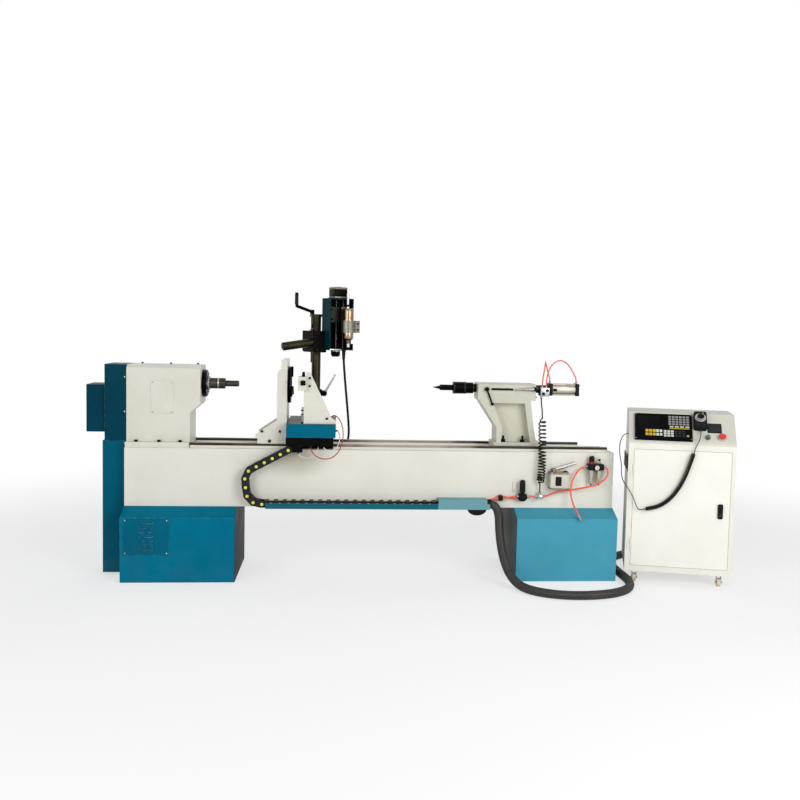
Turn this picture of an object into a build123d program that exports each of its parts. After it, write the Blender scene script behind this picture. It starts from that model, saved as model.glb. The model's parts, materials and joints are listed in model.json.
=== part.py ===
"""CNC wood lathe: bed on two pedestals, belt-driven headstock, carriage with steady, tool post and router
column, pneumatic tailstock, and a control cabinet beside it. Millimetres.

The origin is on the floor at the middle of the headstock pedestal's base. +X runs along the bed to the
tailstock, +Z is up, and the spindle axis lies in the plane Y = 0.
"""

import math
import os

from build123d import *

os.makedirs("parts", exist_ok=True)

# Fits
RUN_FIT = 0.05
SLIDE_GAP = 0.3
THREAD_GAP = 0.5
SHEET_GAP = 2.0

# Pedestals
PED_LEFT_W = 625.0
PED_RIGHT_W = 595.0
PED_TOE = 4.5
PED_D = 560.0
PED_H = 410.0
PED_WALL = 6.0
PED_BEVEL_Y = 115.0
PED_BEVEL_Z = 45.0
VENT_X = -171.0
VENT_DROP = 3.0
VENT_W = 250.0
VENT_H = 208.0
VENT_T = 3.0
VENT_LAP = 25.0
LOUVRE_COUNT = 7
LOUVRE_PITCH = 25.0
LOUVRE_W = 75.0
LOUVRE_H = 9.0
LOUVRE_OUT = 7.0

# Bed and its rails
BED_LENGTH = 2813.0
BED_W = 330.0
BED_H = 330.0
BED_WALL = 12.0
RAIL_Y = 117.5
RAIL_W = 35.0
RAIL_H = 28.0
RAIL_CHAMFER = 3.0
RAIL_START = 42.0
RAIL_FRONT_SHORT = 33.5
RAIL_REAR_SHORT = 153.5
SLOT_Y = 62.0
SLOT_W = 22.0
SLOT_START = 1500.0
SLOT_SHORT = 60.5

# Headstock and spindle
CENTRE_HEIGHT = 360.0
HEAD_PAD_H = 30.0
HEAD_PAD_EDGE = 15.0
HEAD_W = 224.0
HEAD_OVER = 104.0
HEAD_CHAMFER = 16.0
HEAD_LOW_X = 38.5
HEAD_LEAN = 57.0
HEAD_SLOPE_DROP = 163.0
HEAD_SLOPE_H = 48.0
HEAD_WALL = 14.0
BOSS_WALL = 17.0
BOSS_DEEPER = 15.0
BEARING_RING = 22.5
BEARING_W = 45.0
SHAFT_R = 32.5
COVER_LAP = 23.5
COVER_T = 26.0
COVER_CHAMFER = 5.0
NOSE_STEP = 1.5
NOSE_LENGTH = 101.0
TIP_R = 17.5
TIP_LENGTH = 78.0
TIP_CHAMFER = 4.0

# Belt drive
GUARD_WALL = 4.0
GUARD_ROOM = 7.0
GUARD_Y = 110.0
UPPER_GUARD_W = 120.0
LOWER_GUARD_W = 132.0
LOWER_GUARD_BOTTOM = 15.0
LOWER_GUARD_Y = 105.0
GUARD_SPLIT_UP = 32.0
END_BOX_W = 104.0
END_BOX_Y = 90.0
END_BOX_H = 268.0
END_BOX_DROP = 13.0
BELT_SHIFT = 2.5
BELT_W = 40.0
BELT_T = 8.0
PULLEY_W = 46.0
SPINDLE_PULLEY_R = 66.0
MOTOR_PULLEY_R = 44.0
MOTOR_Z = 200.0
MOTOR_R = 90.0
MOTOR_IN = 27.5
MOTOR_LENGTH = 290.0
MOTOR_CHAMFER = 10.0
MOTOR_SHAFT_R = 14.0
MOTOR_SEAT = 20.0
SHAFT_PORT_ROOM = 26.0

# Feed screw behind the bed
SCREW_OUT = 45.0
SCREW_DROP = 90.0
SCREW_R = 12.5
SCREW_BLOCK_X = 60.0
SCREW_BLOCK_SHORT = 120.5
SCREW_BLOCK_W = 60.0
SCREW_BLOCK_H = 84.0
SERVO_LENGTH = 150.0
SERVO_PILOT = 8.0

# Carriage
SADDLE_X0 = 583.5
SADDLE_LENGTH = 266.5
SADDLE_FRONT_OVER = 57.0
SADDLE_BACK_OVER = 85.0
SADDLE_T = 45.0
GIB_W = 16.0
GIB_LIFT = 4.0
NUT_ALONG = 131.5
NUT_W = 70.0
NUT_DROP = 44.0
CROSS_WAY_W = 30.0
CROSS_WAY_H = 15.0
CROSS_WAY_INSET = 42.0
CROSS_WAY_FRONT = 104.0
CROSS_WAY_BACK = 62.0
CHAIN_LUG_ALONG = 10.5
CHAIN_LUG_W = 84.0
CHAIN_LUG_H = 38.0

# Steady
STEADY_GAP = 0.5
STEADY_FOOT = 163.0
STEADY_FOOT_H = 32.0
STEADY_TOE = 12.0
STEADY_TOE_H = 52.0
STEADY_POST = 55.0
STEADY_KNEE_H = 135.0
STEADY_SHOULDER = 78.0
STEADY_NECK = 33.0
STEADY_OVER = 150.0
STEADY_WEB_OVER = 122.0
STEADY_Y = 140.0
STEADY_PLATE = 20.0
STEADY_HOLE_R = 88.0
RING_R = 106.0
RING_BORE_R = 80.0
RING_T = 17.0
JAW_COUNT = 3
JAW_W = 26.0
JAW_T = 12.0
JAW_REACH_R = 46.0

# Cross-slide table
TABLE_ALONG = 2.5
TABLE_LENGTH = 277.0
TABLE_FRONT_OVER = 8.0
TABLE_BACK_OVER = 12.0
TABLE_H = 78.0
TABLE_WALL = 6.0
TABLE_PLATE = 12.0

# Tool bracket, tool block and tool bar
TOOL_ALONG = 96.0
TOOL_LENGTH = 183.0
TOOL_IN = 15.0
TOOL_D = 120.0
TOOL_PLATE = 16.0
TOOL_FLANGE = 14.0
TOOL_OVER = 83.0
TOOL_CREST_IN = 12.0
TOOL_CREST = 22.0
TOOL_HEEL = 29.0
TOOL_HEEL_H = 39.0
TOOL_WAIST_GAP = 3.0
BLOCK_W = 45.0
BLOCK_OUT = 30.0
BLOCK_D = 95.0
BLOCK_H = 78.0
BLOCK_UNDER_BAR = 45.0
BAR_RISE = 26.0
BAR_SIDE = 25.0
BAR_WALL = 3.5
BAR_BACK = 13.0
BAR_FRONT = 15.0
CUTTER_REACH = 20.0
CUTTER_T = 8.0

# Router column, lift head and crank
COLUMN_ALONG = 151.0
COLUMN_IN = 52.0
COLUMN_R = 27.0
COLUMN_H = 607.0
SOCKET_WALL = 11.0
SOCKET_H = 169.0
BASE_FLANGE_LIP = 11.0
BASE_FLANGE_T = 14.0
CLAMP_OUT = 15.0
CLAMP_DOWN = 23.0
CLAMP_R = 16.0
CLAMP_LENGTH = 46.0
LEVER_R = 4.5
LEVER_RUN_X = 64.0
LEVER_RUN_Z = 114.0
LEVER_HUB_R = 14.0
LEVER_HUB_T = 24.0
YOKE_T = 16.0
YOKE_LIP = 6.0
SWING = 28.0
LIFT_SCREW_R = 7.0
LIFT_SCREW_X = -5.0
LIFT_SCREW_OUT = 24.0
LIFT_SCREW_TAIL = 65.0
LIFT_SCREW_LUG = 8.0
LIFT_DOWN = 84.0
LIFT_H = 129.0
LIFT_LEFT = 37.0
LIFT_RIGHT = 9.0
LIFT_FRONT = 34.0
LIFT_BACK = 21.0
LIFT_EDGE = 14.0
SWING_BAR_R = 25.0
SWING_BAR_OUT = 1.0
SWING_BAR_BOSS = 11.0
SWING_BAR_RISE = 68.0
SWING_BAR_X0 = -254.0
SWING_BAR_X1 = 0.0
SWING_BAR_TILT = 8.0
SWING_BAR_EDGE = 9.0
LOCK_ROD_R = 5.0
LOCK_ROD_LENGTH = 34.0
CRANK_HUB_R = 13.0
CRANK_HUB_H = 26.0
CRANK_REACH = 95.0
CRANK_RISE = 34.0
CRANK_ARM_R = 7.5
GRIP_R = 10.5
GRIP_LENGTH = 74.0

# Router slide
HOUSE_X0 = 5.0
HOUSE_W = 158.0
HOUSE_D = 102.0
HOUSE_UP = 16.0
HOUSE_H = 309.0
HOUSE_WALL = 8.0
GUIDE_R = 6.0
GUIDE_INSET = 32.0
FEED_SCREW_R = 5.0
FEED_DOWN = 60.0
FEED_UP = 20.0
SLIDE_T = 30.0
SLIDE_EDGE = 14.0
SLIDE_ROOM = 5.0
SLIDE_OVERHEAD = 22.0
SLIDE_H = 92.0
STEPPER_SIDE = 86.0
STEPPER_H = 69.0
STEPPER_EDGE = 6.0
END_CAP_R = 28.0
END_CAP_H = 40.0
ROUTER_R = 31.0
ROUTER_SIDE_GAP = 1.0
ROUTER_PROUD = 10.0
ROUTER_SUNK = 8.0
ROUTER_LENGTH = 188.0
ROUTER_NOSE_R = 18.0
ROUTER_NOSE_H = 22.0
ROUTER_ROOM = 6.0
CLAMP_RING_WALL = 11.0
CLAMP_RING_UP = 43.0
CLAMP_RING_H = 73.0
CLAMP_EAR_W = 22.0
CLAMP_EAR_D = 26.0
CLAMP_ARM_W = 40.0
COLLET_R = 11.0
COLLET_H = 24.0
COLLET_SHAFT_R = 6.0
COLLET_SHAFT_IN = 15.0
SHANK_R = 3.0
SHANK_DEPTH = 18.0

# Tailstock
TAIL_BACK = 808.5
TAIL_LENGTH = 345.0
TAIL_BARREL_DROP = 65.0
TAIL_CROWN = 6.5
TAIL_Y = 88.0
TAIL_BASE_ALONG = 99.0
TAIL_BASE_LENGTH = 289.0
TAIL_BASE_H = 46.0
TAIL_BASE_LIP = 4.0
TAIL_LEFT_WAIST = 15.0
TAIL_RIGHT_TOP = 30.0
TAIL_RIGHT_WAIST = 8.0
TAIL_WAIST_H = 90.0
TAIL_WEB = 60.0
TAIL_RIB = 34.0
TAIL_EDGE = 12.0
TAIL_SLOT_ALONG = 78.0
TAIL_SLOT_LENGTH = 130.0
TAIL_SLOT_H = 14.0
TAIL_SLOT_D = 14.0
TAIL_BOLT_ALONG = 61.5
TAIL_BOLT_SPACING = 116.0
TAIL_BOLT_R = 8.0
TAIL_NUT_R = 14.0
TAIL_NUT_H = 16.0
CLAMP_PLATE_T = 18.0
CLAMP_PLATE_LAP = 12.0
CLAMP_PLATE_OVER = 30.0
QUILL_R = 25.5
QUILL_OUT = 20.0
QUILL_IN = 27.0
SLEEVE_WALL = 7.5
SLEEVE_LENGTH = 42.0
ROD_R = 10.0
PISTON_T = 16.0
PISTON_ALONG = 137.0
CENTRE_BODY_R = 35.5
CENTRE_BODY_LENGTH = 78.0
CENTRE_NECK_R = 17.0
CENTRE_NECK_LENGTH = 78.0
CENTRE_TIP_R = 11.0
CENTRE_TIP_LENGTH = 41.0
CENTRE_POINT_R = 1.5
CENTRE_SHANK_R = 12.0
CENTRE_SHANK_LENGTH = 30.0
QUILL_LEVER_ALONG = 50.0
QUILL_LEVER_HUB_R = 13.0
QUILL_LEVER_HUB_T = 18.0
QUILL_LEVER_R = 5.0
QUILL_LEVER_RUN_X = 34.0
QUILL_LEVER_DROP = 88.0
QUILL_KNOB_R = 9.0
NECK_LENGTH = 88.0
NECK_R = 24.0
CYLINDER_LENGTH = 187.0
CYLINDER_R = 36.0
CYLINDER_WALL = 4.5
CYLINDER_CAP = 25.0
CYLINDER_CAP_LIP = 1.0
VALVE_GAP = 1.0
VALVE_W = 54.0
VALVE_OUT = 66.0
VALVE_DROP = 40.0
VALVE_H = 52.0

# Cable chain and its tray
TRAY_AHEAD = 107.5
TRAY_BACK = 744.5
TRAY_W = 84.0
TRAY_UP = 2.0
TRAY_H = 32.0
TRAY_WALL = 3.0
TRAY_COVER_SHORT = 17.0
TRAY_COVER_LENGTH = 282.0
TRAY_COVER_H = 57.0
CHAIN_PITCH = 50.6
CHAIN_W = 60.0
CHAIN_H = 40.0
CHAIN_PLATE = 5.0
CHAIN_BAND = 6.0
CHAIN_BRIDGE = 9.0
CHAIN_FIXED_GAP = 1.0
CHAIN_TURN_AHEAD = 137.5
CHAIN_LOW_R = 80.0
CHAIN_STEEP = 85.0
CHAIN_HIGH_R = 60.0
CHAIN_SLANT = 28.0
CHAIN_END_ALONG = 5.8
CHAIN_END_DOWN = 25.6

# Air units on the bed front
REG_BACK = 547.5
REG_W = 54.0
REG_D = 60.0
REG_UP = 46.0
REG_H = 42.0
REG_NECK_R = 14.0
REG_NECK_H = 11.0
REG_KNOB_R = 17.0
REG_KNOB_H = 71.0
REG_KNOB_EDGE = 8.0
TEE_BACK = 444.5
TEE_SIDE = 26.0
TEE_D = 52.0
TEE_UP = 60.0
FILTER_BACK = 164.5
FILTER_W = 94.0
FILTER_D = 62.0
FILTER_UP = 233.0
FILTER_H = 36.0
BOWL_R = 20.0
BOWL_H = 85.0
BOWL_INSET = 24.0
BOWL_EDGE = 8.0
FILTER_KNOB_R = 16.0
FILTER_KNOB_H = 46.0
OILER_KNOB_R = 8.0
OILER_KNOB_H = 28.0
GAUGE_R = 16.0
GAUGE_T = 14.0
PUMP_BACK = 390.5
PUMP_W = 112.0
PUMP_D = 62.0
PUMP_UP = 123.0
PUMP_H = 95.0
PUMP_EDGE = 8.0
PUMP_PIN_IN = 26.0
PUMP_PIN_UP = 13.0
PUMP_PIN_R = 4.0
PUMP_EAR_R = 12.0
PUMP_EAR_T = 6.0
PUMP_EAR_GAP = 17.0
PUMP_EYE_R = 10.0
PUMP_LEVER_R = 7.5
PUMP_LEVER_RUN = 125.0
PUMP_LEVER_RISE = 41.0

# Control cabinet
CAB_GAP = 42.0
CAB_Y = -318.0
CAB_YAW = -15.0
CAB_W = 600.0
CAB_D = 450.0
CAB_LOW = 75.0
CAB_FRONT_TOP = 820.0
CAB_DESK = 170.0
CAB_SHEET = 3.0
DOOR_LEFT = 33.0
DOOR_RIGHT = 24.0
DOOR_SILL = 35.0
DOOR_HEAD = 34.0
DOOR_T = 16.0
DOOR_CLEAR = 1.5
DOOR_SHEET = 2.0
HINGE_R = 5.0
HINGE_PIN_R = 2.5
HINGE_LEAF = 22.0
HINGE_LENGTH = 30.0
HINGE_INSET = 90.0
LATCH_IN = 52.0
LATCH_W = 28.0
LATCH_H = 84.0
LATCH_T = 9.0
DRIVE_PLATE_INSET = 60.0
DRIVE_PLATE_T = 4.0
DRIVE_D = 150.0
DRIVE_W = 90.0
DRIVE_H = 190.0
PANEL_X0 = 33.0
PANEL_W = 324.0
PANEL_L = 191.0
PANEL_T = 14.0
SCREEN_W = 128.0
SCREEN_H = 100.0
SCREEN_DEPTH = 2.0
PENDANT_ALONG = 46.0
PENDANT_DOWN = 72.4
PENDANT_W = 74.0
PENDANT_L = 122.0
PENDANT_T = 38.0
PENDANT_EDGE = 9.0
DIAL_R = 24.0
DIAL_T = 12.0
DIAL_UP = 10.0
DIAL_STEM_R = 4.0
DIAL_STEM = 10.0
BUTTON_S = 58.0
BUTTON_SPACING = 80.0
START_ALONG = 39.0
STOP_R = 20.0
STOP_CAP = 14.0
STOP_TRAVEL = 5.0
START_R = 11.0
START_CAP = 9.0
START_TRAVEL = 4.0
COLLAR_LIP = 5.0
COLLAR_H = 9.0
STEM_R = 8.0
CASTER_INSET_X = 60.0
CASTER_INSET_Y = 60.0
CASTER_PLATE = 56.0
CASTER_PLATE_T = 5.0
CASTER_CHEEK = 4.0
CASTER_CHEEK_W = 30.0
CASTER_CHEEK_LIP = 9.0
WHEEL_R = 25.0
WHEEL_W = 20.0
AXLE_R = 4.0

# Tubes and leads
AIR_TUBE_R = 5.0
PORT_TUBE_R = 4.0
FITTING_WALL = 3.0
FITTING_LENGTH = 12.0
COUPLING_R = 9.0
COUPLING_LENGTH = 36.0
CONDUIT_R = 25.0
CONDUIT_LIFT = 4.0
CONDUIT_UP = 2.0
CONDUIT_SIDE = 12.0
CABLE_R = 7.0
LEAD_R = 3.0
COIL_TUBE_R = 4.0
COIL_RING_R = 20.0
COIL_TURNS = 20
COIL_STRETCH = 0.3
CURL_WIRE_R = 2.5
CURL_RING_R = 10.0
CURL_TURNS = 70
CURL_OUT = 20.0
LEAD_RUN = 5.0
GLAND_LIP = 9.0
GLAND_T = 10.0
SLEEVE_LIP = 1.5
PORT_DOWN = 13.0

# Places of the bed, headstock and drive
LEFT_X = -PED_LEFT_W / 2
BED_END = LEFT_X + BED_LENGTH
PED_RIGHT_X = BED_END + PED_TOE - PED_RIGHT_W / 2
VENT_Z = PED_H - PED_BEVEL_Z - VENT_DROP - VENT_H / 2
BED_TOP = PED_H + BED_H
BED_FRONT = -BED_W / 2
RAIL_TOP = BED_TOP + RAIL_H
RAIL_FRONT_END = BED_END - RAIL_FRONT_SHORT
RAIL_REAR_END = BED_END - RAIL_REAR_SHORT
SLOT_END = BED_END - SLOT_SHORT
SPINDLE_Z = BED_TOP + CENTRE_HEIGHT
HEAD_LOW = BED_TOP + HEAD_PAD_H
HEAD_PAD_Y = BED_W / 2 - HEAD_PAD_EDGE
HEAD_TOP = SPINDLE_Z + HEAD_OVER
HEAD_NOSE_X = HEAD_LOW_X + HEAD_LEAN
HEAD_SLOPE_LOW = SPINDLE_Z - HEAD_SLOPE_DROP
HEAD_SLOPE_HIGH = HEAD_SLOPE_LOW + HEAD_SLOPE_H
BEARING_R = SHAFT_R + BEARING_RING
BOSS_R = BEARING_R + BOSS_WALL
BOSS_LENGTH = BEARING_W + BOSS_DEEPER
COVER_R = BEARING_R + COVER_LAP
NOSE_R = SHAFT_R - NOSE_STEP
COVER_END = HEAD_NOSE_X + COVER_T
NOSE_END = COVER_END + NOSE_LENGTH
BELT_X = LEFT_X - UPPER_GUARD_W / 2 + BELT_SHIFT
UPPER_GUARD_TOP = max(HEAD_TOP, SPINDLE_Z + SPINDLE_PULLEY_R + BELT_T + GUARD_ROOM + GUARD_WALL)
GUARD_SPLIT_Z = BED_TOP + GUARD_SPLIT_UP
END_BOX_TOP = SPINDLE_Z - END_BOX_DROP
END_BOX_LOW = END_BOX_TOP - END_BOX_H
MOTOR_START = LEFT_X + MOTOR_IN
SHAFT_PORT_R = MOTOR_SHAFT_R + SHAFT_PORT_ROOM
SCREW_Y = BED_W / 2 + SCREW_OUT
SCREW_Z = BED_TOP - SCREW_DROP
SCREW_BLOCK_FAR_X = BED_END - SCREW_BLOCK_SHORT
SERVO_SIDE = 2 * (SCREW_OUT - SHEET_GAP)

# Places of the carriage, the steady and the tool post
SADDLE_X1 = SADDLE_X0 + SADDLE_LENGTH
SADDLE_Y0 = BED_FRONT - SADDLE_FRONT_OVER
SADDLE_Y1 = BED_W / 2 + SADDLE_BACK_OVER
SADDLE_LOW = RAIL_TOP + SLIDE_GAP
SADDLE_TOP = RAIL_TOP + SADDLE_T
GIB_LOW = BED_TOP + GIB_LIFT
NUT_X = SADDLE_X0 + NUT_ALONG
WAY_TOP = SADDLE_TOP + CROSS_WAY_H
CROSS_WAY_Y0 = SADDLE_Y0 + CROSS_WAY_FRONT
CROSS_WAY_Y1 = SADDLE_Y1 - CROSS_WAY_BACK
CHAIN_LUG_X = SADDLE_X0 + CHAIN_LUG_ALONG
STEADY_X = SADDLE_X0 - STEADY_GAP
STEADY_FOOT_X = STEADY_X - STEADY_FOOT
STEADY_TOE_X = STEADY_FOOT_X - STEADY_TOE
STEADY_KNEE_X = STEADY_X - STEADY_POST
STEADY_NECK_X = STEADY_X - STEADY_NECK
STEADY_TOE_Z = RAIL_TOP + STEADY_TOE_H
STEADY_KNEE_Z = RAIL_TOP + STEADY_KNEE_H
STEADY_SHOULDER_Z = SPINDLE_Z + STEADY_SHOULDER
STEADY_TOP = SPINDLE_Z + STEADY_OVER
STEADY_WEB_TOP = SPINDLE_Z + STEADY_WEB_OVER
TABLE_X0 = SADDLE_X0 + TABLE_ALONG
TABLE_X1 = TABLE_X0 + TABLE_LENGTH
TABLE_Y0 = SADDLE_Y0 - TABLE_FRONT_OVER
TABLE_Y1 = SADDLE_Y1 + TABLE_BACK_OVER
TABLE_SKIRT_Z = SADDLE_TOP + SHEET_GAP
TABLE_TOP = TABLE_SKIRT_Z + TABLE_H
TOOL_X0 = TABLE_X0 + TOOL_ALONG
TOOL_X1 = TOOL_X0 + TOOL_LENGTH
TOOL_Y0 = TABLE_Y0 + TOOL_IN
TOOL_Y1 = TOOL_Y0 + TOOL_D
TOOL_TOP = SPINDLE_Z + TOOL_OVER
TOOL_CREST_X0 = TOOL_X0 + TOOL_CREST_IN
TOOL_CREST_X1 = TOOL_CREST_X0 + TOOL_CREST
TOOL_HEEL_X = TOOL_X1 - TOOL_HEEL
TOOL_HEEL_Z = TABLE_TOP + TOOL_HEEL_H
BAR_X = TOOL_CREST_X0 - BAR_WALL - BAR_SIDE / 2
BAR_Z = SPINDLE_Z + BAR_RISE
BAR_TIP_Z = BAR_Z + BAR_SIDE / 2
BLOCK_X0 = TOOL_CREST_X0 - BLOCK_W
BLOCK_Y0 = TOOL_Y0 - BLOCK_OUT
BLOCK_Y1 = BLOCK_Y0 + BLOCK_D
BLOCK_Z0 = BAR_Z - BLOCK_UNDER_BAR
BLOCK_Z1 = BLOCK_Z0 + BLOCK_H
TOOL_WAIST_Z = BLOCK_Z0 - TOOL_WAIST_GAP
BAR_BACK_Y = BLOCK_Y0 - BAR_BACK
BAR_FRONT_Y = BLOCK_Y1 + BAR_FRONT
CUTTER_TIP_Y = BAR_FRONT_Y + CUTTER_REACH

# Places of the column, the lift head and the router
COLUMN_X = TABLE_X0 + COLUMN_ALONG
COLUMN_Y = TABLE_Y1 - COLUMN_IN
COLUMN_TOP = TABLE_TOP + COLUMN_H
SOCKET_R = COLUMN_R + SOCKET_WALL
SOCKET_TOP = TABLE_TOP + SOCKET_H
BASE_FLANGE_R = SOCKET_R + BASE_FLANGE_LIP
CLAMP_X = COLUMN_X + SOCKET_R + CLAMP_OUT
CLAMP_Z = SOCKET_TOP - CLAMP_DOWN
YOKE_R = COLUMN_R + YOKE_LIP
LIFT_TOP = COLUMN_TOP - LIFT_DOWN
LIFT_LOW = LIFT_TOP - LIFT_H
LIFT_SCREW_Y = COLUMN_R + LIFT_SCREW_OUT
LIFT_SCREW_LOW = LIFT_LOW - LIFT_SCREW_TAIL
LIFT_SCREW_LUG_R = LIFT_SCREW_R + LIFT_SCREW_LUG
LIFT_X0 = -COLUMN_R - LIFT_LEFT
LIFT_X1 = COLUMN_R + LIFT_RIGHT
LIFT_FRONT_Y = -COLUMN_R - LIFT_FRONT
LIFT_Y1 = LIFT_SCREW_Y + LIFT_BACK
SWING_BAR_Y = LIFT_FRONT_Y - SWING_BAR_OUT
SWING_BAR_Z = LIFT_LOW + SWING_BAR_RISE
LIFT_Y0 = SWING_BAR_Y - SWING_BAR_R - SWING_BAR_BOSS
HOUSE_X1 = HOUSE_X0 + HOUSE_W
HOUSE_Y1 = LIFT_FRONT_Y
HOUSE_Y0 = HOUSE_Y1 - HOUSE_D
HOUSE_MID_X = (HOUSE_X0 + HOUSE_X1) / 2
HOUSE_MID_Y = (HOUSE_Y0 + HOUSE_Y1) / 2
HOUSE_LOW = LIFT_LOW + HOUSE_UP
HOUSE_TOP = HOUSE_LOW + HOUSE_H
GUIDE_Y = HOUSE_Y1 - HOUSE_WALL - SLIDE_ROOM - SLIDE_T / 2
SLIDE_TOP = HOUSE_TOP - HOUSE_WALL - FEED_UP - SLIDE_OVERHEAD
SLIDE_LOW = SLIDE_TOP - SLIDE_H
ROUTER_X = HOUSE_X1 - HOUSE_WALL - ROUTER_SIDE_GAP - ROUTER_R
ROUTER_Y = HOUSE_Y0 - ROUTER_PROUD
ROUTER_TOP = SLIDE_TOP - ROUTER_SUNK
ROUTER_LOW = ROUTER_TOP - ROUTER_LENGTH
CLAMP_RING_R = ROUTER_R + CLAMP_RING_WALL
CLAMP_RING_LOW = ROUTER_LOW + CLAMP_RING_UP
CLAMP_RING_TOP = CLAMP_RING_LOW + CLAMP_RING_H

# Places of the tailstock and its air cylinder
TAIL_X0 = BED_END - TAIL_BACK
TAIL_X1 = TAIL_X0 + TAIL_LENGTH
TAIL_TOP = SPINDLE_Z + QUILL_R + TAIL_CROWN
TAIL_BARREL_LOW = SPINDLE_Z - TAIL_BARREL_DROP
TAIL_BASE_X0 = TAIL_X0 + TAIL_BASE_ALONG
TAIL_BASE_X1 = TAIL_BASE_X0 + TAIL_BASE_LENGTH
TAIL_BASE_TOP = BED_TOP + TAIL_BASE_H
TAIL_BASE_Y = TAIL_Y + TAIL_BASE_LIP
TAIL_LEFT_WAIST_X = TAIL_BASE_X0 + TAIL_LEFT_WAIST
TAIL_RIGHT_TOP_X = TAIL_X1 - TAIL_RIGHT_TOP
TAIL_RIGHT_WAIST_X = TAIL_X1 - TAIL_RIGHT_WAIST
TAIL_WAIST_Z = TAIL_BASE_TOP + TAIL_WAIST_H
TAIL_SLOT_X0 = TAIL_X0 + TAIL_SLOT_ALONG
TAIL_SLOT_X1 = TAIL_SLOT_X0 + TAIL_SLOT_LENGTH
TAIL_BOLT_X0 = TAIL_BASE_X0 + TAIL_BOLT_ALONG
TAIL_BOLT_X1 = TAIL_BOLT_X0 + TAIL_BOLT_SPACING
CLAMP_PLATE_W = SLOT_W + 2 * CLAMP_PLATE_LAP
QUILL_X0 = TAIL_X0 - QUILL_OUT
QUILL_X1 = TAIL_X1 - QUILL_IN
SLEEVE_R = QUILL_R + SLEEVE_WALL
SLEEVE_X0 = QUILL_X0 - SLEEVE_LENGTH
QUILL_LEVER_X = TAIL_X0 + QUILL_LEVER_ALONG
CYLINDER_X0 = TAIL_X1 + NECK_LENGTH
CYLINDER_X1 = CYLINDER_X0 + CYLINDER_LENGTH
CYLINDER_BORE_R = CYLINDER_R - CYLINDER_WALL
CYLINDER_CAP_SIDE = 2 * (CYLINDER_R + CYLINDER_CAP_LIP)
PISTON_R = CYLINDER_BORE_R - THREAD_GAP
PISTON_X = CYLINDER_X0 + PISTON_ALONG
VALVE_X1 = CYLINDER_X0 - VALVE_GAP
VALVE_X0 = VALVE_X1 - VALVE_W
VALVE_Y0 = -VALVE_OUT
VALVE_Z0 = SPINDLE_Z - VALVE_DROP
VALVE_Z1 = VALVE_Z0 + VALVE_H

# Places of the cable chain: flat in its tray, round the lower bend, up, over, and on a slant to the saddle's lug
TRAY_X0 = SADDLE_X0 - TRAY_AHEAD
TRAY_X1 = BED_END - TRAY_BACK
TRAY_Y0 = BED_FRONT - TRAY_W
TRAY_Z0 = PED_H + TRAY_UP
TRAY_FLOOR = TRAY_Z0 + TRAY_WALL
TRAY_COVER_X1 = TRAY_X1 - TRAY_COVER_SHORT
TRAY_COVER_X0 = TRAY_COVER_X1 - TRAY_COVER_LENGTH
TRAY_COVER_TOP = TRAY_Z0 + TRAY_COVER_H
CHAIN_Y = BED_FRONT - TRAY_W / 2
CHAIN_Z = TRAY_FLOOR + CHAIN_H / 2 + SLIDE_GAP
CHAIN_INNER = CHAIN_W / 2 - CHAIN_PLATE - SLIDE_GAP
CHAIN_FIXED_X = TRAY_COVER_X0 - CHAIN_FIXED_GAP
CHAIN_TURN_X = SADDLE_X0 - CHAIN_TURN_AHEAD
CHAIN_FLAT = CHAIN_FIXED_X - CHAIN_TURN_X
steep = math.radians(CHAIN_STEEP)
slant = math.radians(CHAIN_SLANT)
chain_over = math.pi - slant - steep
chain_to_x = CHAIN_LUG_X + CHAIN_END_ALONG - CHAIN_TURN_X
chain_to_z = SADDLE_LOW - CHAIN_END_DOWN - CHAIN_Z
chain_to_x += CHAIN_LOW_R * math.sin(steep) + CHAIN_HIGH_R * (math.sin(slant) - math.sin(steep))
chain_to_z -= CHAIN_LOW_R * (1 - math.cos(steep)) + CHAIN_HIGH_R * (math.cos(steep) + math.cos(slant))
chain_spread = math.sin(steep + slant)
CHAIN_RISE = (chain_to_z * math.cos(slant) - chain_to_x * math.sin(slant)) / chain_spread
CHAIN_CLIMB = (chain_to_x * math.sin(steep) + chain_to_z * math.cos(steep)) / chain_spread
CHAIN_RUNS = [
    (CHAIN_FLAT, 0.0),
    (CHAIN_LOW_R * steep, steep),
    (CHAIN_RISE, 0.0),
    (CHAIN_HIGH_R * chain_over, chain_over),
    (CHAIN_CLIMB, 0.0),
]
CHAIN_LENGTH = sum(length for length, turn in CHAIN_RUNS)
CHAIN_COUNT = round(CHAIN_LENGTH / CHAIN_PITCH)
LINK = CHAIN_LENGTH / CHAIN_COUNT

# Places of the air units
REG_X = BED_END - REG_BACK
REG_LOW = PED_H + REG_UP
REG_TOP = REG_LOW + REG_H
REG_KNOB_LOW = REG_TOP + REG_NECK_H
REG_KNOB_TOP = REG_KNOB_LOW + REG_KNOB_H
TEE_X = BED_END - TEE_BACK
TEE_LOW = PED_H + TEE_UP
TEE_TOP = TEE_LOW + TEE_SIDE
FILTER_X0 = BED_END - FILTER_BACK
FILTER_X1 = FILTER_X0 + FILTER_W
FILTER_LOW = PED_H + FILTER_UP
FILTER_TOP = FILTER_LOW + FILTER_H
BOWL_LOW = FILTER_LOW - BOWL_H
PUMP_X0 = BED_END - PUMP_BACK
PUMP_X1 = PUMP_X0 + PUMP_W
PUMP_LOW = PED_H + PUMP_UP
PUMP_TOP = PUMP_LOW + PUMP_H
PUMP_PIN_X = PUMP_X0 + PUMP_PIN_IN
PUMP_PIN_Z = PUMP_TOP + PUMP_PIN_UP

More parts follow.
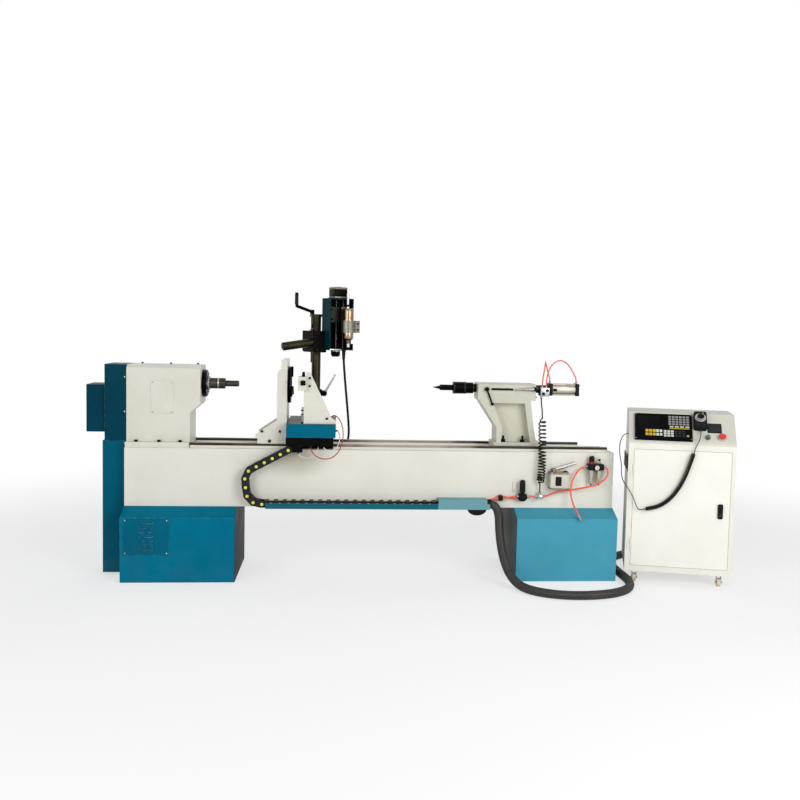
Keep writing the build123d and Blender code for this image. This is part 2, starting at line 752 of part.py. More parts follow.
# Places of the cabinet
CAB_X = BED_END + CAB_GAP
CAB_DEEP_TOP = CAB_FRONT_TOP + CAB_DESK
DESK_RUN = CAB_DESK * math.sqrt(2)
DOOR_X0 = DOOR_LEFT
DOOR_X1 = CAB_W - DOOR_RIGHT
DOOR_Z0 = CAB_LOW + DOOR_SILL
DOOR_Z1 = CAB_FRONT_TOP - DOOR_HEAD
HINGE_X = DOOR_X0 - DOOR_CLEAR / 2
HINGE_ZS = (DOOR_Z0 + HINGE_INSET, DOOR_Z1 - HINGE_INSET - 2 * HINGE_LENGTH)
LATCH_X = DOOR_X1 - LATCH_IN
LATCH_Z = (DOOR_Z0 + DOOR_Z1) / 2
PANEL_X1 = PANEL_X0 + PANEL_W
PANEL_S0 = (DESK_RUN - PANEL_L) / 2
PANEL_S1 = PANEL_S0 + PANEL_L
PENDANT_X = PANEL_X1 + PENDANT_ALONG
PENDANT_S = DESK_RUN - PENDANT_DOWN
START_X = PENDANT_X + START_ALONG
STOP_X = START_X + BUTTON_SPACING
CASTER_CHEEK_LOW = WHEEL_R - CASTER_CHEEK_LIP

# Turned planes: the lift head looks to the right, the cabinet to the left, and its desk slopes back
HEAD = Plane(
    origin=(COLUMN_X, COLUMN_Y, 0),
    x_dir=(math.cos(math.radians(SWING)), math.sin(math.radians(SWING)), 0),
)
CAB = Plane(
    origin=(CAB_X, CAB_Y, 0),
    x_dir=(math.cos(math.radians(CAB_YAW)), math.sin(math.radians(CAB_YAW)), 0),
)
DESK = Plane(
    origin=CAB.from_local_coords((0, 0, CAB_FRONT_TOP)),
    x_dir=CAB.x_dir,
    z_dir=CAB.z_dir - CAB.y_dir,
)
CAB_SIDE = Plane(origin=CAB.origin, x_dir=CAB.y_dir, z_dir=CAB.x_dir)


def keep(part, label):
    """Names a finished piece and writes it."""
    part.label = label
    export_step(part, f"parts/{label}.step")


def slab(x0, x1, y0, y1, z0, z1, mode=Mode.ADD):
    """A block between two corners, in the plane of the part that is being made."""
    with Locations(((x0 + x1) / 2, (y0 + y1) / 2, (z0 + z1) / 2)):
        Box(x1 - x0, y1 - y0, z1 - z0, mode=mode)


def rod(start, end, radius, mode=Mode.ADD):
    """A round bar from point to point."""
    along = Vector(*end) - Vector(*start)
    with BuildSketch(Plane(origin=start, z_dir=along)) as disc:
        Circle(radius)
    extrude(disc.sketch, amount=along.length, mode=mode)


def rod_in(plane, start, end, radius, mode=Mode.ADD):
    """A round bar between two points of a turned plane."""
    rod(plane.from_local_coords(start), plane.from_local_coords(end), radius, mode)


def plate_xz(points, y0, y1, mode=Mode.ADD):
    """A plate with an outline in X and Z, from Y y0 to y1."""
    with BuildSketch(Plane.XZ.offset(-y1)) as outline:
        with BuildLine():
            Polyline(*points, close=True)
        make_face()
    extrude(outline.sketch, amount=y1 - y0, mode=mode)


def plate_yz(points, plane, length, mode=Mode.ADD):
    """A bar with an outline in Y and Z, along X from a plane."""
    with BuildSketch(plane) as outline:
        with BuildLine():
            Polyline(*points, close=True)
        make_face()
    extrude(outline.sketch, amount=length, mode=mode)


def corner_radii(points, name):
    """The largest arcs that a cord's runs leave room for."""
    spots = [Vector(*p) for p in points]
    radii = []
    for before, here, after in zip(spots, spots[1:], spots[2:]):
        run = min((here - before).length, (after - here).length)
        turn = (here - before).get_angle(after - here)
        radii.append(0.45 * run / math.tan(math.radians(turn / 2)))
    print(name, "corner radii", [round(r) for r in radii])
    return radii


def tube(points, radius, name):
    """A round tube along straight runs joined by tangent arcs."""
    with BuildLine() as route:
        FilletPolyline(*points, radius=corner_radii(points, name))
    sweep_round(route.wires()[0], radius, name)


def sweep_round(line, radius, name):
    """A round tube along a line, with its length and how its volume compares with an even tube's."""
    with BuildSketch(Plane(origin=line @ 0, z_dir=line % 0)) as disc:
        Circle(radius)
    made = sweep(disc.sketch, path=line)
    ideal = math.pi * radius**2 * line.length
    print(name, "length", round(line.length), "volume ratio", round(made.volume / ideal, 4))


def smooth(x):
    """Rises from 0 to 1 with level ends."""
    x = min(max(x, 0.0), 1.0)
    return x * x * (3 - 2 * x)


def arc_pair(p0, t0, p1, t1):
    """Two tangent arcs from a point and heading to the next."""
    chord = p1 - p0
    both = t0 + t1
    bend = 2 * (1 - t0.dot(t1))
    reach = chord.dot(both)
    if bend > 1e-9:
        arm = (math.sqrt(reach**2 + bend * chord.dot(chord)) - reach) / bend
    else:
        arm = chord.dot(chord) / (2 * reach)
    joint = (p0 + p1 + (t0 - t1) * arm) * 0.5
    TangentArc(p0, joint, tangent=t0)
    TangentArc(joint, p1, tangent=chord - both * arm)


def curly_tube(before, winding, after, turns, ring, radius, across, stretch, name):
    """One unbroken tube: a lead, curls that wind out of the lead's line and back into it, and a lead."""
    with BuildLine() as core:
        FilletPolyline(*winding, radius=corner_radii(winding, name))
    line = core.wires()[0]

    def spot(t):
        u = min(max(t + stretch * t * (1 - t), 0.0), 1.0)
        ahead = (line % u).normalized()
        side = (across - ahead * across.dot(ahead)).normalized()
        angle = 2 * math.pi * turns * t
        reach = ring * smooth(t * turns) * smooth((1 - t) * turns)
        return line @ u + (side * math.cos(angle) + ahead.cross(side) * math.sin(angle)) * reach

    def heading(t):
        step = 1e-3 / turns
        if t < step or t > 1 - step:
            return (line % t).normalized()
        return (spot(t + step) - spot(t - step)).normalized()

    count = turns * 4
    stops = [(spot(k / count), heading(k / count)) for k in range(count + 1)]
    lead_in = [*before, line @ 0 - (line % 0) * LEAD_RUN * 2 * radius, line @ 0]
    lead_out = [line @ 1, line @ 1 + (line % 1) * LEAD_RUN * 2 * radius, *after]
    with BuildLine() as route:
        FilletPolyline(*lead_in, radius=corner_radii(lead_in, name))
        for (p0, t0), (p1, t1) in zip(stops, stops[1:]):
            arc_pair(p0, t0, p1, t1)
        if after:
            FilletPolyline(*lead_out, radius=corner_radii(lead_out, name))
        else:
            Line(*lead_out)
    sweep_round(route.wires()[0], radius, name)
    fine = 16
    dots = [spot(k / (turns * fine)) for k in range(turns * fine + 1)]
    near = [
        (dots[i] - dots[j]).length
        for i in range(len(dots))
        for j in range(i + fine // 2, min(i + 2 * fine, len(dots)))
    ]
    print(name, "least gap between curls", round(min(near) - 2 * radius, 2))


# Pedestals: folded sheet boxes with a bevelled front edge under the bed
def pedestal_outline(inset):
    half = PED_D / 2 - inset
    return [
        (-half, inset),
        (half, inset),
        (half, PED_H - PED_BEVEL_Z),
        (half - PED_BEVEL_Y, PED_H - inset),
        (-half + PED_BEVEL_Y, PED_H - inset),
        (-half, PED_H - PED_BEVEL_Z),
    ]


with BuildPart() as left_pedestal:
    plate_yz(pedestal_outline(0), Plane.YZ.offset(LEFT_X), PED_LEFT_W)
    plate_yz(
        pedestal_outline(PED_WALL),
        Plane.YZ.offset(LEFT_X + PED_WALL),
        PED_LEFT_W - 2 * PED_WALL,
        mode=Mode.SUBTRACT,
    )
    rod((LEFT_X, 0, MOTOR_Z), (LEFT_X + PED_WALL, 0, MOTOR_Z), SHAFT_PORT_R, mode=Mode.SUBTRACT)
    slab(
        VENT_X - VENT_W / 2 + VENT_LAP,
        VENT_X + VENT_W / 2 - VENT_LAP,
        -PED_D / 2,
        -PED_D / 2 + PED_WALL,
        VENT_Z - VENT_H / 2 + VENT_LAP,
        VENT_Z + VENT_H / 2 - VENT_LAP,
        mode=Mode.SUBTRACT,
    )
keep(left_pedestal.part, "left_pedestal")

with BuildPart() as right_pedestal:
    plate_yz(pedestal_outline(0), Plane.YZ.offset(PED_RIGHT_X - PED_RIGHT_W / 2), PED_RIGHT_W)
    plate_yz(
        pedestal_outline(PED_WALL),
        Plane.YZ.offset(PED_RIGHT_X - PED_RIGHT_W / 2 + PED_WALL),
        PED_RIGHT_W - 2 * PED_WALL,
        mode=Mode.SUBTRACT,
    )
keep(right_pedestal.part, "right_pedestal")

# Vent panel: a screwed sheet with a column of pressed louvres, each open below its hood
with BuildPart() as vent_panel:
    vent_y = -PED_D / 2
    slab(
        VENT_X - VENT_W / 2,
        VENT_X + VENT_W / 2,
        vent_y - VENT_T,
        vent_y,
        VENT_Z - VENT_H / 2,
        VENT_Z + VENT_H / 2,
    )
    for k in range(LOUVRE_COUNT):
        sill = VENT_Z + (k - (LOUVRE_COUNT - 1) / 2) * LOUVRE_PITCH
        hood = [
            (vent_y - VENT_T, sill + LOUVRE_H),
            (vent_y - VENT_T - LOUVRE_OUT, sill),
            (vent_y - VENT_T, sill),
        ]
        plate_yz(hood, Plane.YZ.offset(VENT_X - LOUVRE_W / 2), LOUVRE_W)
        slab(
            VENT_X - LOUVRE_W / 2 + VENT_T,
            VENT_X + LOUVRE_W / 2 - VENT_T,
            vent_y - VENT_T - LOUVRE_OUT / 2,
            vent_y,
            sill - VENT_T,
            sill + VENT_T / 2,
            mode=Mode.SUBTRACT,
        )
keep(vent_panel.part, "vent_panel")

# Bed: a closed box beam with two clamping slots in its top
with BuildPart() as bed:
    slab(LEFT_X, BED_END, BED_FRONT, -BED_FRONT, PED_H, BED_TOP)
    slab(
        LEFT_X + BED_WALL,
        BED_END - BED_WALL,
        BED_FRONT + BED_WALL,
        -BED_FRONT - BED_WALL,
        PED_H + BED_WALL,
        BED_TOP - BED_WALL,
        mode=Mode.SUBTRACT,
    )
    for y in (-SLOT_Y, SLOT_Y):
        edges = (y - SLOT_W / 2, y + SLOT_W / 2)
        slab(SLOT_START, SLOT_END, *edges, BED_TOP - BED_WALL, BED_TOP, mode=Mode.SUBTRACT)
keep(bed.part, "bed")

with BuildPart() as bed_rails:
    for y, end in ((-RAIL_Y, RAIL_FRONT_END), (RAIL_Y, RAIL_REAR_END)):
        slab(RAIL_START, end, y - RAIL_W / 2, y + RAIL_W / 2, BED_TOP, RAIL_TOP)
    chamfer(bed_rails.edges().group_by(Axis.Z)[-1].filter_by(Axis.X), length=RAIL_CHAMFER)
keep(bed_rails.part, "bed_rails")


# Headstock: a hollow casting on a pad, with a bearing boss at each end wall
def headstock_outline(inset):
    return [
        (LEFT_X + inset, HEAD_LOW + inset),
        (HEAD_LOW_X - inset, HEAD_LOW + inset),
        (HEAD_LOW_X - inset, HEAD_SLOPE_LOW + inset / 2),
        (HEAD_NOSE_X - inset, HEAD_SLOPE_HIGH + inset / 2),
        (HEAD_NOSE_X - inset, HEAD_TOP - inset),
        (LEFT_X + inset, HEAD_TOP - inset),
    ]


with BuildPart() as headstock:
    plate_xz(headstock_outline(0), -HEAD_W / 2, HEAD_W / 2)
    chamfer(headstock.edges().filter_by(Axis.X).group_by(Axis.Z)[-1], length=HEAD_CHAMFER)
    plate_xz(
        headstock_outline(HEAD_WALL),
        -HEAD_W / 2 + HEAD_WALL,
        HEAD_W / 2 - HEAD_WALL,
        mode=Mode.SUBTRACT,
    )
    slab(LEFT_X, HEAD_LOW_X, -HEAD_PAD_Y, HEAD_PAD_Y, BED_TOP, HEAD_LOW)
    for boss_x in (LEFT_X, HEAD_NOSE_X - BOSS_LENGTH):
        rod((boss_x, 0, SPINDLE_Z), (boss_x + BOSS_LENGTH, 0, SPINDLE_Z), BOSS_R)
    for boss_x in (LEFT_X, HEAD_NOSE_X - BOSS_LENGTH):
        rod(
            (boss_x, 0, SPINDLE_Z),
            (boss_x + BOSS_LENGTH, 0, SPINDLE_Z),
            BEARING_R + RUN_FIT,
            mode=Mode.SUBTRACT,
        )
keep(headstock.part, "headstock")

with BuildPart() as spindle_bearings:
    for ring_x in (LEFT_X, HEAD_NOSE_X - BEARING_W):
        rod((ring_x, 0, SPINDLE_Z), (ring_x + BEARING_W, 0, SPINDLE_Z), BEARING_R)
    rod((HEAD_NOSE_X, 0, SPINDLE_Z), (COVER_END, 0, SPINDLE_Z), COVER_R)
    chamfer(spindle_bearings.edges().group_by(Axis.X)[-1], length=COVER_CHAMFER)
    rod((LEFT_X, 0, SPINDLE_Z), (COVER_END, 0, SPINDLE_Z), SHAFT_R + RUN_FIT, mode=Mode.SUBTRACT)
keep(spindle_bearings.part, "spindle_bearings")

# Spindle with its rear pulley keyed on, and the stepped driving nose
with BuildPart() as spindle:
    rod((BELT_X - PULLEY_W / 2 - RUN_FIT * 4, 0, SPINDLE_Z), (COVER_END, 0, SPINDLE_Z), SHAFT_R)
    rod((COVER_END, 0, SPINDLE_Z), (NOSE_END, 0, SPINDLE_Z), NOSE_R)
    rod((NOSE_END, 0, SPINDLE_Z), (NOSE_END + TIP_LENGTH, 0, SPINDLE_Z), TIP_R)
    chamfer(spindle.edges().group_by(Axis.X)[-1], length=TIP_CHAMFER)
    rod((BELT_X - PULLEY_W / 2, 0, SPINDLE_Z), (BELT_X + PULLEY_W / 2, 0, SPINDLE_Z), SPINDLE_PULLEY_R)
keep(spindle.part, "spindle")

with BuildPart() as spindle_motor:
    motor_end = MOTOR_START + MOTOR_LENGTH
    rod((MOTOR_START, 0, MOTOR_Z), (motor_end, 0, MOTOR_Z), MOTOR_R)
    chamfer(spindle_motor.edges().filter_by(GeomType.CIRCLE), length=MOTOR_CHAMFER)
    slab(
        MOTOR_START + MOTOR_SEAT,
        motor_end - MOTOR_SEAT,
        -MOTOR_R,
        MOTOR_R,
        PED_WALL,
        MOTOR_Z - MOTOR_R + MOTOR_SEAT,
    )
    rod(
        (MOTOR_START, 0, MOTOR_Z),
        (MOTOR_START + MOTOR_SEAT, 0, MOTOR_Z),
        MOTOR_SHAFT_R + RUN_FIT,
        mode=Mode.SUBTRACT,
    )
keep(spindle_motor.part, "spindle_motor")

with BuildPart() as motor_pulley:
    rod((BELT_X - PULLEY_W / 2, 0, MOTOR_Z), (BELT_X + PULLEY_W / 2, 0, MOTOR_Z), MOTOR_PULLEY_R)
    rod(
        (BELT_X + PULLEY_W / 2, 0, MOTOR_Z),
        (MOTOR_START + MOTOR_SEAT - SLIDE_GAP, 0, MOTOR_Z),
        MOTOR_SHAFT_R,
    )
keep(motor_pulley.part, "motor_pulley")

with BuildPart() as drive_belt:
    for grow, mode in ((BELT_T, Mode.ADD), (SLIDE_GAP, Mode.SUBTRACT)):
        with BuildSketch(Plane.YZ.offset(BELT_X - BELT_W / 2)) as loop:
            with Locations((0, SPINDLE_Z)):
                Circle(SPINDLE_PULLEY_R + grow)
            with Locations((0, MOTOR_Z)):
                Circle(MOTOR_PULLEY_R + grow)
            make_hull(loop.edges())
        extrude(amount=BELT_W, mode=mode)
keep(drive_belt.part, "drive_belt")

# Belt guards: sheet boxes open towards the machine and towards each other
with BuildPart() as upper_belt_guard:
    low = GUARD_SPLIT_Z + SHEET_GAP
    slab(LEFT_X - UPPER_GUARD_W, LEFT_X, -GUARD_Y, GUARD_Y, low, UPPER_GUARD_TOP)
    slab(
        LEFT_X - UPPER_GUARD_W - END_BOX_W,
        LEFT_X - UPPER_GUARD_W,
        -END_BOX_Y,
        END_BOX_Y,
        END_BOX_LOW,
        END_BOX_TOP,
    )
    slab(
        LEFT_X - UPPER_GUARD_W + GUARD_WALL,
        LEFT_X,
        -GUARD_Y + GUARD_WALL,
        GUARD_Y - GUARD_WALL,
        low,
        UPPER_GUARD_TOP - GUARD_WALL,
        mode=Mode.SUBTRACT,
    )
    slab(
        LEFT_X - UPPER_GUARD_W - END_BOX_W + GUARD_WALL,
        LEFT_X - UPPER_GUARD_W,
        -END_BOX_Y + GUARD_WALL,
        END_BOX_Y - GUARD_WALL,
        END_BOX_LOW + GUARD_WALL,
        END_BOX_TOP - GUARD_WALL,
        mode=Mode.SUBTRACT,
    )
keep(upper_belt_guard.part, "upper_belt_guard")

with BuildPart() as lower_belt_guard:
    slab(LEFT_X - LOWER_GUARD_W, LEFT_X, -LOWER_GUARD_Y, LOWER_GUARD_Y, LOWER_GUARD_BOTTOM, GUARD_SPLIT_Z)
    slab(
        LEFT_X - LOWER_GUARD_W + GUARD_WALL,
        LEFT_X,
        -LOWER_GUARD_Y + GUARD_WALL,
        LOWER_GUARD_Y - GUARD_WALL,
        LOWER_GUARD_BOTTOM + GUARD_WALL,
        GUARD_SPLIT_Z,
        mode=Mode.SUBTRACT,
    )
keep(lower_belt_guard.part, "lower_belt_guard")

# Feed screw behind the bed, its two bearing blocks and the servo motor
with BuildPart() as carriage_drive:
    for block_x in (SCREW_BLOCK_X, SCREW_BLOCK_FAR_X):
        slab(
            block_x - SCREW_BLOCK_W / 2,
            block_x + SCREW_BLOCK_W / 2,
            -BED_FRONT,
            SCREW_Y + SCREW_BLOCK_H / 2,
            SCREW_Z - SCREW_BLOCK_H / 2,
            SCREW_Z + SCREW_BLOCK_H / 2,
        )
        rod(
            (block_x - SCREW_BLOCK_W / 2, SCREW_Y, SCREW_Z),
            (block_x + SCREW_BLOCK_W / 2, SCREW_Y, SCREW_Z),
            SCREW_R + RUN_FIT,
            mode=Mode.SUBTRACT,
        )
    servo_end = SCREW_BLOCK_X - SCREW_BLOCK_W / 2
    slab(
        servo_end - SERVO_LENGTH,
        servo_end,
        SCREW_Y - SERVO_SIDE / 2,
        SCREW_Y + SERVO_SIDE / 2,
        SCREW_Z - SERVO_SIDE / 2,
        SCREW_Z + SERVO_SIDE / 2,
    )
    rod(
        (servo_end - SERVO_PILOT, SCREW_Y, SCREW_Z),
        (servo_end, SCREW_Y, SCREW_Z),
        SCREW_R + RUN_FIT,
        mode=Mode.SUBTRACT,
    )
keep(carriage_drive.part, "carriage_drive")

with BuildPart() as feed_screw:
    screw_start = SCREW_BLOCK_X - SCREW_BLOCK_W / 2 - SERVO_PILOT + SLIDE_GAP
    screw_end = SCREW_BLOCK_FAR_X + SCREW_BLOCK_W / 2
    rod((screw_start, SCREW_Y, SCREW_Z), (screw_end, SCREW_Y, SCREW_Z), SCREW_R)
keep(feed_screw.part, "feed_screw")

# Saddle: a plate that straddles both rails, with the screw nut hung behind the bed
with BuildPart() as saddle:
    slab(SADDLE_X0, SADDLE_X1, SADDLE_Y0, SADDLE_Y1, SADDLE_LOW, SADDLE_TOP)
    for side in (-1, 1):
        for edge in (-1, 1):
            lip = side * RAIL_Y + edge * (RAIL_W / 2 + SLIDE_GAP + GIB_W / 2)
            slab(SADDLE_X0, SADDLE_X1, lip - GIB_W / 2, lip + GIB_W / 2, GIB_LOW, SADDLE_LOW)
    for way_x in (TABLE_X0 + CROSS_WAY_INSET, TABLE_X1 - CROSS_WAY_INSET):
        slab(
            way_x - CROSS_WAY_W / 2,
            way_x + CROSS_WAY_W / 2,
            CROSS_WAY_Y0,
            CROSS_WAY_Y1,
            SADDLE_TOP,
            WAY_TOP,
        )
    slab(
        NUT_X - NUT_W / 2,
        NUT_X + NUT_W / 2,
        -BED_FRONT + SHEET_GAP,
        SADDLE_Y1,
        SCREW_Z - NUT_DROP,
        SADDLE_LOW,
    )
    rod(
        (NUT_X - NUT_W / 2, SCREW_Y, SCREW_Z),
        (NUT_X + NUT_W / 2, SCREW_Y, SCREW_Z),
        SCREW_R + THREAD_GAP,
        mode=Mode.SUBTRACT,
    )
    slab(
        CHAIN_LUG_X,
        CHAIN_LUG_X + CHAIN_LUG_W,
        CHAIN_Y - CHAIN_INNER + CHAIN_PLATE + SLIDE_GAP,
        CHAIN_Y + CHAIN_INNER - CHAIN_PLATE - SLIDE_GAP,
        SADDLE_LOW - CHAIN_LUG_H,
        SADDLE_LOW,
    )
keep(saddle.part, "saddle")

# Steady: two gusseted cheeks and a cross plate on a foot, with a ring that carries three jaws
with BuildPart() as steady_bracket:
    foot_low = SADDLE_LOW
    foot_top = foot_low + STEADY_FOOT_H
    slab(STEADY_FOOT_X, STEADY_X, -STEADY_Y, STEADY_Y, foot_low, foot_top)
    cheek = [
        (STEADY_FOOT_X, foot_low),
        (STEADY_X, foot_low),
        (STEADY_X, STEADY_TOP),
        (STEADY_NECK_X, STEADY_TOP),
        (STEADY_NECK_X, STEADY_SHOULDER_Z + STEADY_NECK_X - STEADY_KNEE_X),
        (STEADY_KNEE_X, STEADY_SHOULDER_Z),
        (STEADY_KNEE_X, STEADY_KNEE_Z),
        (STEADY_TOE_X, STEADY_TOE_Z),
        (STEADY_TOE_X, foot_top),
        (STEADY_FOOT_X, foot_top),
    ]
    for inner in (-STEADY_Y + STEADY_PLATE, STEADY_Y):
        plate_xz(cheek, inner - STEADY_PLATE, inner)
    slab(STEADY_X - STEADY_PLATE, STEADY_X, -STEADY_Y, STEADY_Y, foot_low, STEADY_WEB_TOP)
    rod(
        (STEADY_X - STEADY_PLATE, 0, SPINDLE_Z),
        (STEADY_X, 0, SPINDLE_Z),
        STEADY_HOLE_R,
        mode=Mode.SUBTRACT,
    )
keep(steady_bracket.part, "steady_bracket")

with BuildPart() as steady_ring:
    rod((STEADY_X, 0, SPINDLE_Z), (STEADY_X + RING_T, 0, SPINDLE_Z), RING_R)
    rod((STEADY_X, 0, SPINDLE_Z), (STEADY_X + RING_T, 0, SPINDLE_Z), RING_BORE_R, mode=Mode.SUBTRACT)
    with BuildSketch(Plane.YZ.offset(STEADY_X + RING_T)):
        with Locations((0, SPINDLE_Z)):
            with PolarLocations((RING_R + JAW_REACH_R) / 2, JAW_COUNT, start_angle=90):
                Rectangle(RING_R - JAW_REACH_R, JAW_W)
    extrude(amount=JAW_T)
keep(steady_ring.part, "steady_ring")

# Cross-slide table: a painted cover with a thick top and two runners over the saddle's ways
with BuildPart() as slide_table:
    slab(TABLE_X0, TABLE_X1, TABLE_Y0, TABLE_Y1, TABLE_SKIRT_Z, TABLE_TOP)
    fillet(slide_table.edges().filter_by(Axis.Z), radius=TABLE_WALL)
    slab(
        TABLE_X0 + TABLE_WALL,
        TABLE_X1 - TABLE_WALL,
        TABLE_Y0 + TABLE_WALL,
        TABLE_Y1 - TABLE_WALL,
        TABLE_SKIRT_Z,
        TABLE_TOP - TABLE_PLATE,
        mode=Mode.SUBTRACT,
    )
    for way_x in (TABLE_X0 + CROSS_WAY_INSET, TABLE_X1 - CROSS_WAY_INSET):
        slab(
            way_x - CROSS_WAY_W / 2,
            way_x + CROSS_WAY_W / 2,
            TABLE_Y0 + TABLE_WALL,
            TABLE_Y1 - TABLE_WALL,
            WAY_TOP + SLIDE_GAP,
            TABLE_TOP - TABLE_PLATE,
        )
keep(slide_table.part, "slide_table")

# Tool bracket: a gusset plate on a flange, a cross plate behind it, and the block that grips the tool bar
with BuildPart() as tool_bracket:
    gusset = [
        (TOOL_X0, TABLE_TOP),
        (TOOL_X1, TABLE_TOP),
        (TOOL_X1, TABLE_TOP + TOOL_FLANGE),
        (TOOL_HEEL_X, TOOL_HEEL_Z),
        (TOOL_CREST_X1, TOOL_TOP),
        (TOOL_CREST_X0, TOOL_TOP),
        (TOOL_CREST_X0, TOOL_WAIST_Z),
        (TOOL_X0, TOOL_WAIST_Z),
    ]
    plate_xz(gusset, TOOL_Y0, TOOL_Y0 + TOOL_PLATE)
    slab(TOOL_X0, TOOL_X1, TOOL_Y0, TOOL_Y1, TABLE_TOP, TABLE_TOP + TOOL_FLANGE)
    slab(TOOL_CREST_X0, TOOL_CREST_X0 + TOOL_PLATE, TOOL_Y0, TOOL_Y1, TABLE_TOP, BLOCK_Z1)
    slab(BLOCK_X0, TOOL_CREST_X0, BLOCK_Y0, BLOCK_Y1, BLOCK_Z0, BLOCK_Z1)
    slot_half = BAR_SIDE / 2 + SLIDE_GAP
    slab(
        BAR_X - slot_half,
        BAR_X + slot_half,
        BLOCK_Y0,
        BLOCK_Y1,
        BAR_Z - slot_half,
        BAR_Z + slot_half,
        mode=Mode.SUBTRACT,
    )
keep(tool_bracket.part, "tool_bracket")

with BuildPart() as tool_bar:
    half = BAR_SIDE / 2
    slab(BAR_X - half, BAR_X + half, BAR_BACK_Y, BAR_FRONT_Y, BAR_Z - half, BAR_Z + half)
    with BuildSketch(Plane.XY.offset(BAR_TIP_Z)):
        with BuildLine():
            Polyline(
                (BAR_X - half, BAR_FRONT_Y - BAR_SIDE),
                (BAR_X + half, BAR_FRONT_Y - BAR_SIDE),
                (BAR_X + half, BAR_FRONT_Y),
                (BAR_X, CUTTER_TIP_Y),
                (BAR_X - half, BAR_FRONT_Y),
                close=True,
            )
        make_face()
    extrude(amount=-CUTTER_T)
keep(tool_bar.part, "tool_bar")

# Router column: a clamped socket on the table, the tube, and a yoke that carries the lift screw
with BuildPart() as column_base:
    rod((COLUMN_X, COLUMN_Y, TABLE_TOP), (COLUMN_X, COLUMN_Y, TABLE_TOP + BASE_FLANGE_T), BASE_FLANGE_R)
    rod((COLUMN_X, COLUMN_Y, TABLE_TOP), (COLUMN_X, COLUMN_Y, SOCKET_TOP), SOCKET_R)
    rod(
        (CLAMP_X, COLUMN_Y - CLAMP_LENGTH / 2, CLAMP_Z),
        (CLAMP_X, COLUMN_Y + CLAMP_LENGTH / 2, CLAMP_Z),
        CLAMP_R,
    )
    slab(
        COLUMN_X,
        CLAMP_X,
        COLUMN_Y - CLAMP_LENGTH / 2,
        COLUMN_Y + CLAMP_LENGTH / 2,
        CLAMP_Z - CLAMP_R,
        CLAMP_Z + CLAMP_R,
    )
    rod(
        (COLUMN_X, COLUMN_Y, TABLE_TOP + BASE_FLANGE_T),
        (COLUMN_X, COLUMN_Y, SOCKET_TOP),
        COLUMN_R + RUN_FIT,
        mode=Mode.SUBTRACT,
    )
keep(column_base.part, "column_base")

with BuildPart() as column_lever:
    hub_back = COLUMN_Y - CLAMP_LENGTH / 2 - SLIDE_GAP
    hub_mid = hub_back - LEVER_HUB_T / 2
    rod((CLAMP_X, hub_back, CLAMP_Z), (CLAMP_X, hub_back - LEVER_HUB_T, CLAMP_Z), LEVER_HUB_R)
    rod((CLAMP_X, hub_mid, CLAMP_Z), (CLAMP_X + LEVER_RUN_X, hub_mid, CLAMP_Z + LEVER_RUN_Z), LEVER_R)
keep(column_lever.part, "column_lever")

with BuildPart() as column:
    rod(
        (COLUMN_X, COLUMN_Y, TABLE_TOP + BASE_FLANGE_T + SLIDE_GAP),
        (COLUMN_X, COLUMN_Y, COLUMN_TOP),
        COLUMN_R,
    )
    with BuildSketch(HEAD.offset(COLUMN_TOP)) as yoke:
        Circle(YOKE_R)
        with Locations((LIFT_SCREW_X, LIFT_SCREW_Y)):
            Circle(LIFT_SCREW_LUG_R)
        make_hull(yoke.edges())
    extrude(amount=YOKE_T)
    rod_in(
        HEAD,
        (LIFT_SCREW_X, LIFT_SCREW_Y, COLUMN_TOP),
        (LIFT_SCREW_X, LIFT_SCREW_Y, COLUMN_TOP + YOKE_T),
        LIFT_SCREW_R + RUN_FIT,
        mode=Mode.SUBTRACT,
    )
keep(column.part, "column")

# Lift head: slides on the column, holds the swing bar and the router housing
tilt_run = math.cos(math.radians(SWING_BAR_TILT))
tilt_rise = math.sin(math.radians(SWING_BAR_TILT))


def on_swing_bar(x):
    """A point of the tilted bar's axis, in the lift head's plane."""
    return (x * tilt_run, SWING_BAR_Y, SWING_BAR_Z + x * tilt_rise)


with BuildPart(HEAD) as lift_head:
    slab(LIFT_X0, LIFT_X1, HOUSE_Y1, LIFT_Y1, LIFT_LOW, LIFT_TOP)
    slab(LIFT_X0, HOUSE_X0, LIFT_Y0, HOUSE_Y1, LIFT_LOW, LIFT_TOP)
    upright = lift_head.edges().filter_by(Axis.Z)
    fillet(upright.group_by(Axis(HEAD.origin, HEAD.x_dir))[0], radius=LIFT_EDGE)
    fillet(lift_head.faces().sort_by(Axis.Z)[0].edges().sort_by(Axis(HEAD.origin, HEAD.x_dir))[0], LIFT_EDGE)
    rod_in(HEAD, (0, 0, LIFT_LOW), (0, 0, LIFT_TOP), COLUMN_R + RUN_FIT, mode=Mode.SUBTRACT)
    rod_in(
        HEAD,
        (LIFT_SCREW_X, LIFT_SCREW_Y, LIFT_LOW),
        (LIFT_SCREW_X, LIFT_SCREW_Y, LIFT_TOP),
        LIFT_SCREW_R + THREAD_GAP,
        mode=Mode.SUBTRACT,
    )
    rod_in(
        HEAD,
        on_swing_bar(SWING_BAR_X0),
        on_swing_bar(SWING_BAR_X1),
        SWING_BAR_R + RUN_FIT,
        mode=Mode.SUBTRACT,
    )
    lock_foot = (LIFT_X0 + LIFT_EDGE, LIFT_Y0 + 2 * LIFT_EDGE, LIFT_TOP)
    lock_head = (lock_foot[0] - LIFT_EDGE, lock_foot[1], LIFT_TOP + LOCK_ROD_LENGTH)
    rod_in(HEAD, lock_foot, lock_head, LOCK_ROD_R)
keep(lift_head.part, "lift_head")

with BuildPart() as swing_bar:
    rod_in(HEAD, on_swing_bar(SWING_BAR_X0), on_swing_bar(SWING_BAR_X1), SWING_BAR_R)
    fillet(swing_bar.edges().filter_by(GeomType.CIRCLE), radius=SWING_BAR_EDGE)
keep(swing_bar.part, "swing_bar")

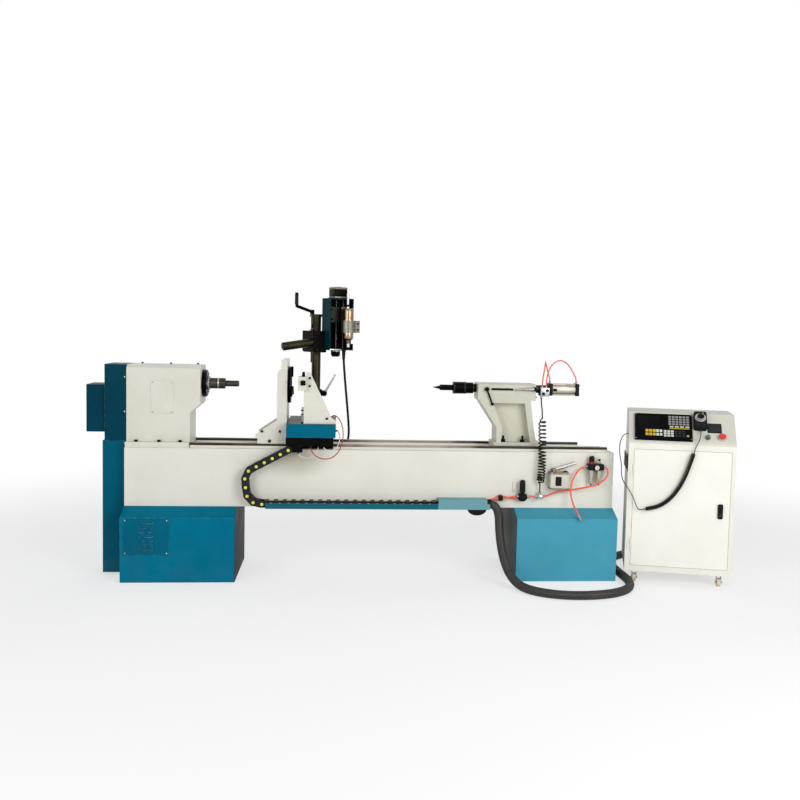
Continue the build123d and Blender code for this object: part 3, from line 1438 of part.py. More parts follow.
# Crank with the lift screw below it and an upright grip
with BuildPart() as lift_crank:
    hub = HEAD.from_local_coords((LIFT_SCREW_X, LIFT_SCREW_Y, COLUMN_TOP + YOKE_T + SLIDE_GAP))
    hub_top = hub + Vector(0, 0, CRANK_HUB_H)
    knee = hub + Vector(-CRANK_REACH, 0, CRANK_HUB_H / 2 + CRANK_RISE)
    rod((hub.X, hub.Y, LIFT_SCREW_LOW), hub, LIFT_SCREW_R)
    rod(hub, hub_top, CRANK_HUB_R)
    rod(hub + Vector(0, 0, CRANK_HUB_H / 2), knee, CRANK_ARM_R)
    rod(
        knee - Vector(0, 0, CRANK_ARM_R),
        knee + Vector(0, 0, CRANK_ARM_R),
        CRANK_ARM_R,
    )
    grip_foot = knee + Vector(0, 0, CRANK_ARM_R)
    rod(grip_foot, grip_foot + Vector(0, 0, GRIP_LENGTH), GRIP_R)
    fillet(lift_crank.edges().group_by(Axis.Z)[-1], radius=GRIP_R / 2)
keep(lift_crank.part, "lift_crank")

# Router slide: an open-fronted housing with guide rods, motor and screw, and the slide that grips the router
with BuildPart(HEAD) as slide_housing:
    slab(HOUSE_X0, HOUSE_X1, HOUSE_Y0, HOUSE_Y1, HOUSE_LOW, HOUSE_TOP)
    slab(
        HOUSE_X0 + HOUSE_WALL,
        HOUSE_X1 - HOUSE_WALL,
        HOUSE_Y0,
        HOUSE_Y1 - HOUSE_WALL,
        HOUSE_LOW + HOUSE_WALL,
        HOUSE_TOP - HOUSE_WALL,
        mode=Mode.SUBTRACT,
    )
    rod_in(
        HEAD,
        (ROUTER_X, ROUTER_Y, HOUSE_LOW),
        (ROUTER_X, ROUTER_Y, HOUSE_LOW + HOUSE_WALL),
        ROUTER_R + ROUTER_ROOM,
        mode=Mode.SUBTRACT,
    )
    slab(
        HOUSE_X1 - HOUSE_WALL,
        HOUSE_X1,
        HOUSE_Y0,
        ROUTER_Y + CLAMP_RING_R + ROUTER_ROOM,
        CLAMP_RING_LOW - FEED_DOWN - ROUTER_ROOM,
        CLAMP_RING_TOP + FEED_UP + ROUTER_ROOM,
        mode=Mode.SUBTRACT,
    )
    rod_in(
        HEAD,
        (HOUSE_MID_X, GUIDE_Y, HOUSE_LOW),
        (HOUSE_MID_X, GUIDE_Y, HOUSE_TOP),
        FEED_SCREW_R + RUN_FIT,
        mode=Mode.SUBTRACT,
    )
    for guide_x in (HOUSE_X0 + GUIDE_INSET, HOUSE_X1 - GUIDE_INSET):
        rod_in(
            HEAD,
            (guide_x, GUIDE_Y, HOUSE_LOW + HOUSE_WALL),
            (guide_x, GUIDE_Y, HOUSE_TOP - HOUSE_WALL),
            GUIDE_R,
        )
keep(slide_housing.part, "slide_housing")

with BuildPart(HEAD) as slide_motor:
    slab(
        HOUSE_MID_X - STEPPER_SIDE / 2,
        HOUSE_MID_X + STEPPER_SIDE / 2,
        HOUSE_MID_Y - STEPPER_SIDE / 2,
        HOUSE_MID_Y + STEPPER_SIDE / 2,
        HOUSE_TOP,
        HOUSE_TOP + STEPPER_H,
    )
    fillet(slide_motor.edges().filter_by(Axis.Z), radius=STEPPER_EDGE)
    rod_in(
        HEAD,
        (HOUSE_MID_X, GUIDE_Y, HOUSE_LOW),
        (HOUSE_MID_X, GUIDE_Y, HOUSE_TOP),
        FEED_SCREW_R,
    )
    rod_in(
        HEAD,
        (HOUSE_MID_X, GUIDE_Y, HOUSE_LOW - END_CAP_H),
        (HOUSE_MID_X, GUIDE_Y, HOUSE_LOW),
        END_CAP_R,
    )
keep(slide_motor.part, "slide_motor")

with BuildPart(HEAD) as router_slide:
    slab(
        HOUSE_X0 + HOUSE_WALL + SLIDE_EDGE,
        HOUSE_X1 - HOUSE_WALL - SLIDE_EDGE,
        GUIDE_Y - SLIDE_T / 2,
        GUIDE_Y + SLIDE_T / 2,
        SLIDE_LOW,
        SLIDE_TOP,
    )
    slab(
        ROUTER_X - CLAMP_ARM_W / 2,
        HOUSE_X1 - HOUSE_WALL - SLIDE_EDGE,
        ROUTER_Y,
        GUIDE_Y - SLIDE_T / 2,
        CLAMP_RING_LOW,
        CLAMP_RING_TOP,
    )
    slab(
        ROUTER_X - CLAMP_ARM_W / 2,
        HOUSE_X1 - HOUSE_WALL - SLIDE_EDGE,
        GUIDE_Y - SLIDE_T / 2 - SLIDE_EDGE,
        GUIDE_Y - SLIDE_T / 2,
        CLAMP_RING_LOW,
        SLIDE_TOP,
    )
    rod_in(HEAD, (ROUTER_X, ROUTER_Y, CLAMP_RING_LOW), (ROUTER_X, ROUTER_Y, CLAMP_RING_TOP), CLAMP_RING_R)
    slab(
        ROUTER_X + ROUTER_R,
        ROUTER_X + CLAMP_RING_R + CLAMP_EAR_W,
        ROUTER_Y - CLAMP_EAR_D,
        ROUTER_Y - SLIDE_GAP,
        CLAMP_RING_LOW,
        CLAMP_RING_TOP,
    )
    rod_in(
        HEAD,
        (ROUTER_X, ROUTER_Y, CLAMP_RING_LOW),
        (ROUTER_X, ROUTER_Y, CLAMP_RING_TOP),
        ROUTER_R + RUN_FIT,
        mode=Mode.SUBTRACT,
    )
    for bore_x, bore in (
        (HOUSE_X0 + GUIDE_INSET, GUIDE_R + RUN_FIT),
        (HOUSE_X1 - GUIDE_INSET, GUIDE_R + RUN_FIT),
        (HOUSE_MID_X, FEED_SCREW_R + THREAD_GAP),
    ):
        rod_in(HEAD, (bore_x, GUIDE_Y, SLIDE_LOW), (bore_x, GUIDE_Y, SLIDE_TOP), bore, mode=Mode.SUBTRACT)
keep(router_slide.part, "router_slide")

with BuildPart() as router_motor:
    rod_in(HEAD, (ROUTER_X, ROUTER_Y, ROUTER_LOW), (ROUTER_X, ROUTER_Y, ROUTER_TOP), ROUTER_R)
    chamfer(router_motor.edges().filter_by(GeomType.CIRCLE), length=TIP_CHAMFER)
    rod_in(
        HEAD,
        (ROUTER_X, ROUTER_Y, ROUTER_LOW - ROUTER_NOSE_H),
        (ROUTER_X, ROUTER_Y, ROUTER_LOW),
        ROUTER_NOSE_R,
    )
    nose_low = ROUTER_LOW - ROUTER_NOSE_H
    rod_in(
        HEAD,
        (ROUTER_X, ROUTER_Y, nose_low),
        (ROUTER_X, ROUTER_Y, nose_low + COLLET_SHAFT_IN),
        COLLET_SHAFT_R + RUN_FIT,
        mode=Mode.SUBTRACT,
    )
keep(router_motor.part, "router_motor")

with BuildPart() as router_collet:
    collet_top = ROUTER_LOW - ROUTER_NOSE_H - SLIDE_GAP
    collet_low = collet_top - COLLET_H
    rod_in(HEAD, (ROUTER_X, ROUTER_Y, collet_low), (ROUTER_X, ROUTER_Y, collet_top), COLLET_R)
    chamfer(router_collet.edges().group_by(Axis.Z)[0], length=TIP_CHAMFER)
    rod_in(
        HEAD,
        (ROUTER_X, ROUTER_Y, collet_top),
        (ROUTER_X, ROUTER_Y, collet_top + COLLET_SHAFT_IN),
        COLLET_SHAFT_R,
    )
    rod_in(
        HEAD,
        (ROUTER_X, ROUTER_Y, collet_low),
        (ROUTER_X, ROUTER_Y, collet_low + SHANK_DEPTH),
        SHANK_R,
        mode=Mode.SUBTRACT,
    )
keep(router_collet.part, "router_collet")

# Tailstock: a barrel on two leaning ribs over a base, webbed in the middle
with BuildPart() as tailstock:
    outline = [
        (TAIL_X0, TAIL_TOP),
        (TAIL_X1, TAIL_TOP),
        (TAIL_X1, TAIL_BARREL_LOW),
        (TAIL_RIGHT_TOP_X, TAIL_BARREL_LOW),
        (TAIL_RIGHT_WAIST_X, TAIL_WAIST_Z),
        (TAIL_BASE_X1 - TAIL_RIB, TAIL_BASE_TOP),
        (TAIL_BASE_X0 + TAIL_RIB / 2, TAIL_BASE_TOP),
        (TAIL_LEFT_WAIST_X, TAIL_WAIST_Z),
        (TAIL_X0 + TAIL_RIB / 4, TAIL_BARREL_LOW),
        (TAIL_X0, TAIL_BARREL_LOW),
    ]
    plate_xz(outline, -TAIL_Y, TAIL_Y)
    fillet(tailstock.edges().filter_by(Axis.X).group_by(Axis.Z)[-1], radius=TAIL_EDGE)
    slab(TAIL_BASE_X0, TAIL_BASE_X1, -TAIL_BASE_Y, TAIL_BASE_Y, BED_TOP + SLIDE_GAP, TAIL_BASE_TOP)
    pocket = [
        (TAIL_X0 + 2.6 * TAIL_RIB, TAIL_BARREL_LOW - TAIL_RIB / 2),
        (TAIL_RIGHT_TOP_X - TAIL_RIB, TAIL_BARREL_LOW - TAIL_RIB / 2),
        (TAIL_RIGHT_WAIST_X - TAIL_RIB, TAIL_WAIST_Z),
        (TAIL_BASE_X1 - 2 * TAIL_RIB, TAIL_BASE_TOP),
        (TAIL_BASE_X0 + 1.3 * TAIL_RIB, TAIL_BASE_TOP),
        (TAIL_LEFT_WAIST_X + TAIL_RIB, TAIL_WAIST_Z),
    ]
    for y0, y1 in ((-TAIL_Y, -TAIL_WEB / 2), (TAIL_WEB / 2, TAIL_Y)):
        plate_xz(pocket, y0, y1, mode=Mode.SUBTRACT)
    rod((TAIL_X0, 0, SPINDLE_Z), (TAIL_X1, 0, SPINDLE_Z), QUILL_R + RUN_FIT, mode=Mode.SUBTRACT)
    slab(
        TAIL_SLOT_X0,
        TAIL_SLOT_X1,
        -TAIL_Y,
        -TAIL_Y + TAIL_SLOT_D,
        SPINDLE_Z - TAIL_SLOT_H / 2,
        SPINDLE_Z + TAIL_SLOT_H / 2,
        mode=Mode.SUBTRACT,
    )
    for bolt_x in (TAIL_BOLT_X0, TAIL_BOLT_X1):
        for bolt_y in (-SLOT_Y, SLOT_Y):
            rod(
                (bolt_x, bolt_y, BED_TOP),
                (bolt_x, bolt_y, TAIL_BASE_TOP),
                TAIL_BOLT_R + SLIDE_GAP,
                mode=Mode.SUBTRACT,
            )
keep(tailstock.part, "tailstock")

with BuildPart() as tailstock_clamp:
    under = BED_TOP - BED_WALL - SLIDE_GAP
    for bolt_y in (-SLOT_Y, SLOT_Y):
        slab(
            TAIL_BOLT_X0 - CLAMP_PLATE_OVER,
            TAIL_BOLT_X1 + CLAMP_PLATE_OVER,
            bolt_y - CLAMP_PLATE_W / 2,
            bolt_y + CLAMP_PLATE_W / 2,
            under - CLAMP_PLATE_T,
            under,
        )
        for bolt_x in (TAIL_BOLT_X0, TAIL_BOLT_X1):
            rod((bolt_x, bolt_y, under), (bolt_x, bolt_y, TAIL_BASE_TOP), TAIL_BOLT_R)
            with BuildSketch(Plane.XY.offset(TAIL_BASE_TOP)):
                with Locations((bolt_x, bolt_y)):
                    RegularPolygon(TAIL_NUT_R, 6)
            extrude(amount=TAIL_NUT_H)
keep(tailstock_clamp.part, "tailstock_clamp")

with BuildPart() as quill:
    rod((QUILL_X0, 0, SPINDLE_Z), (QUILL_X1, 0, SPINDLE_Z), QUILL_R)
    rod((SLEEVE_X0, 0, SPINDLE_Z), (QUILL_X0, 0, SPINDLE_Z), SLEEVE_R)
    rod((QUILL_X1, 0, SPINDLE_Z), (PISTON_X + PISTON_T, 0, SPINDLE_Z), ROD_R)
    rod((PISTON_X, 0, SPINDLE_Z), (PISTON_X + PISTON_T, 0, SPINDLE_Z), PISTON_R)
    rod(
        (SLEEVE_X0, 0, SPINDLE_Z),
        (SLEEVE_X0 + CENTRE_SHANK_LENGTH, 0, SPINDLE_Z),
        CENTRE_SHANK_R + RUN_FIT,
        mode=Mode.SUBTRACT,
    )
keep(quill.part, "quill")

with BuildPart() as live_centre:
    body_x1 = SLEEVE_X0 - SLIDE_GAP
    body_x0 = body_x1 - CENTRE_BODY_LENGTH
    neck_x0 = body_x0 - CENTRE_NECK_LENGTH
    tip_x0 = neck_x0 - CENTRE_TIP_LENGTH
    with BuildSketch(Plane.XZ):
        with BuildLine():
            Polyline(
                (body_x1 + CENTRE_SHANK_LENGTH - SLIDE_GAP, SPINDLE_Z),
                (body_x1 + CENTRE_SHANK_LENGTH - SLIDE_GAP, SPINDLE_Z + CENTRE_SHANK_R),
                (body_x1, SPINDLE_Z + CENTRE_SHANK_R),
                (body_x1, SPINDLE_Z + CENTRE_BODY_R),
                (body_x0, SPINDLE_Z + CENTRE_BODY_R),
                (body_x0, SPINDLE_Z + CENTRE_NECK_R),
                (neck_x0, SPINDLE_Z + CENTRE_NECK_R),
                (neck_x0, SPINDLE_Z + CENTRE_TIP_R),
                (tip_x0, SPINDLE_Z + CENTRE_POINT_R),
                (tip_x0, SPINDLE_Z),
                close=True,
            )
        make_face()
    revolve(axis=Axis((0, 0, SPINDLE_Z), (1, 0, 0)))
keep(live_centre.part, "live_centre")

with BuildPart() as quill_lever:
    hub_y = -TAIL_Y - SLIDE_GAP
    arm_y = hub_y - QUILL_LEVER_HUB_T / 2
    rod(
        (QUILL_LEVER_X, hub_y, SPINDLE_Z),
        (QUILL_LEVER_X, hub_y - QUILL_LEVER_HUB_T, SPINDLE_Z),
        QUILL_LEVER_HUB_R,
    )
    arm_end = (QUILL_LEVER_X + QUILL_LEVER_RUN_X, arm_y, SPINDLE_Z - QUILL_LEVER_DROP)
    rod((QUILL_LEVER_X, arm_y, SPINDLE_Z), arm_end, QUILL_LEVER_R)
    with Locations(arm_end):
        Sphere(QUILL_KNOB_R)
keep(quill_lever.part, "quill_lever")

# Air cylinder on the tailstock's end, with its hand valve
with BuildPart() as air_cylinder:
    rod((TAIL_X1, 0, SPINDLE_Z), (CYLINDER_X0, 0, SPINDLE_Z), NECK_R)
    rod((CYLINDER_X0, 0, SPINDLE_Z), (CYLINDER_X1, 0, SPINDLE_Z), CYLINDER_R)
    for cap_x in (CYLINDER_X0, CYLINDER_X1 - CYLINDER_CAP):
        half = CYLINDER_CAP_SIDE / 2
        slab(cap_x, cap_x + CYLINDER_CAP, -half, half, SPINDLE_Z - half, SPINDLE_Z + half)
    slab(VALVE_X0, VALVE_X1, VALVE_Y0, 0, VALVE_Z0, VALVE_Z1)
    rod(
        (TAIL_X1, 0, SPINDLE_Z),
        (CYLINDER_X0 + CYLINDER_CAP, 0, SPINDLE_Z),
        ROD_R + THREAD_GAP,
        mode=Mode.SUBTRACT,
    )
    rod(
        (CYLINDER_X0 + CYLINDER_CAP, 0, SPINDLE_Z),
        (CYLINDER_X1 - CYLINDER_CAP / 2, 0, SPINDLE_Z),
        CYLINDER_BORE_R,
        mode=Mode.SUBTRACT,
    )
keep(air_cylinder.part, "air_cylinder")

# Cable chain: links laid along the tray, round the bend and up to the saddle
with BuildPart() as chain_tray:
    slab(TRAY_X0, TRAY_X1, TRAY_Y0, BED_FRONT, TRAY_Z0, TRAY_Z0 + TRAY_H)
    slab(
        TRAY_X0,
        TRAY_X1,
        TRAY_Y0 + TRAY_WALL,
        BED_FRONT - TRAY_WALL,
        TRAY_FLOOR,
        TRAY_Z0 + TRAY_H,
        mode=Mode.SUBTRACT,
    )
    slab(TRAY_COVER_X0, TRAY_COVER_X1, TRAY_Y0, BED_FRONT, TRAY_Z0 + TRAY_H, TRAY_COVER_TOP)
    slab(
        TRAY_COVER_X0,
        TRAY_COVER_X1 - TRAY_WALL,
        TRAY_Y0 + TRAY_WALL,
        BED_FRONT - TRAY_WALL,
        TRAY_FLOOR,
        TRAY_COVER_TOP - TRAY_WALL,
        mode=Mode.SUBTRACT,
    )
    slab(TRAY_COVER_X1 - TRAY_WALL, TRAY_COVER_X1, TRAY_Y0, BED_FRONT, TRAY_FLOOR, TRAY_COVER_TOP)
keep(chain_tray.part, "chain_tray")


def chain_cheek(side, end, y_outer):
    """Half of a link's cheek: round about the joint at one end, and across the middle at the other."""
    joint = end * LINK / 2
    back = -end * CHAIN_BRIDGE / 2
    y1 = max(side * y_outer, side * (y_outer - CHAIN_PLATE))
    with BuildSketch(Plane.XZ.offset(-y1)) as cheek:
        with Locations((joint, 0)):
            Circle(CHAIN_H / 2)
        with Locations(((joint + back) / 2, 0)):
            Rectangle(abs(joint - back), CHAIN_H)
    extrude(cheek.sketch, amount=CHAIN_PLATE)


with BuildPart() as chain_link:
    for side in (-1, 1):
        chain_cheek(side, -1, CHAIN_W / 2)
        chain_cheek(side, 1, CHAIN_INNER)
        reach = sorted((side * CHAIN_W / 2, side * (CHAIN_INNER - CHAIN_PLATE)))
        slab(-CHAIN_BRIDGE / 2, CHAIN_BRIDGE / 2, *reach, -CHAIN_H / 2, CHAIN_H / 2)
        bar = sorted((side * CHAIN_H / 2, side * (CHAIN_H / 2 - CHAIN_BAND)))
        slab(-CHAIN_BRIDGE / 2, CHAIN_BRIDGE / 2, -CHAIN_INNER, CHAIN_INNER, *bar)


def chain_place(along):
    """Where the chain's middle line is at a length from its fixed end, run by run."""
    x, z, way = CHAIN_FIXED_X, CHAIN_Z, 0.0
    for length, turn in CHAIN_RUNS:
        part = min(max(along, 0.0), length)
        along -= length
        if turn:
            bend_r = length / turn
            swept = way + part / bend_r
            x -= bend_r * (math.sin(swept) - math.sin(way))
            z += bend_r * (math.cos(way) - math.cos(swept))
            way = swept
        else:
            x -= part * math.cos(way)
            z += part * math.sin(way)
    return (x, z)


def chain_location(k):
    """A link spans two joints on the chain's middle line, a pitch apart."""
    x0, z0 = chain_place(k * LINK)
    x1, z1 = chain_place((k + 1) * LINK)
    pitch_angle = math.degrees(math.atan2(z1 - z0, x1 - x0))
    return Location(((x0 + x1) / 2, CHAIN_Y, (z0 + z1) / 2), (0, -pitch_angle, 0))


with BuildPart() as cable_chain:
    with Locations(*[chain_location(k) for k in range(CHAIN_COUNT)]):
        add(chain_link.part)
keep(cable_chain.part, "cable_chain")

# Air units on the bed's front face
with BuildPart() as air_regulator:
    slab(REG_X - REG_W / 2, REG_X + REG_W / 2, BED_FRONT - REG_D, BED_FRONT, REG_LOW, REG_TOP)
    reg_y = BED_FRONT - REG_D / 2
    rod((REG_X, reg_y, REG_TOP), (REG_X, reg_y, REG_KNOB_LOW), REG_NECK_R)
    rod((REG_X, reg_y, REG_KNOB_LOW), (REG_X, reg_y, REG_KNOB_TOP), REG_KNOB_R)
    fillet(air_regulator.edges().group_by(Axis.Z)[-1], radius=REG_KNOB_EDGE)
    slab(
        TEE_X - TEE_SIDE / 2,
        TEE_X + TEE_SIDE / 2,
        BED_FRONT - TEE_D,
        BED_FRONT,
        TEE_LOW,
        TEE_TOP,
    )
keep(air_regulator.part, "air_regulator")

with BuildPart() as filter_unit:
    filter_y = BED_FRONT - FILTER_D / 2
    slab(FILTER_X0, FILTER_X1, BED_FRONT - FILTER_D, BED_FRONT, FILTER_LOW, FILTER_TOP)
    for bowl_x in (FILTER_X0 + BOWL_INSET, FILTER_X1 - BOWL_INSET):
        rod((bowl_x, filter_y, BOWL_LOW), (bowl_x, filter_y, FILTER_LOW), BOWL_R)
    fillet(filter_unit.edges().group_by(Axis.Z)[0], radius=BOWL_EDGE)
    rod(
        (FILTER_X0 + BOWL_INSET, filter_y, FILTER_TOP),
        (FILTER_X0 + BOWL_INSET, filter_y, FILTER_TOP + FILTER_KNOB_H),
        FILTER_KNOB_R,
    )
    rod(
        (FILTER_X1 - BOWL_INSET, filter_y, FILTER_TOP),
        (FILTER_X1 - BOWL_INSET, filter_y, FILTER_TOP + OILER_KNOB_H),
        OILER_KNOB_R,
    )
    gauge_x = (FILTER_X0 + FILTER_X1) / 2
    gauge_z = (FILTER_LOW + FILTER_TOP) / 2
    rod(
        (gauge_x, BED_FRONT - FILTER_D - GAUGE_T, gauge_z),
        (gauge_x, BED_FRONT - FILTER_D, gauge_z),
        GAUGE_R,
    )
keep(filter_unit.part, "filter_unit")

# Hand oil pump: a reservoir with two ears that carry the lever's pin
with BuildPart() as oil_pump:
    slab(PUMP_X0, PUMP_X1, BED_FRONT - PUMP_D, BED_FRONT, PUMP_LOW, PUMP_TOP)
    fillet(oil_pump.edges().filter_by(Axis.Z), radius=PUMP_EDGE)
    pump_y = BED_FRONT - PUMP_D / 2
    for side in (-1, 1):
        inner = pump_y + side * PUMP_EAR_GAP / 2
        outer = inner + side * PUMP_EAR_T
        slab(
            PUMP_PIN_X - PUMP_EAR_R,
            PUMP_PIN_X + PUMP_EAR_R,
            min(inner, outer),
            max(inner, outer),
            PUMP_TOP,
            PUMP_PIN_Z,
        )
        rod((PUMP_PIN_X, inner, PUMP_PIN_Z), (PUMP_PIN_X, outer, PUMP_PIN_Z), PUMP_EAR_R)
    pin_half = PUMP_EAR_GAP / 2 + PUMP_EAR_T
    rod((PUMP_PIN_X, pump_y - pin_half, PUMP_PIN_Z), (PUMP_PIN_X, pump_y + pin_half, PUMP_PIN_Z), PUMP_PIN_R)
keep(oil_pump.part, "oil_pump")

with BuildPart() as oil_pump_lever:
    eye_half = PUMP_EAR_GAP / 2 - SLIDE_GAP
    pump_y = BED_FRONT - PUMP_D / 2
    rod(
        (PUMP_PIN_X, pump_y, PUMP_PIN_Z),
        (PUMP_PIN_X + PUMP_LEVER_RUN, pump_y, PUMP_PIN_Z + PUMP_LEVER_RISE),
        PUMP_LEVER_R,
    )
    rod((PUMP_PIN_X, pump_y - eye_half, PUMP_PIN_Z), (PUMP_PIN_X, pump_y + eye_half, PUMP_PIN_Z), PUMP_EYE_R)
    rod(
        (PUMP_PIN_X, pump_y - eye_half, PUMP_PIN_Z),
        (PUMP_PIN_X, pump_y + eye_half, PUMP_PIN_Z),
        PUMP_PIN_R + RUN_FIT,
        mode=Mode.SUBTRACT,
    )
keep(oil_pump_lever.part, "oil_pump_lever")


# Control cabinet: a folded sheet shell with a sloped desk, a drive plate inside and a framed front opening
def cabinet_outline(inset):
    ease = inset * math.tan(math.radians(22.5))
    return [
        (inset, CAB_LOW + inset),
        (inset, CAB_FRONT_TOP - ease),
        (CAB_DESK + ease, CAB_DEEP_TOP - inset),
        (CAB_D - inset, CAB_DEEP_TOP - inset),
        (CAB_D - inset, CAB_LOW + inset),
    ]


with BuildPart(CAB) as cabinet_shell:
    plate_yz(cabinet_outline(0), CAB_SIDE, CAB_W)
    plate_yz(
        cabinet_outline(CAB_SHEET),
        CAB_SIDE.offset(CAB_SHEET),
        CAB_W - 2 * CAB_SHEET,
        mode=Mode.SUBTRACT,
    )
    slab(
        DOOR_X0 - DOOR_CLEAR,
        DOOR_X1 + DOOR_CLEAR,
        0,
        CAB_SHEET,
        DOOR_Z0 - DOOR_CLEAR,
        DOOR_Z1 + DOOR_CLEAR,
        mode=Mode.SUBTRACT,
    )
    for hinge_z in HINGE_ZS:
        slab(HINGE_X - HINGE_LEAF, HINGE_X, -CAB_SHEET, 0, hinge_z, hinge_z + HINGE_LENGTH)
        rod_in(CAB, (HINGE_X, -HINGE_R, hinge_z), (HINGE_X, -HINGE_R, hinge_z + HINGE_LENGTH), HINGE_R)
        rod_in(
            CAB,
            (HINGE_X, -HINGE_R, hinge_z + HINGE_LENGTH),
            (HINGE_X, -HINGE_R, hinge_z + 2 * HINGE_LENGTH),
            HINGE_PIN_R,
        )
    plate_back = CAB_D - CAB_SHEET
    slab(
        DRIVE_PLATE_INSET,
        CAB_W - DRIVE_PLATE_INSET,
        plate_back - DRIVE_PLATE_T,
        plate_back,
        CAB_LOW + DRIVE_PLATE_INSET,
        CAB_FRONT_TOP - DRIVE_PLATE_INSET,
    )
    for column_share in (0.25, 0.5, 0.75):
        for row_share in (0.3, 0.68):
            middle_x = CAB_W * column_share
            middle_z = CAB_LOW + (CAB_FRONT_TOP - CAB_LOW) * row_share
            slab(
                middle_x - DRIVE_W / 2,
                middle_x + DRIVE_W / 2,
                plate_back - DRIVE_PLATE_T - DRIVE_D,
                plate_back - DRIVE_PLATE_T,
                middle_z - DRIVE_H / 2,
                middle_z + DRIVE_H / 2,
            )
keep(cabinet_shell.part, "cabinet_shell")

with BuildPart(CAB) as cabinet_door:
    slab(DOOR_X0, DOOR_X1, 0, DOOR_T, DOOR_Z0, DOOR_Z1)
    slab(
        DOOR_X0 + DOOR_SHEET,
        DOOR_X1 - DOOR_SHEET,
        DOOR_SHEET,
        DOOR_T,
        DOOR_Z0 + DOOR_SHEET,
        DOOR_Z1 - DOOR_SHEET,
        mode=Mode.SUBTRACT,
    )
    slab(
        LATCH_X - LATCH_W / 2,
        LATCH_X + LATCH_W / 2,
        -LATCH_T,
        0,
        LATCH_Z - LATCH_H / 2,
        LATCH_Z + LATCH_H / 2,
    )
    for hinge_z in HINGE_ZS:
        low = hinge_z + HINGE_LENGTH + SLIDE_GAP
        high = hinge_z + 2 * HINGE_LENGTH
        slab(HINGE_X, HINGE_X + HINGE_LEAF, -CAB_SHEET, 0, low, high)
        rod_in(CAB, (HINGE_X, -HINGE_R, low), (HINGE_X, -HINGE_R, high), HINGE_R)
        rod_in(
            CAB,
            (HINGE_X, -HINGE_R, low),
            (HINGE_X, -HINGE_R, high),
            HINGE_PIN_R + RUN_FIT,
            mode=Mode.SUBTRACT,
        )
keep(cabinet_door.part, "cabinet_door")

# Desk: controller panel with its screen recess, button collars, hand pendant
with BuildPart(DESK) as controller:
    slab(PANEL_X0, PANEL_X1, PANEL_S0, PANEL_S1, 0, PANEL_T)
    slab(
        PANEL_X0 + PANEL_T,
        PANEL_X0 + PANEL_T + SCREEN_W,
        PANEL_S1 - PANEL_T - SCREEN_H,
        PANEL_S1 - PANEL_T,
        PANEL_T - SCREEN_DEPTH,
        PANEL_T,
        mode=Mode.SUBTRACT,
    )
    for button_x, button_r in ((STOP_X, STOP_R), (START_X, START_R)):
        rod_in(DESK, (button_x, BUTTON_S, 0), (button_x, BUTTON_S, COLLAR_H), button_r + COLLAR_LIP)
        rod_in(
            DESK,
            (button_x, BUTTON_S, 0),
            (button_x, BUTTON_S, COLLAR_H),
            STEM_R + SLIDE_GAP,
            mode=Mode.SUBTRACT,
        )
keep(controller.part, "controller")


def push_button(x, radius, cap, travel):
    """A cap that stands its travel above the collar, on a stem that runs in it."""
    low = COLLAR_H + travel + SLIDE_GAP
    rod_in(DESK, (x, BUTTON_S, travel + SLIDE_GAP), (x, BUTTON_S, low), STEM_R)
    rod_in(DESK, (x, BUTTON_S, low), (x, BUTTON_S, low + cap), radius)


with BuildPart() as stop_button:
    push_button(STOP_X, STOP_R, STOP_CAP, STOP_TRAVEL)
keep(stop_button.part, "stop_button")

with BuildPart() as start_button:
    push_button(START_X, START_R, START_CAP, START_TRAVEL)
keep(start_button.part, "start_button")

with BuildPart(DESK) as pendant:
    slab(
        PENDANT_X - PENDANT_W / 2,
        PENDANT_X + PENDANT_W / 2,
        PENDANT_S - PENDANT_L / 2,
        PENDANT_S + PENDANT_L / 2,
        0,
        PENDANT_T,
    )
    fillet(pendant.edges().group_by(Axis(DESK.origin, DESK.z_dir))[-1], radius=PENDANT_EDGE)
    rod_in(
        DESK,
        (PENDANT_X, PENDANT_S + DIAL_UP, PENDANT_T - DIAL_STEM - SLIDE_GAP),
        (PENDANT_X, PENDANT_S + DIAL_UP, PENDANT_T),
        DIAL_STEM_R + RUN_FIT,
        mode=Mode.SUBTRACT,
    )
keep(pendant.part, "pendant")

with BuildPart() as pendant_dial:
    dial_low = PENDANT_T + SLIDE_GAP
    spot = (PENDANT_X, PENDANT_S + DIAL_UP)
    rod_in(DESK, (*spot, dial_low), (*spot, dial_low + DIAL_T), DIAL_R)
    rod_in(DESK, (*spot, dial_low - DIAL_STEM), (*spot, dial_low), DIAL_STEM_R)
keep(pendant_dial.part, "pendant_dial")

# Casters: fixed forks under the cabinet, and two pairs of wheels on their axles
CASTER_XS = (CASTER_INSET_X, CAB_W - CASTER_INSET_X)
CASTER_YS = (CASTER_INSET_Y, CAB_D - CASTER_INSET_Y)
cheek_in = WHEEL_W / 2 + SLIDE_GAP
cheek_out = cheek_in + CASTER_CHEEK

with BuildPart(CAB) as caster_forks:
    for x in CASTER_XS:
        for y in CASTER_YS:
            slab(
                x - CASTER_PLATE / 2,
                x + CASTER_PLATE / 2,
                y - CASTER_PLATE / 2,
                y + CASTER_PLATE / 2,
                CAB_LOW - CASTER_PLATE_T,
                CAB_LOW,
            )
            for side in (-1, 1):
                edges = sorted((x + side * cheek_in, x + side * cheek_out))
                slab(
                    *edges,
                    y - CASTER_CHEEK_W / 2,
                    y + CASTER_CHEEK_W / 2,
                    CASTER_CHEEK_LOW,
                    CAB_LOW - CASTER_PLATE_T,
                )
            rod_in(CAB, (x - cheek_out, y, WHEEL_R), (x + cheek_out, y, WHEEL_R), AXLE_R)
keep(caster_forks.part, "caster_forks")


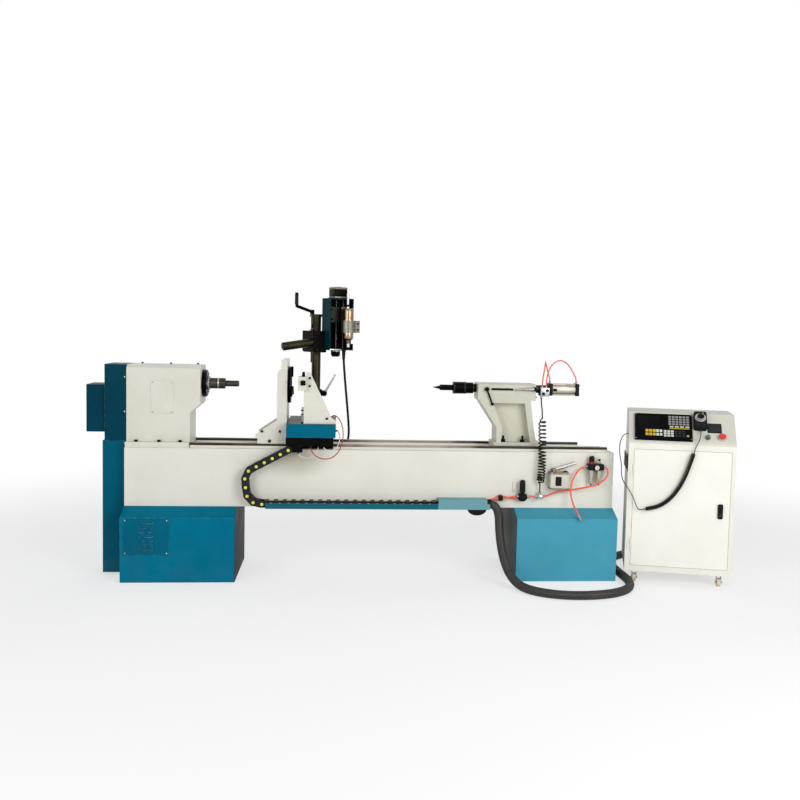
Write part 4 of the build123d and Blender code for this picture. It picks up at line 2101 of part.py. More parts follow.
def wheel_pair(y):
    for x in CASTER_XS:
        rod_in(CAB, (x - WHEEL_W / 2, y, WHEEL_R), (x + WHEEL_W / 2, y, WHEEL_R), WHEEL_R)
        rod_in(
            CAB,
            (x - WHEEL_W / 2, y, WHEEL_R),
            (x + WHEEL_W / 2, y, WHEEL_R),
            AXLE_R + RUN_FIT,
            mode=Mode.SUBTRACT,
        )


with BuildPart() as front_wheels:
    wheel_pair(CASTER_YS[0])
keep(front_wheels.part, "front_wheels")

with BuildPart() as rear_wheels:
    wheel_pair(CASTER_YS[1])
keep(rear_wheels.part, "rear_wheels")

# Air tubes on the bed's front: from the filter to the tee, on through the regulator to the tray, and the supply
filter_y = BED_FRONT - FILTER_D / 2
filter_z = (FILTER_LOW + FILTER_TOP) / 2
tee_y = BED_FRONT - TEE_D / 2
tee_z = (TEE_LOW + TEE_TOP) / 2
tray_port_z = TRAY_COVER_TOP - PORT_DOWN


def from_place(place, steps):
    """A cord's points, chosen by hand as steps from the place that it leaves."""
    return [tuple(Vector(*place) + Vector(*step)) for step in steps]


SUPPLY = from_place(
    (FILTER_X0, filter_y, filter_z),
    [
        (0, 0, 0),
        (-32, 0, 0),
        (-64, -6, -33),
        (-90, -12, -77),
        (-102, -18, -127),
        (-100, -30, -176),
        (-90, -52, -217),
        (-78, -74, -247),
        (-66, -94, -273),
    ],
)
RETURN = [
    *from_place(
        (FILTER_X1, filter_y, filter_z),
        [
            (0, 0, 0),
            (16, 0, 0),
            (28, -7, -21),
            (24, -18, -49),
            (2, -29, -75),
            (-34, -34, -96),
            (-80, -30, -112),
            (-140, -17, -127),
            (-200, -6, -139),
            (-265, -4, -146),
            (-308, -1, -163),
        ],
    ),
    (TEE_X + TEE_SIDE / 2 + 25, tee_y, tee_z),
    (TEE_X + TEE_SIDE / 2, tee_y, tee_z),
]
TO_TRAY = [
    *from_place(
        (REG_X - REG_W / 2, BED_FRONT, REG_LOW),
        [(0, -45, 30), (-20, -45, 30), (-48, -43, 22), (-86, -37, 19), (-124, -28, 11)],
    ),
    (TRAY_COVER_X1 + 30, BED_FRONT - 18, tray_port_z),
    (TRAY_COVER_X1, BED_FRONT - 18, tray_port_z),
]
FROM_TRAY = [
    *from_place(
        (REG_X - REG_W / 2, BED_FRONT, REG_LOW),
        [(0, -25, 12), (-20, -25, 12), (-48, -24, 18), (-86, -19, 23), (-124, -12, 14)],
    ),
    (TRAY_COVER_X1 + 30, BED_FRONT - 6, tray_port_z),
    (TRAY_COVER_X1, BED_FRONT - 6, tray_port_z),
]


def fittings(points, radius, length):
    """Collars on both ends of a tube, against what the tube meets."""
    for end, inner in ((points[0], points[1]), (points[-1], points[-2])):
        along = (Vector(*inner) - Vector(*end)).normalized()
        rod(end, Vector(*end) + along * length, radius)


with BuildPart() as air_hoses:
    tube(SUPPLY, AIR_TUBE_R, "supply tube")
    tube(RETURN, AIR_TUBE_R, "filter to tee tube")
    tube(TO_TRAY, AIR_TUBE_R, "regulator to tray tube")
    tube(FROM_TRAY, AIR_TUBE_R, "tray to regulator tube")
    rod((TEE_X - TEE_SIDE / 2, tee_y, tee_z), (REG_X + REG_W / 2, tee_y, tee_z), AIR_TUBE_R)
    fittings(RETURN, AIR_TUBE_R + FITTING_WALL, FITTING_LENGTH)
    rod(SUPPLY[0], (FILTER_X0 - FITTING_LENGTH, filter_y, filter_z), AIR_TUBE_R + FITTING_WALL)
    supply_end = Vector(*SUPPLY[-1])
    supply_way = (supply_end - Vector(*SUPPLY[-2])).normalized()
    rod(supply_end, supply_end + supply_way * COUPLING_LENGTH, COUPLING_R)
keep(air_hoses.part, "air_hoses")

# Tubes from the hand valve to both ends of the cylinder
NEAR_PORT_X = CYLINDER_X0 + CYLINDER_CAP / 2
FAR_PORT_X = CYLINDER_X1 - CYLINDER_CAP / 2
PORT_Z = SPINDLE_Z + CYLINDER_CAP_SIDE / 2
NEAR_TUBE = [
    *from_place(
        (VALVE_X0 + 14, VALVE_Y0 + 26, VALVE_Z1),
        [
            (0, 0, 0),
            (0, 0, 20),
            (2, -4, 56),
            (7, -8, 100),
            (12, -6, 132),
            (16, 8, 150),
            (21, 28, 154),
            (28, 44, 140),
            (37, 49, 108),
            (47, 46, 74),
        ],
    ),
    (NEAR_PORT_X, 0, PORT_Z + 22),
    (NEAR_PORT_X, 0, PORT_Z),
]
FAR_TUBE = [
    *from_place(
        (VALVE_X0 + 38, VALVE_Y0 + 26, VALVE_Z1),
        [
            (0, 0, 0),
            (0, 0, 20),
            (2, 1, 56),
            (10, 2, 94),
            (28, 5, 131),
            (56, 10, 157),
            (90, 16, 165),
            (124, 23, 150),
            (152, 30, 120),
            (173, 35, 86),
            (186, 38, 62),
        ],
    ),
    (FAR_PORT_X, 0, PORT_Z + 20),
    (FAR_PORT_X, 0, PORT_Z),
]

with BuildPart() as cylinder_hoses:
    tube(NEAR_TUBE, PORT_TUBE_R, "near port tube")
    tube(FAR_TUBE, PORT_TUBE_R, "far port tube")
    fittings(NEAR_TUBE, PORT_TUBE_R + FITTING_WALL, FITTING_LENGTH)
    fittings(FAR_TUBE, PORT_TUBE_R + FITTING_WALL, FITTING_LENGTH)
keep(cylinder_hoses.part, "cylinder_hoses")

# Coiled air tube from the hand valve down to the tee on the bed
coil_top = (VALVE_X0 + 8, VALVE_Y0 + 16, VALVE_Z0)
coil_lead_run = 2 * LEAD_RUN * COIL_TUBE_R
COIL_LEAD = from_place(coil_top, [(0, 0, 0), (0, 0, -24), (0, -18, -57)])
COIL_LINE = [
    *from_place(coil_top, [(-3, -56, -110), (-9, -100, -192), (-14, -136, -282), (-16, -154, -370)]),
    *from_place((TEE_X, tee_y, TEE_TOP), [(4, -15, 132), (2, -9, 94)]),
    (TEE_X, tee_y, TEE_TOP + coil_lead_run + 22),
    (TEE_X, tee_y, TEE_TOP + coil_lead_run),
]

with BuildPart() as coil_hose:
    curly_tube(
        COIL_LEAD,
        COIL_LINE,
        [],
        COIL_TURNS,
        COIL_RING_R,
        COIL_TUBE_R,
        Vector(1, 0, 0),
        COIL_STRETCH,
        "coiled air tube",
    )
keep(coil_hose.part, "coil_hose")

# Conduit from the tray's end over the floor, round the pedestal and the cabinet, to the cabinet's back
CONDUIT_ENTRY = (330, CAB_D, CAB_LOW + 50)
conduit_end = CAB.from_local_coords(CONDUIT_ENTRY)
conduit_turn = conduit_end + CAB.y_dir * 110
conduit_start = (TRAY_COVER_X1, CHAIN_Y - CONDUIT_SIDE, TRAY_FLOOR + CONDUIT_R + CONDUIT_UP)
conduit_drop = conduit_start[2] - CONDUIT_R
CONDUIT = [
    *from_place(
        conduit_start,
        [
            (0, 0, 0),
            (48, 0, 0),
            (73, -6, -0.14 * conduit_drop),
            (73, -31, -0.34 * conduit_drop),
            (77, -75, -0.54 * conduit_drop),
            (91, -126, -0.74 * conduit_drop),
            (117, -183, -0.9 * conduit_drop),
            (157, -255, CONDUIT_LIFT - conduit_drop),
        ],
    ),
    *from_place(
        (PED_RIGHT_X, -PED_D / 2, CONDUIT_R),
        [
            (-259.5, -280, 0),
            (-177.5, -344, 0),
            (-87.5, -376, 0),
            (6.5, -384, 0),
            (110.5, -370, 0),
            (208.5, -332, 0),
            (290.5, -262, 0),
            (338.5, -162, 0),
            (352.5, -50, 0),
            (349.5, 60, 0),
            (347.5, 172, 0),
            (352.5, 282, 0),
            (370.5, 386, 0),
            (416.5, 480, 0),
            (500.5, 548, 2),
            (604.5, 576, 18),
            (706.5, 558, 58),
            (776.5, 494, 94),
        ],
    ),
    tuple(conduit_turn),
    tuple(conduit_end),
]

with BuildPart() as conduit_hose:
    tube(CONDUIT, CONDUIT_R, "conduit")
    rod(conduit_end, conduit_end + CAB.y_dir * GLAND_T, CONDUIT_R + GLAND_LIP)
    rod(conduit_start, (TRAY_COVER_X1 + GLAND_T, *conduit_start[1:]), CONDUIT_R + SLEEVE_LIP)
keep(conduit_hose.part, "conduit_hose")

# Leads of the carriage: the router's cable down behind the bed, and three thin leads at the front
cable_top = HEAD.from_local_coords((HOUSE_X1 - 26, GUIDE_Y - 6, HOUSE_LOW))
nut_face = NUT_X + NUT_W / 2
CABLE = [
    tuple(cable_top),
    tuple(cable_top - Vector(0, 0, 56)),
    *from_place(
        (COLUMN_X, COLUMN_Y, TABLE_TOP),
        [
            (171, -11, 287),
            (180, 2, 191),
            (191, 18, 85),
            (201, 34, -17),
            (207, 45, -105),
            (197, 48, -167),
            (165, 44, -201),
            (123, 36, -205),
            (81, 28, -189),
        ],
    ),
    (nut_face + 32, COLUMN_Y + 22, SCREW_Z + 66),
    (nut_face, COLUMN_Y + 22, SCREW_Z + 66),
]
lug_under = SADDLE_LOW - CHAIN_LUG_H
FIRST_LEAD = [
    *from_place(
        (CHAIN_LUG_X + 60, CHAIN_Y + 2, lug_under),
        [
            (0, 0, 0),
            (0, 0, -12),
            (18, -2, -26),
            (38, -4, -33),
            (62, -5, -31),
            (86, -5, -19),
            (104, -4, 0),
            (112, -3, 20),
        ],
    ),
    (CHAIN_LUG_X + 172, CHAIN_Y - 1, SADDLE_LOW),
]
SECOND_LEAD = [
    *from_place(
        (TABLE_X0 + 138, SADDLE_Y0 + 5, SADDLE_LOW),
        [
            (0, 0, 0),
            (0, 0, -16),
            (8, -9, -34),
            (29, -16, -56),
            (61, -21, -71),
            (96, -23, -72),
            (128, -23, -60),
            (154, -23, -35),
            (172, -23, 0),
            (181, -21, 44),
            (182, -13, 90),
            (171, 5, 134),
            (148, 33, 166),
            (124, 57, 172),
            (114, 69, 156),
        ],
    ),
    (TABLE_X0 + 252, SADDLE_Y0 + 74, TABLE_TOP + TOOL_FLANGE),
]
THIRD_LEAD = [
    *from_place(
        (TABLE_X0 + 210, SADDLE_Y0 + 16, SADDLE_LOW),
        [
            (0, 0, 0),
            (0, 0, -12),
            (10, -5, -22),
            (32, -10, -28),
            (56, -12, -24),
            (76, -10, -8),
            (88, -3, 18),
            (92, 8, 48),
            (88, 19, 72),
            (79, 24, 84),
        ],
    ),
    (TABLE_X1, SADDLE_Y0 + 40, SADDLE_LOW + 84),
]

with BuildPart() as carriage_cables:
    tube(CABLE, CABLE_R, "router cable")
    tube(FIRST_LEAD, LEAD_R, "first lead")
    tube(SECOND_LEAD, LEAD_R, "second lead")
    tube(THIRD_LEAD, LEAD_R, "third lead")
keep(carriage_cables.part, "carriage_cables")


# Curly cord of the hand pendant: it hangs in front of the door and goes in at the cabinet's left side
def below_desk(points):
    """Points in the cabinet's plane, with heights from the desk's front edge."""
    return [CAB.from_local_coords((x, y, CAB_FRONT_TOP + z)) for x, y, z in points]


cord_foot = DESK.from_local_coords((PENDANT_X, PENDANT_S - PENDANT_L / 2, PENDANT_T / 2))
cord_knee = cord_foot - DESK.y_dir * 34
CURL_LINE = below_desk(
    [
        (366, -CURL_OUT, -28),
        (341, -CURL_OUT, -113),
        (313, -CURL_OUT, -195),
        (270, -CURL_OUT, -275),
        (222, -CURL_OUT, -329),
        (164, -CURL_OUT, -365),
        (90, -CURL_OUT, -378),
    ]
)
CURL_ENTRY = below_desk(
    [
        (52, -CURL_OUT, -358),
        (34, -CURL_OUT, -310),
        (2, -CURL_OUT, -258),
        (-28, -CURL_OUT + 8, -220),
        (-38, -CURL_OUT + 24, -179),
        (-36, 22, -138),
        (-46, 38, -92),
        (-53, 52, -40),
        (-46, 66, 10),
        (-26, 75, 46),
        (0, 75, 46),
    ]
)

with BuildPart() as pendant_cord:
    curly_tube(
        [cord_foot, cord_knee, *below_desk([(394, -10, 36)])],
        CURL_LINE,
        CURL_ENTRY,
        CURL_TURNS,
        CURL_RING_R,
        CURL_WIRE_R,
        CAB.y_dir,
        0.0,
        "pendant cord",
    )
keep(pendant_cord.part, "pendant_cord")
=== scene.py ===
# %% [markdown]
# # Dressing a CNC wood lathe
# The machine is a long white bed on two blue-green pedestals, with a belt-driven headstock, a carriage that
# carries a steady, a tool and a router, an air-driven tailstock, and a control cabinet beside it. Its solids
# come ready from the CAD pack. We load them as a fixed frame, and everything below either paints a solid or
# adds the pieces that are too fine for it.

# %% Load the solids
import json
import math

import bmesh
import bpy
from mathutils import Matrix, Vector


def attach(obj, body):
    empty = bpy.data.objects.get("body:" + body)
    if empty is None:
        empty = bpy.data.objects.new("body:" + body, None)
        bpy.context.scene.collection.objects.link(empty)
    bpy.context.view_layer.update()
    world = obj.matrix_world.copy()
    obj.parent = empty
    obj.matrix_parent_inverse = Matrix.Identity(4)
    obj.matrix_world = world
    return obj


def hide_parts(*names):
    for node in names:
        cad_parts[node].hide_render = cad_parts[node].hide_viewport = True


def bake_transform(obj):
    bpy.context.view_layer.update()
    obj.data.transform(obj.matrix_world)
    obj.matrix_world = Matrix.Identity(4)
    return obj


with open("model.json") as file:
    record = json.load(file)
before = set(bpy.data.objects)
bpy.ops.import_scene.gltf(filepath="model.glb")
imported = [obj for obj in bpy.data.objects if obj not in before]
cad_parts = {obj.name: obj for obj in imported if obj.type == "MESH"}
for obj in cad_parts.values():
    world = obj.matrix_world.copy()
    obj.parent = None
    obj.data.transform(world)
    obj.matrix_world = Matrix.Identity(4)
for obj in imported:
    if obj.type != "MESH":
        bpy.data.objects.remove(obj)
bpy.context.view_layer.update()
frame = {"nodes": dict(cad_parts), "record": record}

# %% [markdown]
# ## Places
# The drawing is in millimetres and Blender works in metres, so one small function carries a point over. The
# router's arm is swung 28 degrees about its column, and the cabinet stands 15 degrees askew with a sloping
# desk. Their pieces are easier to think of square on, so each gets a function that turns its own millimetres
# into the shared frame.

# %% From the drawing's millimetres to the shared frame
ARM_ORIGIN, ARM_TURN = (737, 210), 28
CABINET_ORIGIN, CABINET_TURN, DESK_FOOT = (2542.5, -318), -15, 820


def at(x, y, z):
    return Vector((x, y, z)) / 1000


def askew(origin, degrees):
    """A function from a turned piece's own millimetres to the shared frame."""
    c, s = math.cos(math.radians(degrees)), math.sin(math.radians(degrees))
    return lambda x, y, z: at(origin[0] + c * x - s * y, origin[1] + s * x + c * y, z)


on_arm = askew(ARM_ORIGIN, ARM_TURN)
on_cabinet = askew(CABINET_ORIGIN, CABINET_TURN)


def on_desk(x, s, n):
    """From along the desk, up its slope and out of it, to the shared frame."""
    return on_cabinet(x, (s - n) / math.sqrt(2), DESK_FOOT + (s + n) / math.sqrt(2))


print("arm corner", tuple(round(v, 3) for v in on_arm(163, -163, 1303)))

# %% [markdown]
# ## Camera
# The picture was taken from in front of the bed, a little right of its middle and slightly from above, with
# the camera not quite level. The numbers were found by matching known corners of the machine to their places
# in the picture. Depth of field stays off, so that every piece is sharp.

# %% Camera at the picture's angle
CAMERA_PLACE, FOCAL_LENGTH, SENSOR, SHIFT = (0.8785, -5.604, 1.450), 42.75, 36.0, -0.05
yaw, pitch, roll = math.radians(6.09), math.radians(4.32), math.radians(1.43)
level = Vector((math.sin(yaw), math.cos(yaw), 0))
beside = Vector((math.cos(yaw), -math.sin(yaw), 0))
above = Vector((0, 0, 1))
ahead = level * math.cos(pitch) - above * math.sin(pitch)
upright = above * math.cos(pitch) + level * math.sin(pitch)
right = beside * math.cos(roll) + upright * math.sin(roll)
head_up = upright * math.cos(roll) - beside * math.sin(roll)
scene = bpy.context.scene
lens = bpy.data.cameras.new("picture_camera")
lens.lens, lens.sensor_width, lens.shift_x, lens.clip_end = FOCAL_LENGTH, SENSOR, SHIFT, 200
camera = bpy.data.objects.new("picture_camera", lens)
scene.collection.objects.link(camera)
turn = Matrix((right, head_up, -ahead)).transposed().to_4x4()
camera.matrix_world = Matrix.Translation(CAMERA_PLACE) @ turn
scene.camera = camera
print("camera", tuple(round(v, 3) for v in camera.matrix_world.translation))

# %% [markdown]
# ## Floor and light
# A studio picture of a machine has a white sweep behind it and broad soft lamps. The world lights the machine
# at a plain level, and only where the camera, a mirror or clear plastic looks straight at it does it show
# white. The floor is pale near the machine, where it catches the shadow, and fades to the same white further
# off, so that no horizon shows. The main lamp stands to the right, because the right end of the machine is
# the brighter one in the picture. A few short functions for nodes come first, because every finish uses them.

# %% Small helpers for node trees
def ink(text):
    """A screen colour such as #0a6c86 as the linear numbers that a shader takes."""
    parts = [int(text[i : i + 2], 16) / 255 for i in (1, 3, 5)]
    return (*[p / 12.92 if p <= 0.04045 else ((p + 0.055) / 1.055) ** 2.4 for p in parts], 1.0)


def put(tree, kind, values=(), **settings):
    """Adds a node, sets its own settings, and then the inputs, by name or by number."""
    made = tree.nodes.new(kind)
    for key, value in settings.items():
        setattr(made, key, value)
    for key, value in dict(values).items():
        if isinstance(value, bpy.types.NodeSocket):
            tree.links.new(value, made.inputs[key])
        else:
            made.inputs[key].default_value = value
    return made


def wire(tree, kind, values=(), **settings):
    """The first output of a new node."""
    return put(tree, kind, values, **settings).outputs[0]


def maths(tree, work, *values):
    return wire(tree, "ShaderNodeMath", enumerate(values), operation=work)


def vector_maths(tree, work, *values):
    made = put(tree, "ShaderNodeVectorMath", enumerate(values), operation=work)
    return made.outputs["Value" if work in ("DISTANCE", "DOT_PRODUCT", "LENGTH") else 0]


def carry(tree, value, start, end, low=0.0, high=1.0, way="LINEAR"):
    """Carries a value from the range start to end over to the range low to high."""
    return wire(tree, "ShaderNodeMapRange", enumerate((value, start, end, low, high)), interpolation_type=way)


def own_place(tree):
    return put(tree, "ShaderNodeTexCoord").outputs["Object"]


def noise(tree, where, scale, detail, rough=0.5):
    values = {"Vector": where, "Scale": scale, "Detail": detail, "Roughness": rough}
    return put(tree, "ShaderNodeTexNoise", values).outputs["Fac"]


def layered(tree, mask, under, over):
    return put(tree, "ShaderNodeMix", {0: mask, 6: under, 7: over}, data_type="RGBA").outputs[2]


scene.view_settings.view_transform = "Standard"
print("colours shown", scene.view_settings.view_transform)

# %% World, floor and lamps
WHITE, FILL, FILL_POWER, FLOOR = (1, 1, 1, 1), (0.97, 0.98, 1.0, 1), 0.44, (0.93, 0.93, 0.93, 1)
FLOOR_MIDDLE, FADE_FROM, FADE_TO, FADE_LEAST, FLOOR_HALF = (1.35, -0.1, 0.0), 2.4, 5.2, 0.6, 60


def seen_directly(tree):
    """1 where the camera, a mirror or clear plastic looks straight at a thing, and 0 elsewhere."""
    path = put(tree, "ShaderNodeLightPath").outputs
    first = maths(tree, "MAXIMUM", path["Is Camera Ray"], path["Is Glossy Ray"])
    return maths(tree, "MAXIMUM", first, path["Is Transmission Ray"])


def empty_tree(owner):
    owner.use_nodes = True
    owner.node_tree.nodes.clear()
    return owner.node_tree


def show(name, data):
    """A new object of a mesh, a curve or a lamp, in the scene."""
    made = bpy.data.objects.new(name, data)
    scene.collection.objects.link(made)
    return made


scene.world = bpy.data.worlds.new("studio")
sky = empty_tree(scene.world)
seen_white = wire(sky, "ShaderNodeBackground", {"Color": WHITE, "Strength": 1.0})
soft_fill = wire(sky, "ShaderNodeBackground", {"Color": FILL, "Strength": FILL_POWER})
sky_mix = wire(sky, "ShaderNodeMixShader", {0: seen_directly(sky), 1: soft_fill, 2: seen_white})
put(sky, "ShaderNodeOutputWorld", {0: sky_mix})

sweep = bpy.data.meshes.new("studio_floor")
floor_corners = [(x * FLOOR_HALF, y * FLOOR_HALF, 0) for x, y in ((-1, -1), (1, -1), (1, 1), (-1, 1))]
sweep.from_pydata(floor_corners, [], [(0, 1, 2, 3)])
show("studio_floor", sweep)
pale = bpy.data.materials.new("pale_floor")
ground = empty_tree(pale)
off = vector_maths(ground, "DISTANCE", own_place(ground), FLOOR_MIDDLE)
fade = carry(ground, off, FADE_FROM, FADE_TO, FADE_LEAST, 1.0, "SMOOTHSTEP")
shown = maths(ground, "MULTIPLY", fade, seen_directly(ground))
matt = wire(ground, "ShaderNodeBsdfDiffuse", {"Color": FLOOR})
plain_white = wire(ground, "ShaderNodeEmission", {"Color": WHITE, "Strength": 1.0})
put(ground, "ShaderNodeOutputMaterial", {0: wire(ground, "ShaderNodeMixShader", {0: shown, 1: matt, 2: plain_white})})
sweep.materials.append(pale)


def soft_lamp(name, place, target, power, width=3.0):
    data = bpy.data.lights.new(name, "AREA")
    data.shape, data.size, data.energy = "DISK", width, power
    lamp = show(name, data)
    lamp.location = place
    lamp.rotation_euler = (Vector(target) - Vector(place)).to_track_quat("-Z", "Y").to_euler()


soft_lamp("main_lamp", (4.0, -4.8, 2.5), (1.6, 0, 0.6), power=152)
soft_lamp("left_lamp", (-2.4, -5.0, 2.4), (0.5, 0, 0.7), power=98)
soft_lamp("back_lamp", (1.2, 3.6, 3.6), (1.2, 0, 0.8), power=30)
print("lamps", len(bpy.data.lights))

# %% [markdown]
# ## What finishes share
# Four effects come back in most of the machine's finishes. Sprayed enamel and castings have slow patches of
# tone and a fine orange peel. Machined metal has streaks along the way the tool went. Corners that are handled
# lose their finish, and on the vent panel the corner colour is a painted highlight. And dust lies thicker near
# the floor of a workshop. Each effect is a node group with named inputs, so that a finish sets its own amounts.
# All of them read the piece's own Object coordinates, which stay with the piece from every side.

# %% Shader groups for patches, streaks, corner wear and corner highlights, and floor dust
SHADER, SHAPE = "ShaderNodeTree", "GeometryNodeTree"


def new_group(name, kind, inputs, outputs):
    """A node group. An input is given by its first value, or by the name of its socket if it has none."""
    tree = bpy.data.node_groups.new(name, kind)
    names = {float: "Float", int: "Int", tuple: "Vector"}
    for label, value in inputs.items():
        socket = value if isinstance(value, str) else names[type(value)]
        made = tree.interface.new_socket(label, in_out="INPUT", socket_type="NodeSocket" + socket)
        if socket is not value:
            made.default_value = value
    for label, socket in outputs.items():
        tree.interface.new_socket(label, in_out="OUTPUT", socket_type="NodeSocket" + socket)
    return tree, tree.nodes.new("NodeGroupInput").outputs, tree.nodes.new("NodeGroupOutput").inputs


MASK = {"Mask": "Float"}

patches, given, out = new_group(
    "tone_patches",
    SHADER,
    {"Colour": "Color", "Second Colour": "Color", "Patch Scale": 5.0, "Grain Scale": 600.0,
     "Smoothest": 0.3, "Roughest": 0.5},
    {"Colour": "Color", "Roughness": "Float", "Height": "Float"},
)
where = own_place(patches)
slow = noise(patches, where, given["Patch Scale"], 4.0, 0.55)
tone = layered(patches, carry(patches, slow, 0.34, 0.66), given["Colour"], given["Second Colour"])
fine = noise(patches, where, given["Grain Scale"], 2.0)
both = maths(patches, "MULTIPLY", slow, fine)
patches.links.new(tone, out["Colour"])
patches.links.new(carry(patches, both, 0.14, 0.38, given["Smoothest"], given["Roughest"]), out["Roughness"])
patches.links.new(fine, out["Height"])

streaks, given, out = new_group("tool_streaks", SHADER, {"Stretch": (400.0, 400.0, 400.0)}, {"Streak": "Float"})
drawn = vector_maths(streaks, "MULTIPLY", own_place(streaks), given["Stretch"])
streaks.links.new(noise(streaks, drawn, 1.0, 3.0, 0.6), out["Streak"])

corners, given, out = new_group("worn_and_glint_corners", SHADER, {"Width": 0.002, "Break Up": 45.0}, MASK)
rounded = wire(corners, "ShaderNodeBevel", {"Radius": given["Width"]}, samples=4)
true_way = put(corners, "ShaderNodeNewGeometry").outputs["Normal"]
edge = carry(corners, vector_maths(corners, "DOT_PRODUCT", rounded, true_way), 0.985, 0.80)
chips = carry(corners, noise(corners, own_place(corners), given["Break Up"], 3.0), 0.44, 0.62)
corners.links.new(maths(corners, "MULTIPLY", edge, chips), out["Mask"])

floor_dust, given, out = new_group("floor_dust", SHADER, {"Reach": 0.3, "Amount": 0.5}, MASK)
where = own_place(floor_dust)
height = put(floor_dust, "ShaderNodeSeparateXYZ", {0: where}).outputs["Z"]
low_down = carry(floor_dust, height, given["Reach"], 0.0, way="SMOOTHSTEP")
thick = carry(floor_dust, noise(floor_dust, where, 11.0, 5.0), 0.36, 0.68)
lying = maths(floor_dust, "MULTIPLY", low_down, thick)
floor_dust.links.new(maths(floor_dust, "MULTIPLY", lying, given["Amount"]), out["Mask"])
print("shader groups", [g.name for g in bpy.data.node_groups])

# %% [markdown]
# ## Finishes
# The sheet metal and castings are sprayed: a blue-green on the pedestals, the slide covers and the router's
# case, a darker one on the belt guards, and a warm white on the bed, the headstock and the tailstock. The
# working metal is bare steel, blackened steel or aluminium. The rest is moulded plastic, rubber and coloured
# air tube. Three short functions make the three families, and each finish gives its own colours, gloss and
# grain.

# %% Three families of finish
DUST = "#b3aa98"


def use(tree, group, values):
    return put(tree, "ShaderNodeGroup", values, node_tree=group).outputs


def coated(name, colour, second, gloss, patch, grain):
    """A new finish, and the outputs of its patches of tone."""
    finish = bpy.data.materials.new(name)
    finish.use_nodes = True
    film = use(finish.node_tree, patches, {
        "Colour": ink(colour), "Second Colour": ink(second), "Patch Scale": patch, "Grain Scale": grain,
        "Smoothest": gloss[0], "Roughest": gloss[1],
    })
    return finish, finish.node_tree, film


def shader_of(finish):
    return finish.node_tree.nodes["Principled BSDF"].inputs


def wired(finish, colour, film, height, amounts, depth, strength):
    """Wires colour, roughness and bump into the shader of a finish and sets its other amounts."""
    tree, shader = finish.node_tree, shader_of(finish)
    tree.links.new(colour, shader["Base Color"])
    tree.links.new(film["Roughness"], shader["Roughness"])
    bump = wire(tree, "ShaderNodeBump", {"Strength": strength, "Distance": depth, "Height": height})
    tree.links.new(bump, shader["Normal"])
    for label, value in amounts.items():
        shader[label].default_value = value
    return finish


def sprayed(name, colour, second, gloss=(0.3, 0.46), shine=0.2, dust=0.06, edge_wear_and_glint="#8f938f"):
    finish, tree, film = coated(name, colour, second, gloss, patch=3.2, grain=420.0)
    edge_mask = use(tree, corners, {"Width": 0.0022, "Break Up": 38.0})[0]
    dirt = use(tree, floor_dust, {"Reach": 0.32, "Amount": dust})[0]
    colour = layered(tree, dirt, layered(tree, edge_mask, film["Colour"], ink(edge_wear_and_glint)), ink(DUST))
    return wired(finish, colour, film, film["Height"], {"Specular IOR Level": shine}, depth=0.00025, strength=0.5)


def machined(name, colour, second, gloss=(0.26, 0.44), stretch=(3.0, 420.0, 420.0), patch=14.0,
             bright="#c9cbc8", rim=None):
    finish, tree, film = coated(name, colour, second, gloss, patch, grain=900.0)
    cut = use(tree, streaks, {"Stretch": stretch})[0]
    edge_mask = use(tree, corners, {"Width": 0.0016, "Break Up": 60.0})[0]
    colour = layered(tree, carry(tree, cut, 0.3, 0.7, 0.0, 0.45), film["Colour"], ink(second))
    colour = layered(tree, edge_mask, colour, ink(bright))
    # painted reflection: with a rim colour, the colour turns dark toward the outline, standing in for dark
    # surroundings reflected in the metal
    if rim:
        away = put(tree, "ShaderNodeLayerWeight", {"Blend": 0.45}).outputs["Facing"]
        colour = layered(tree, away, colour, ink(rim))
    return wired(finish, colour, film, cut, {"Metallic": 1.0}, depth=0.0002, strength=0.35)


def moulded(name, colour, second, gloss=(0.35, 0.55), grain=1100.0, depth=0.00018, coat=0.0, scuff=None, shine=0.3):
    finish, tree, film = coated(name, colour, second, gloss, patch=9.0, grain=grain)
    colour = film["Colour"]
    if scuff:
        edge_mask = use(tree, corners, {"Width": 0.0014, "Break Up": 70.0})[0]
        colour = layered(tree, edge_mask, colour, ink(scuff))
    amounts = {"Coat Weight": coat, "Specular IOR Level": shine}
    return wired(finish, colour, film, film["Height"], amounts, depth, strength=0.6)


print("families of finish", [f.__name__ for f in (sprayed, machined, moulded)])

# %% The finishes that the solids name
SATIN, LEVEL, POWDER = (0.34, 0.52), (0.3, 0.5), (0.42, 0.6)
teal = sprayed("blue_green_enamel", "#05708b", "#046882", shine=0.04)
dark_teal = sprayed("dark_guard_enamel", "#01576e", "#014f65", shine=0.03, dust=0.03)
deep_teal = sprayed("deeper_guard_enamel", "#013e4f", "#013747", shine=0.03, dust=0.0)
slide_teal = sprayed("slide_enamel", "#03627c", "#035a73", shine=0.03, dust=0.0)
warm_white = sprayed("warm_white_enamel", "#d7d5c9", "#cfcdc0", SATIN, 0.25, edge_wear_and_glint="#b9b7ad")
cabinet_white = sprayed("cabinet_powder_coat", "#ecebe2", "#e6e4da", POWDER, edge_wear_and_glint="#d2d0c6")
bright_steel = machined("bright_steel", "#b9bbb9", "#8f9291")
rail_steel = machined("oiled_rail_steel", "#5d5d5a", "#35352f", (0.2, 0.42), (4.0, 260.0, 260.0), 4.0, "#9b9c99")
dark_iron = machined("oiled_iron", "#3a3b38", "#262723", LEVEL, (260.0, 30.0, 30.0), bright="#8c8d88")
blackened = machined("blackened_steel", "#1b1b18", "#10100e", (0.3, 0.52), (160.0, 160.0, 6.0), bright="#57564e")
aluminium = machined("drawn_aluminium", "#c8cac9", "#a9acab", (0.28, 0.42), (5.0, 300.0, 300.0), bright="#dcdddb")
black_plastic = moulded("black_moulding", "#0f1011", "#161718", scuff="#333436", shine=0.1)
black_rubber = moulded("black_rubber", "#121211", "#1a1918", (0.55, 0.8), 500.0, shine=0.2)
orange_tube = moulded("orange_air_tube", "#f0603f", "#e4573a", (0.18, 0.3), 250.0, 0.00008, 0.3)
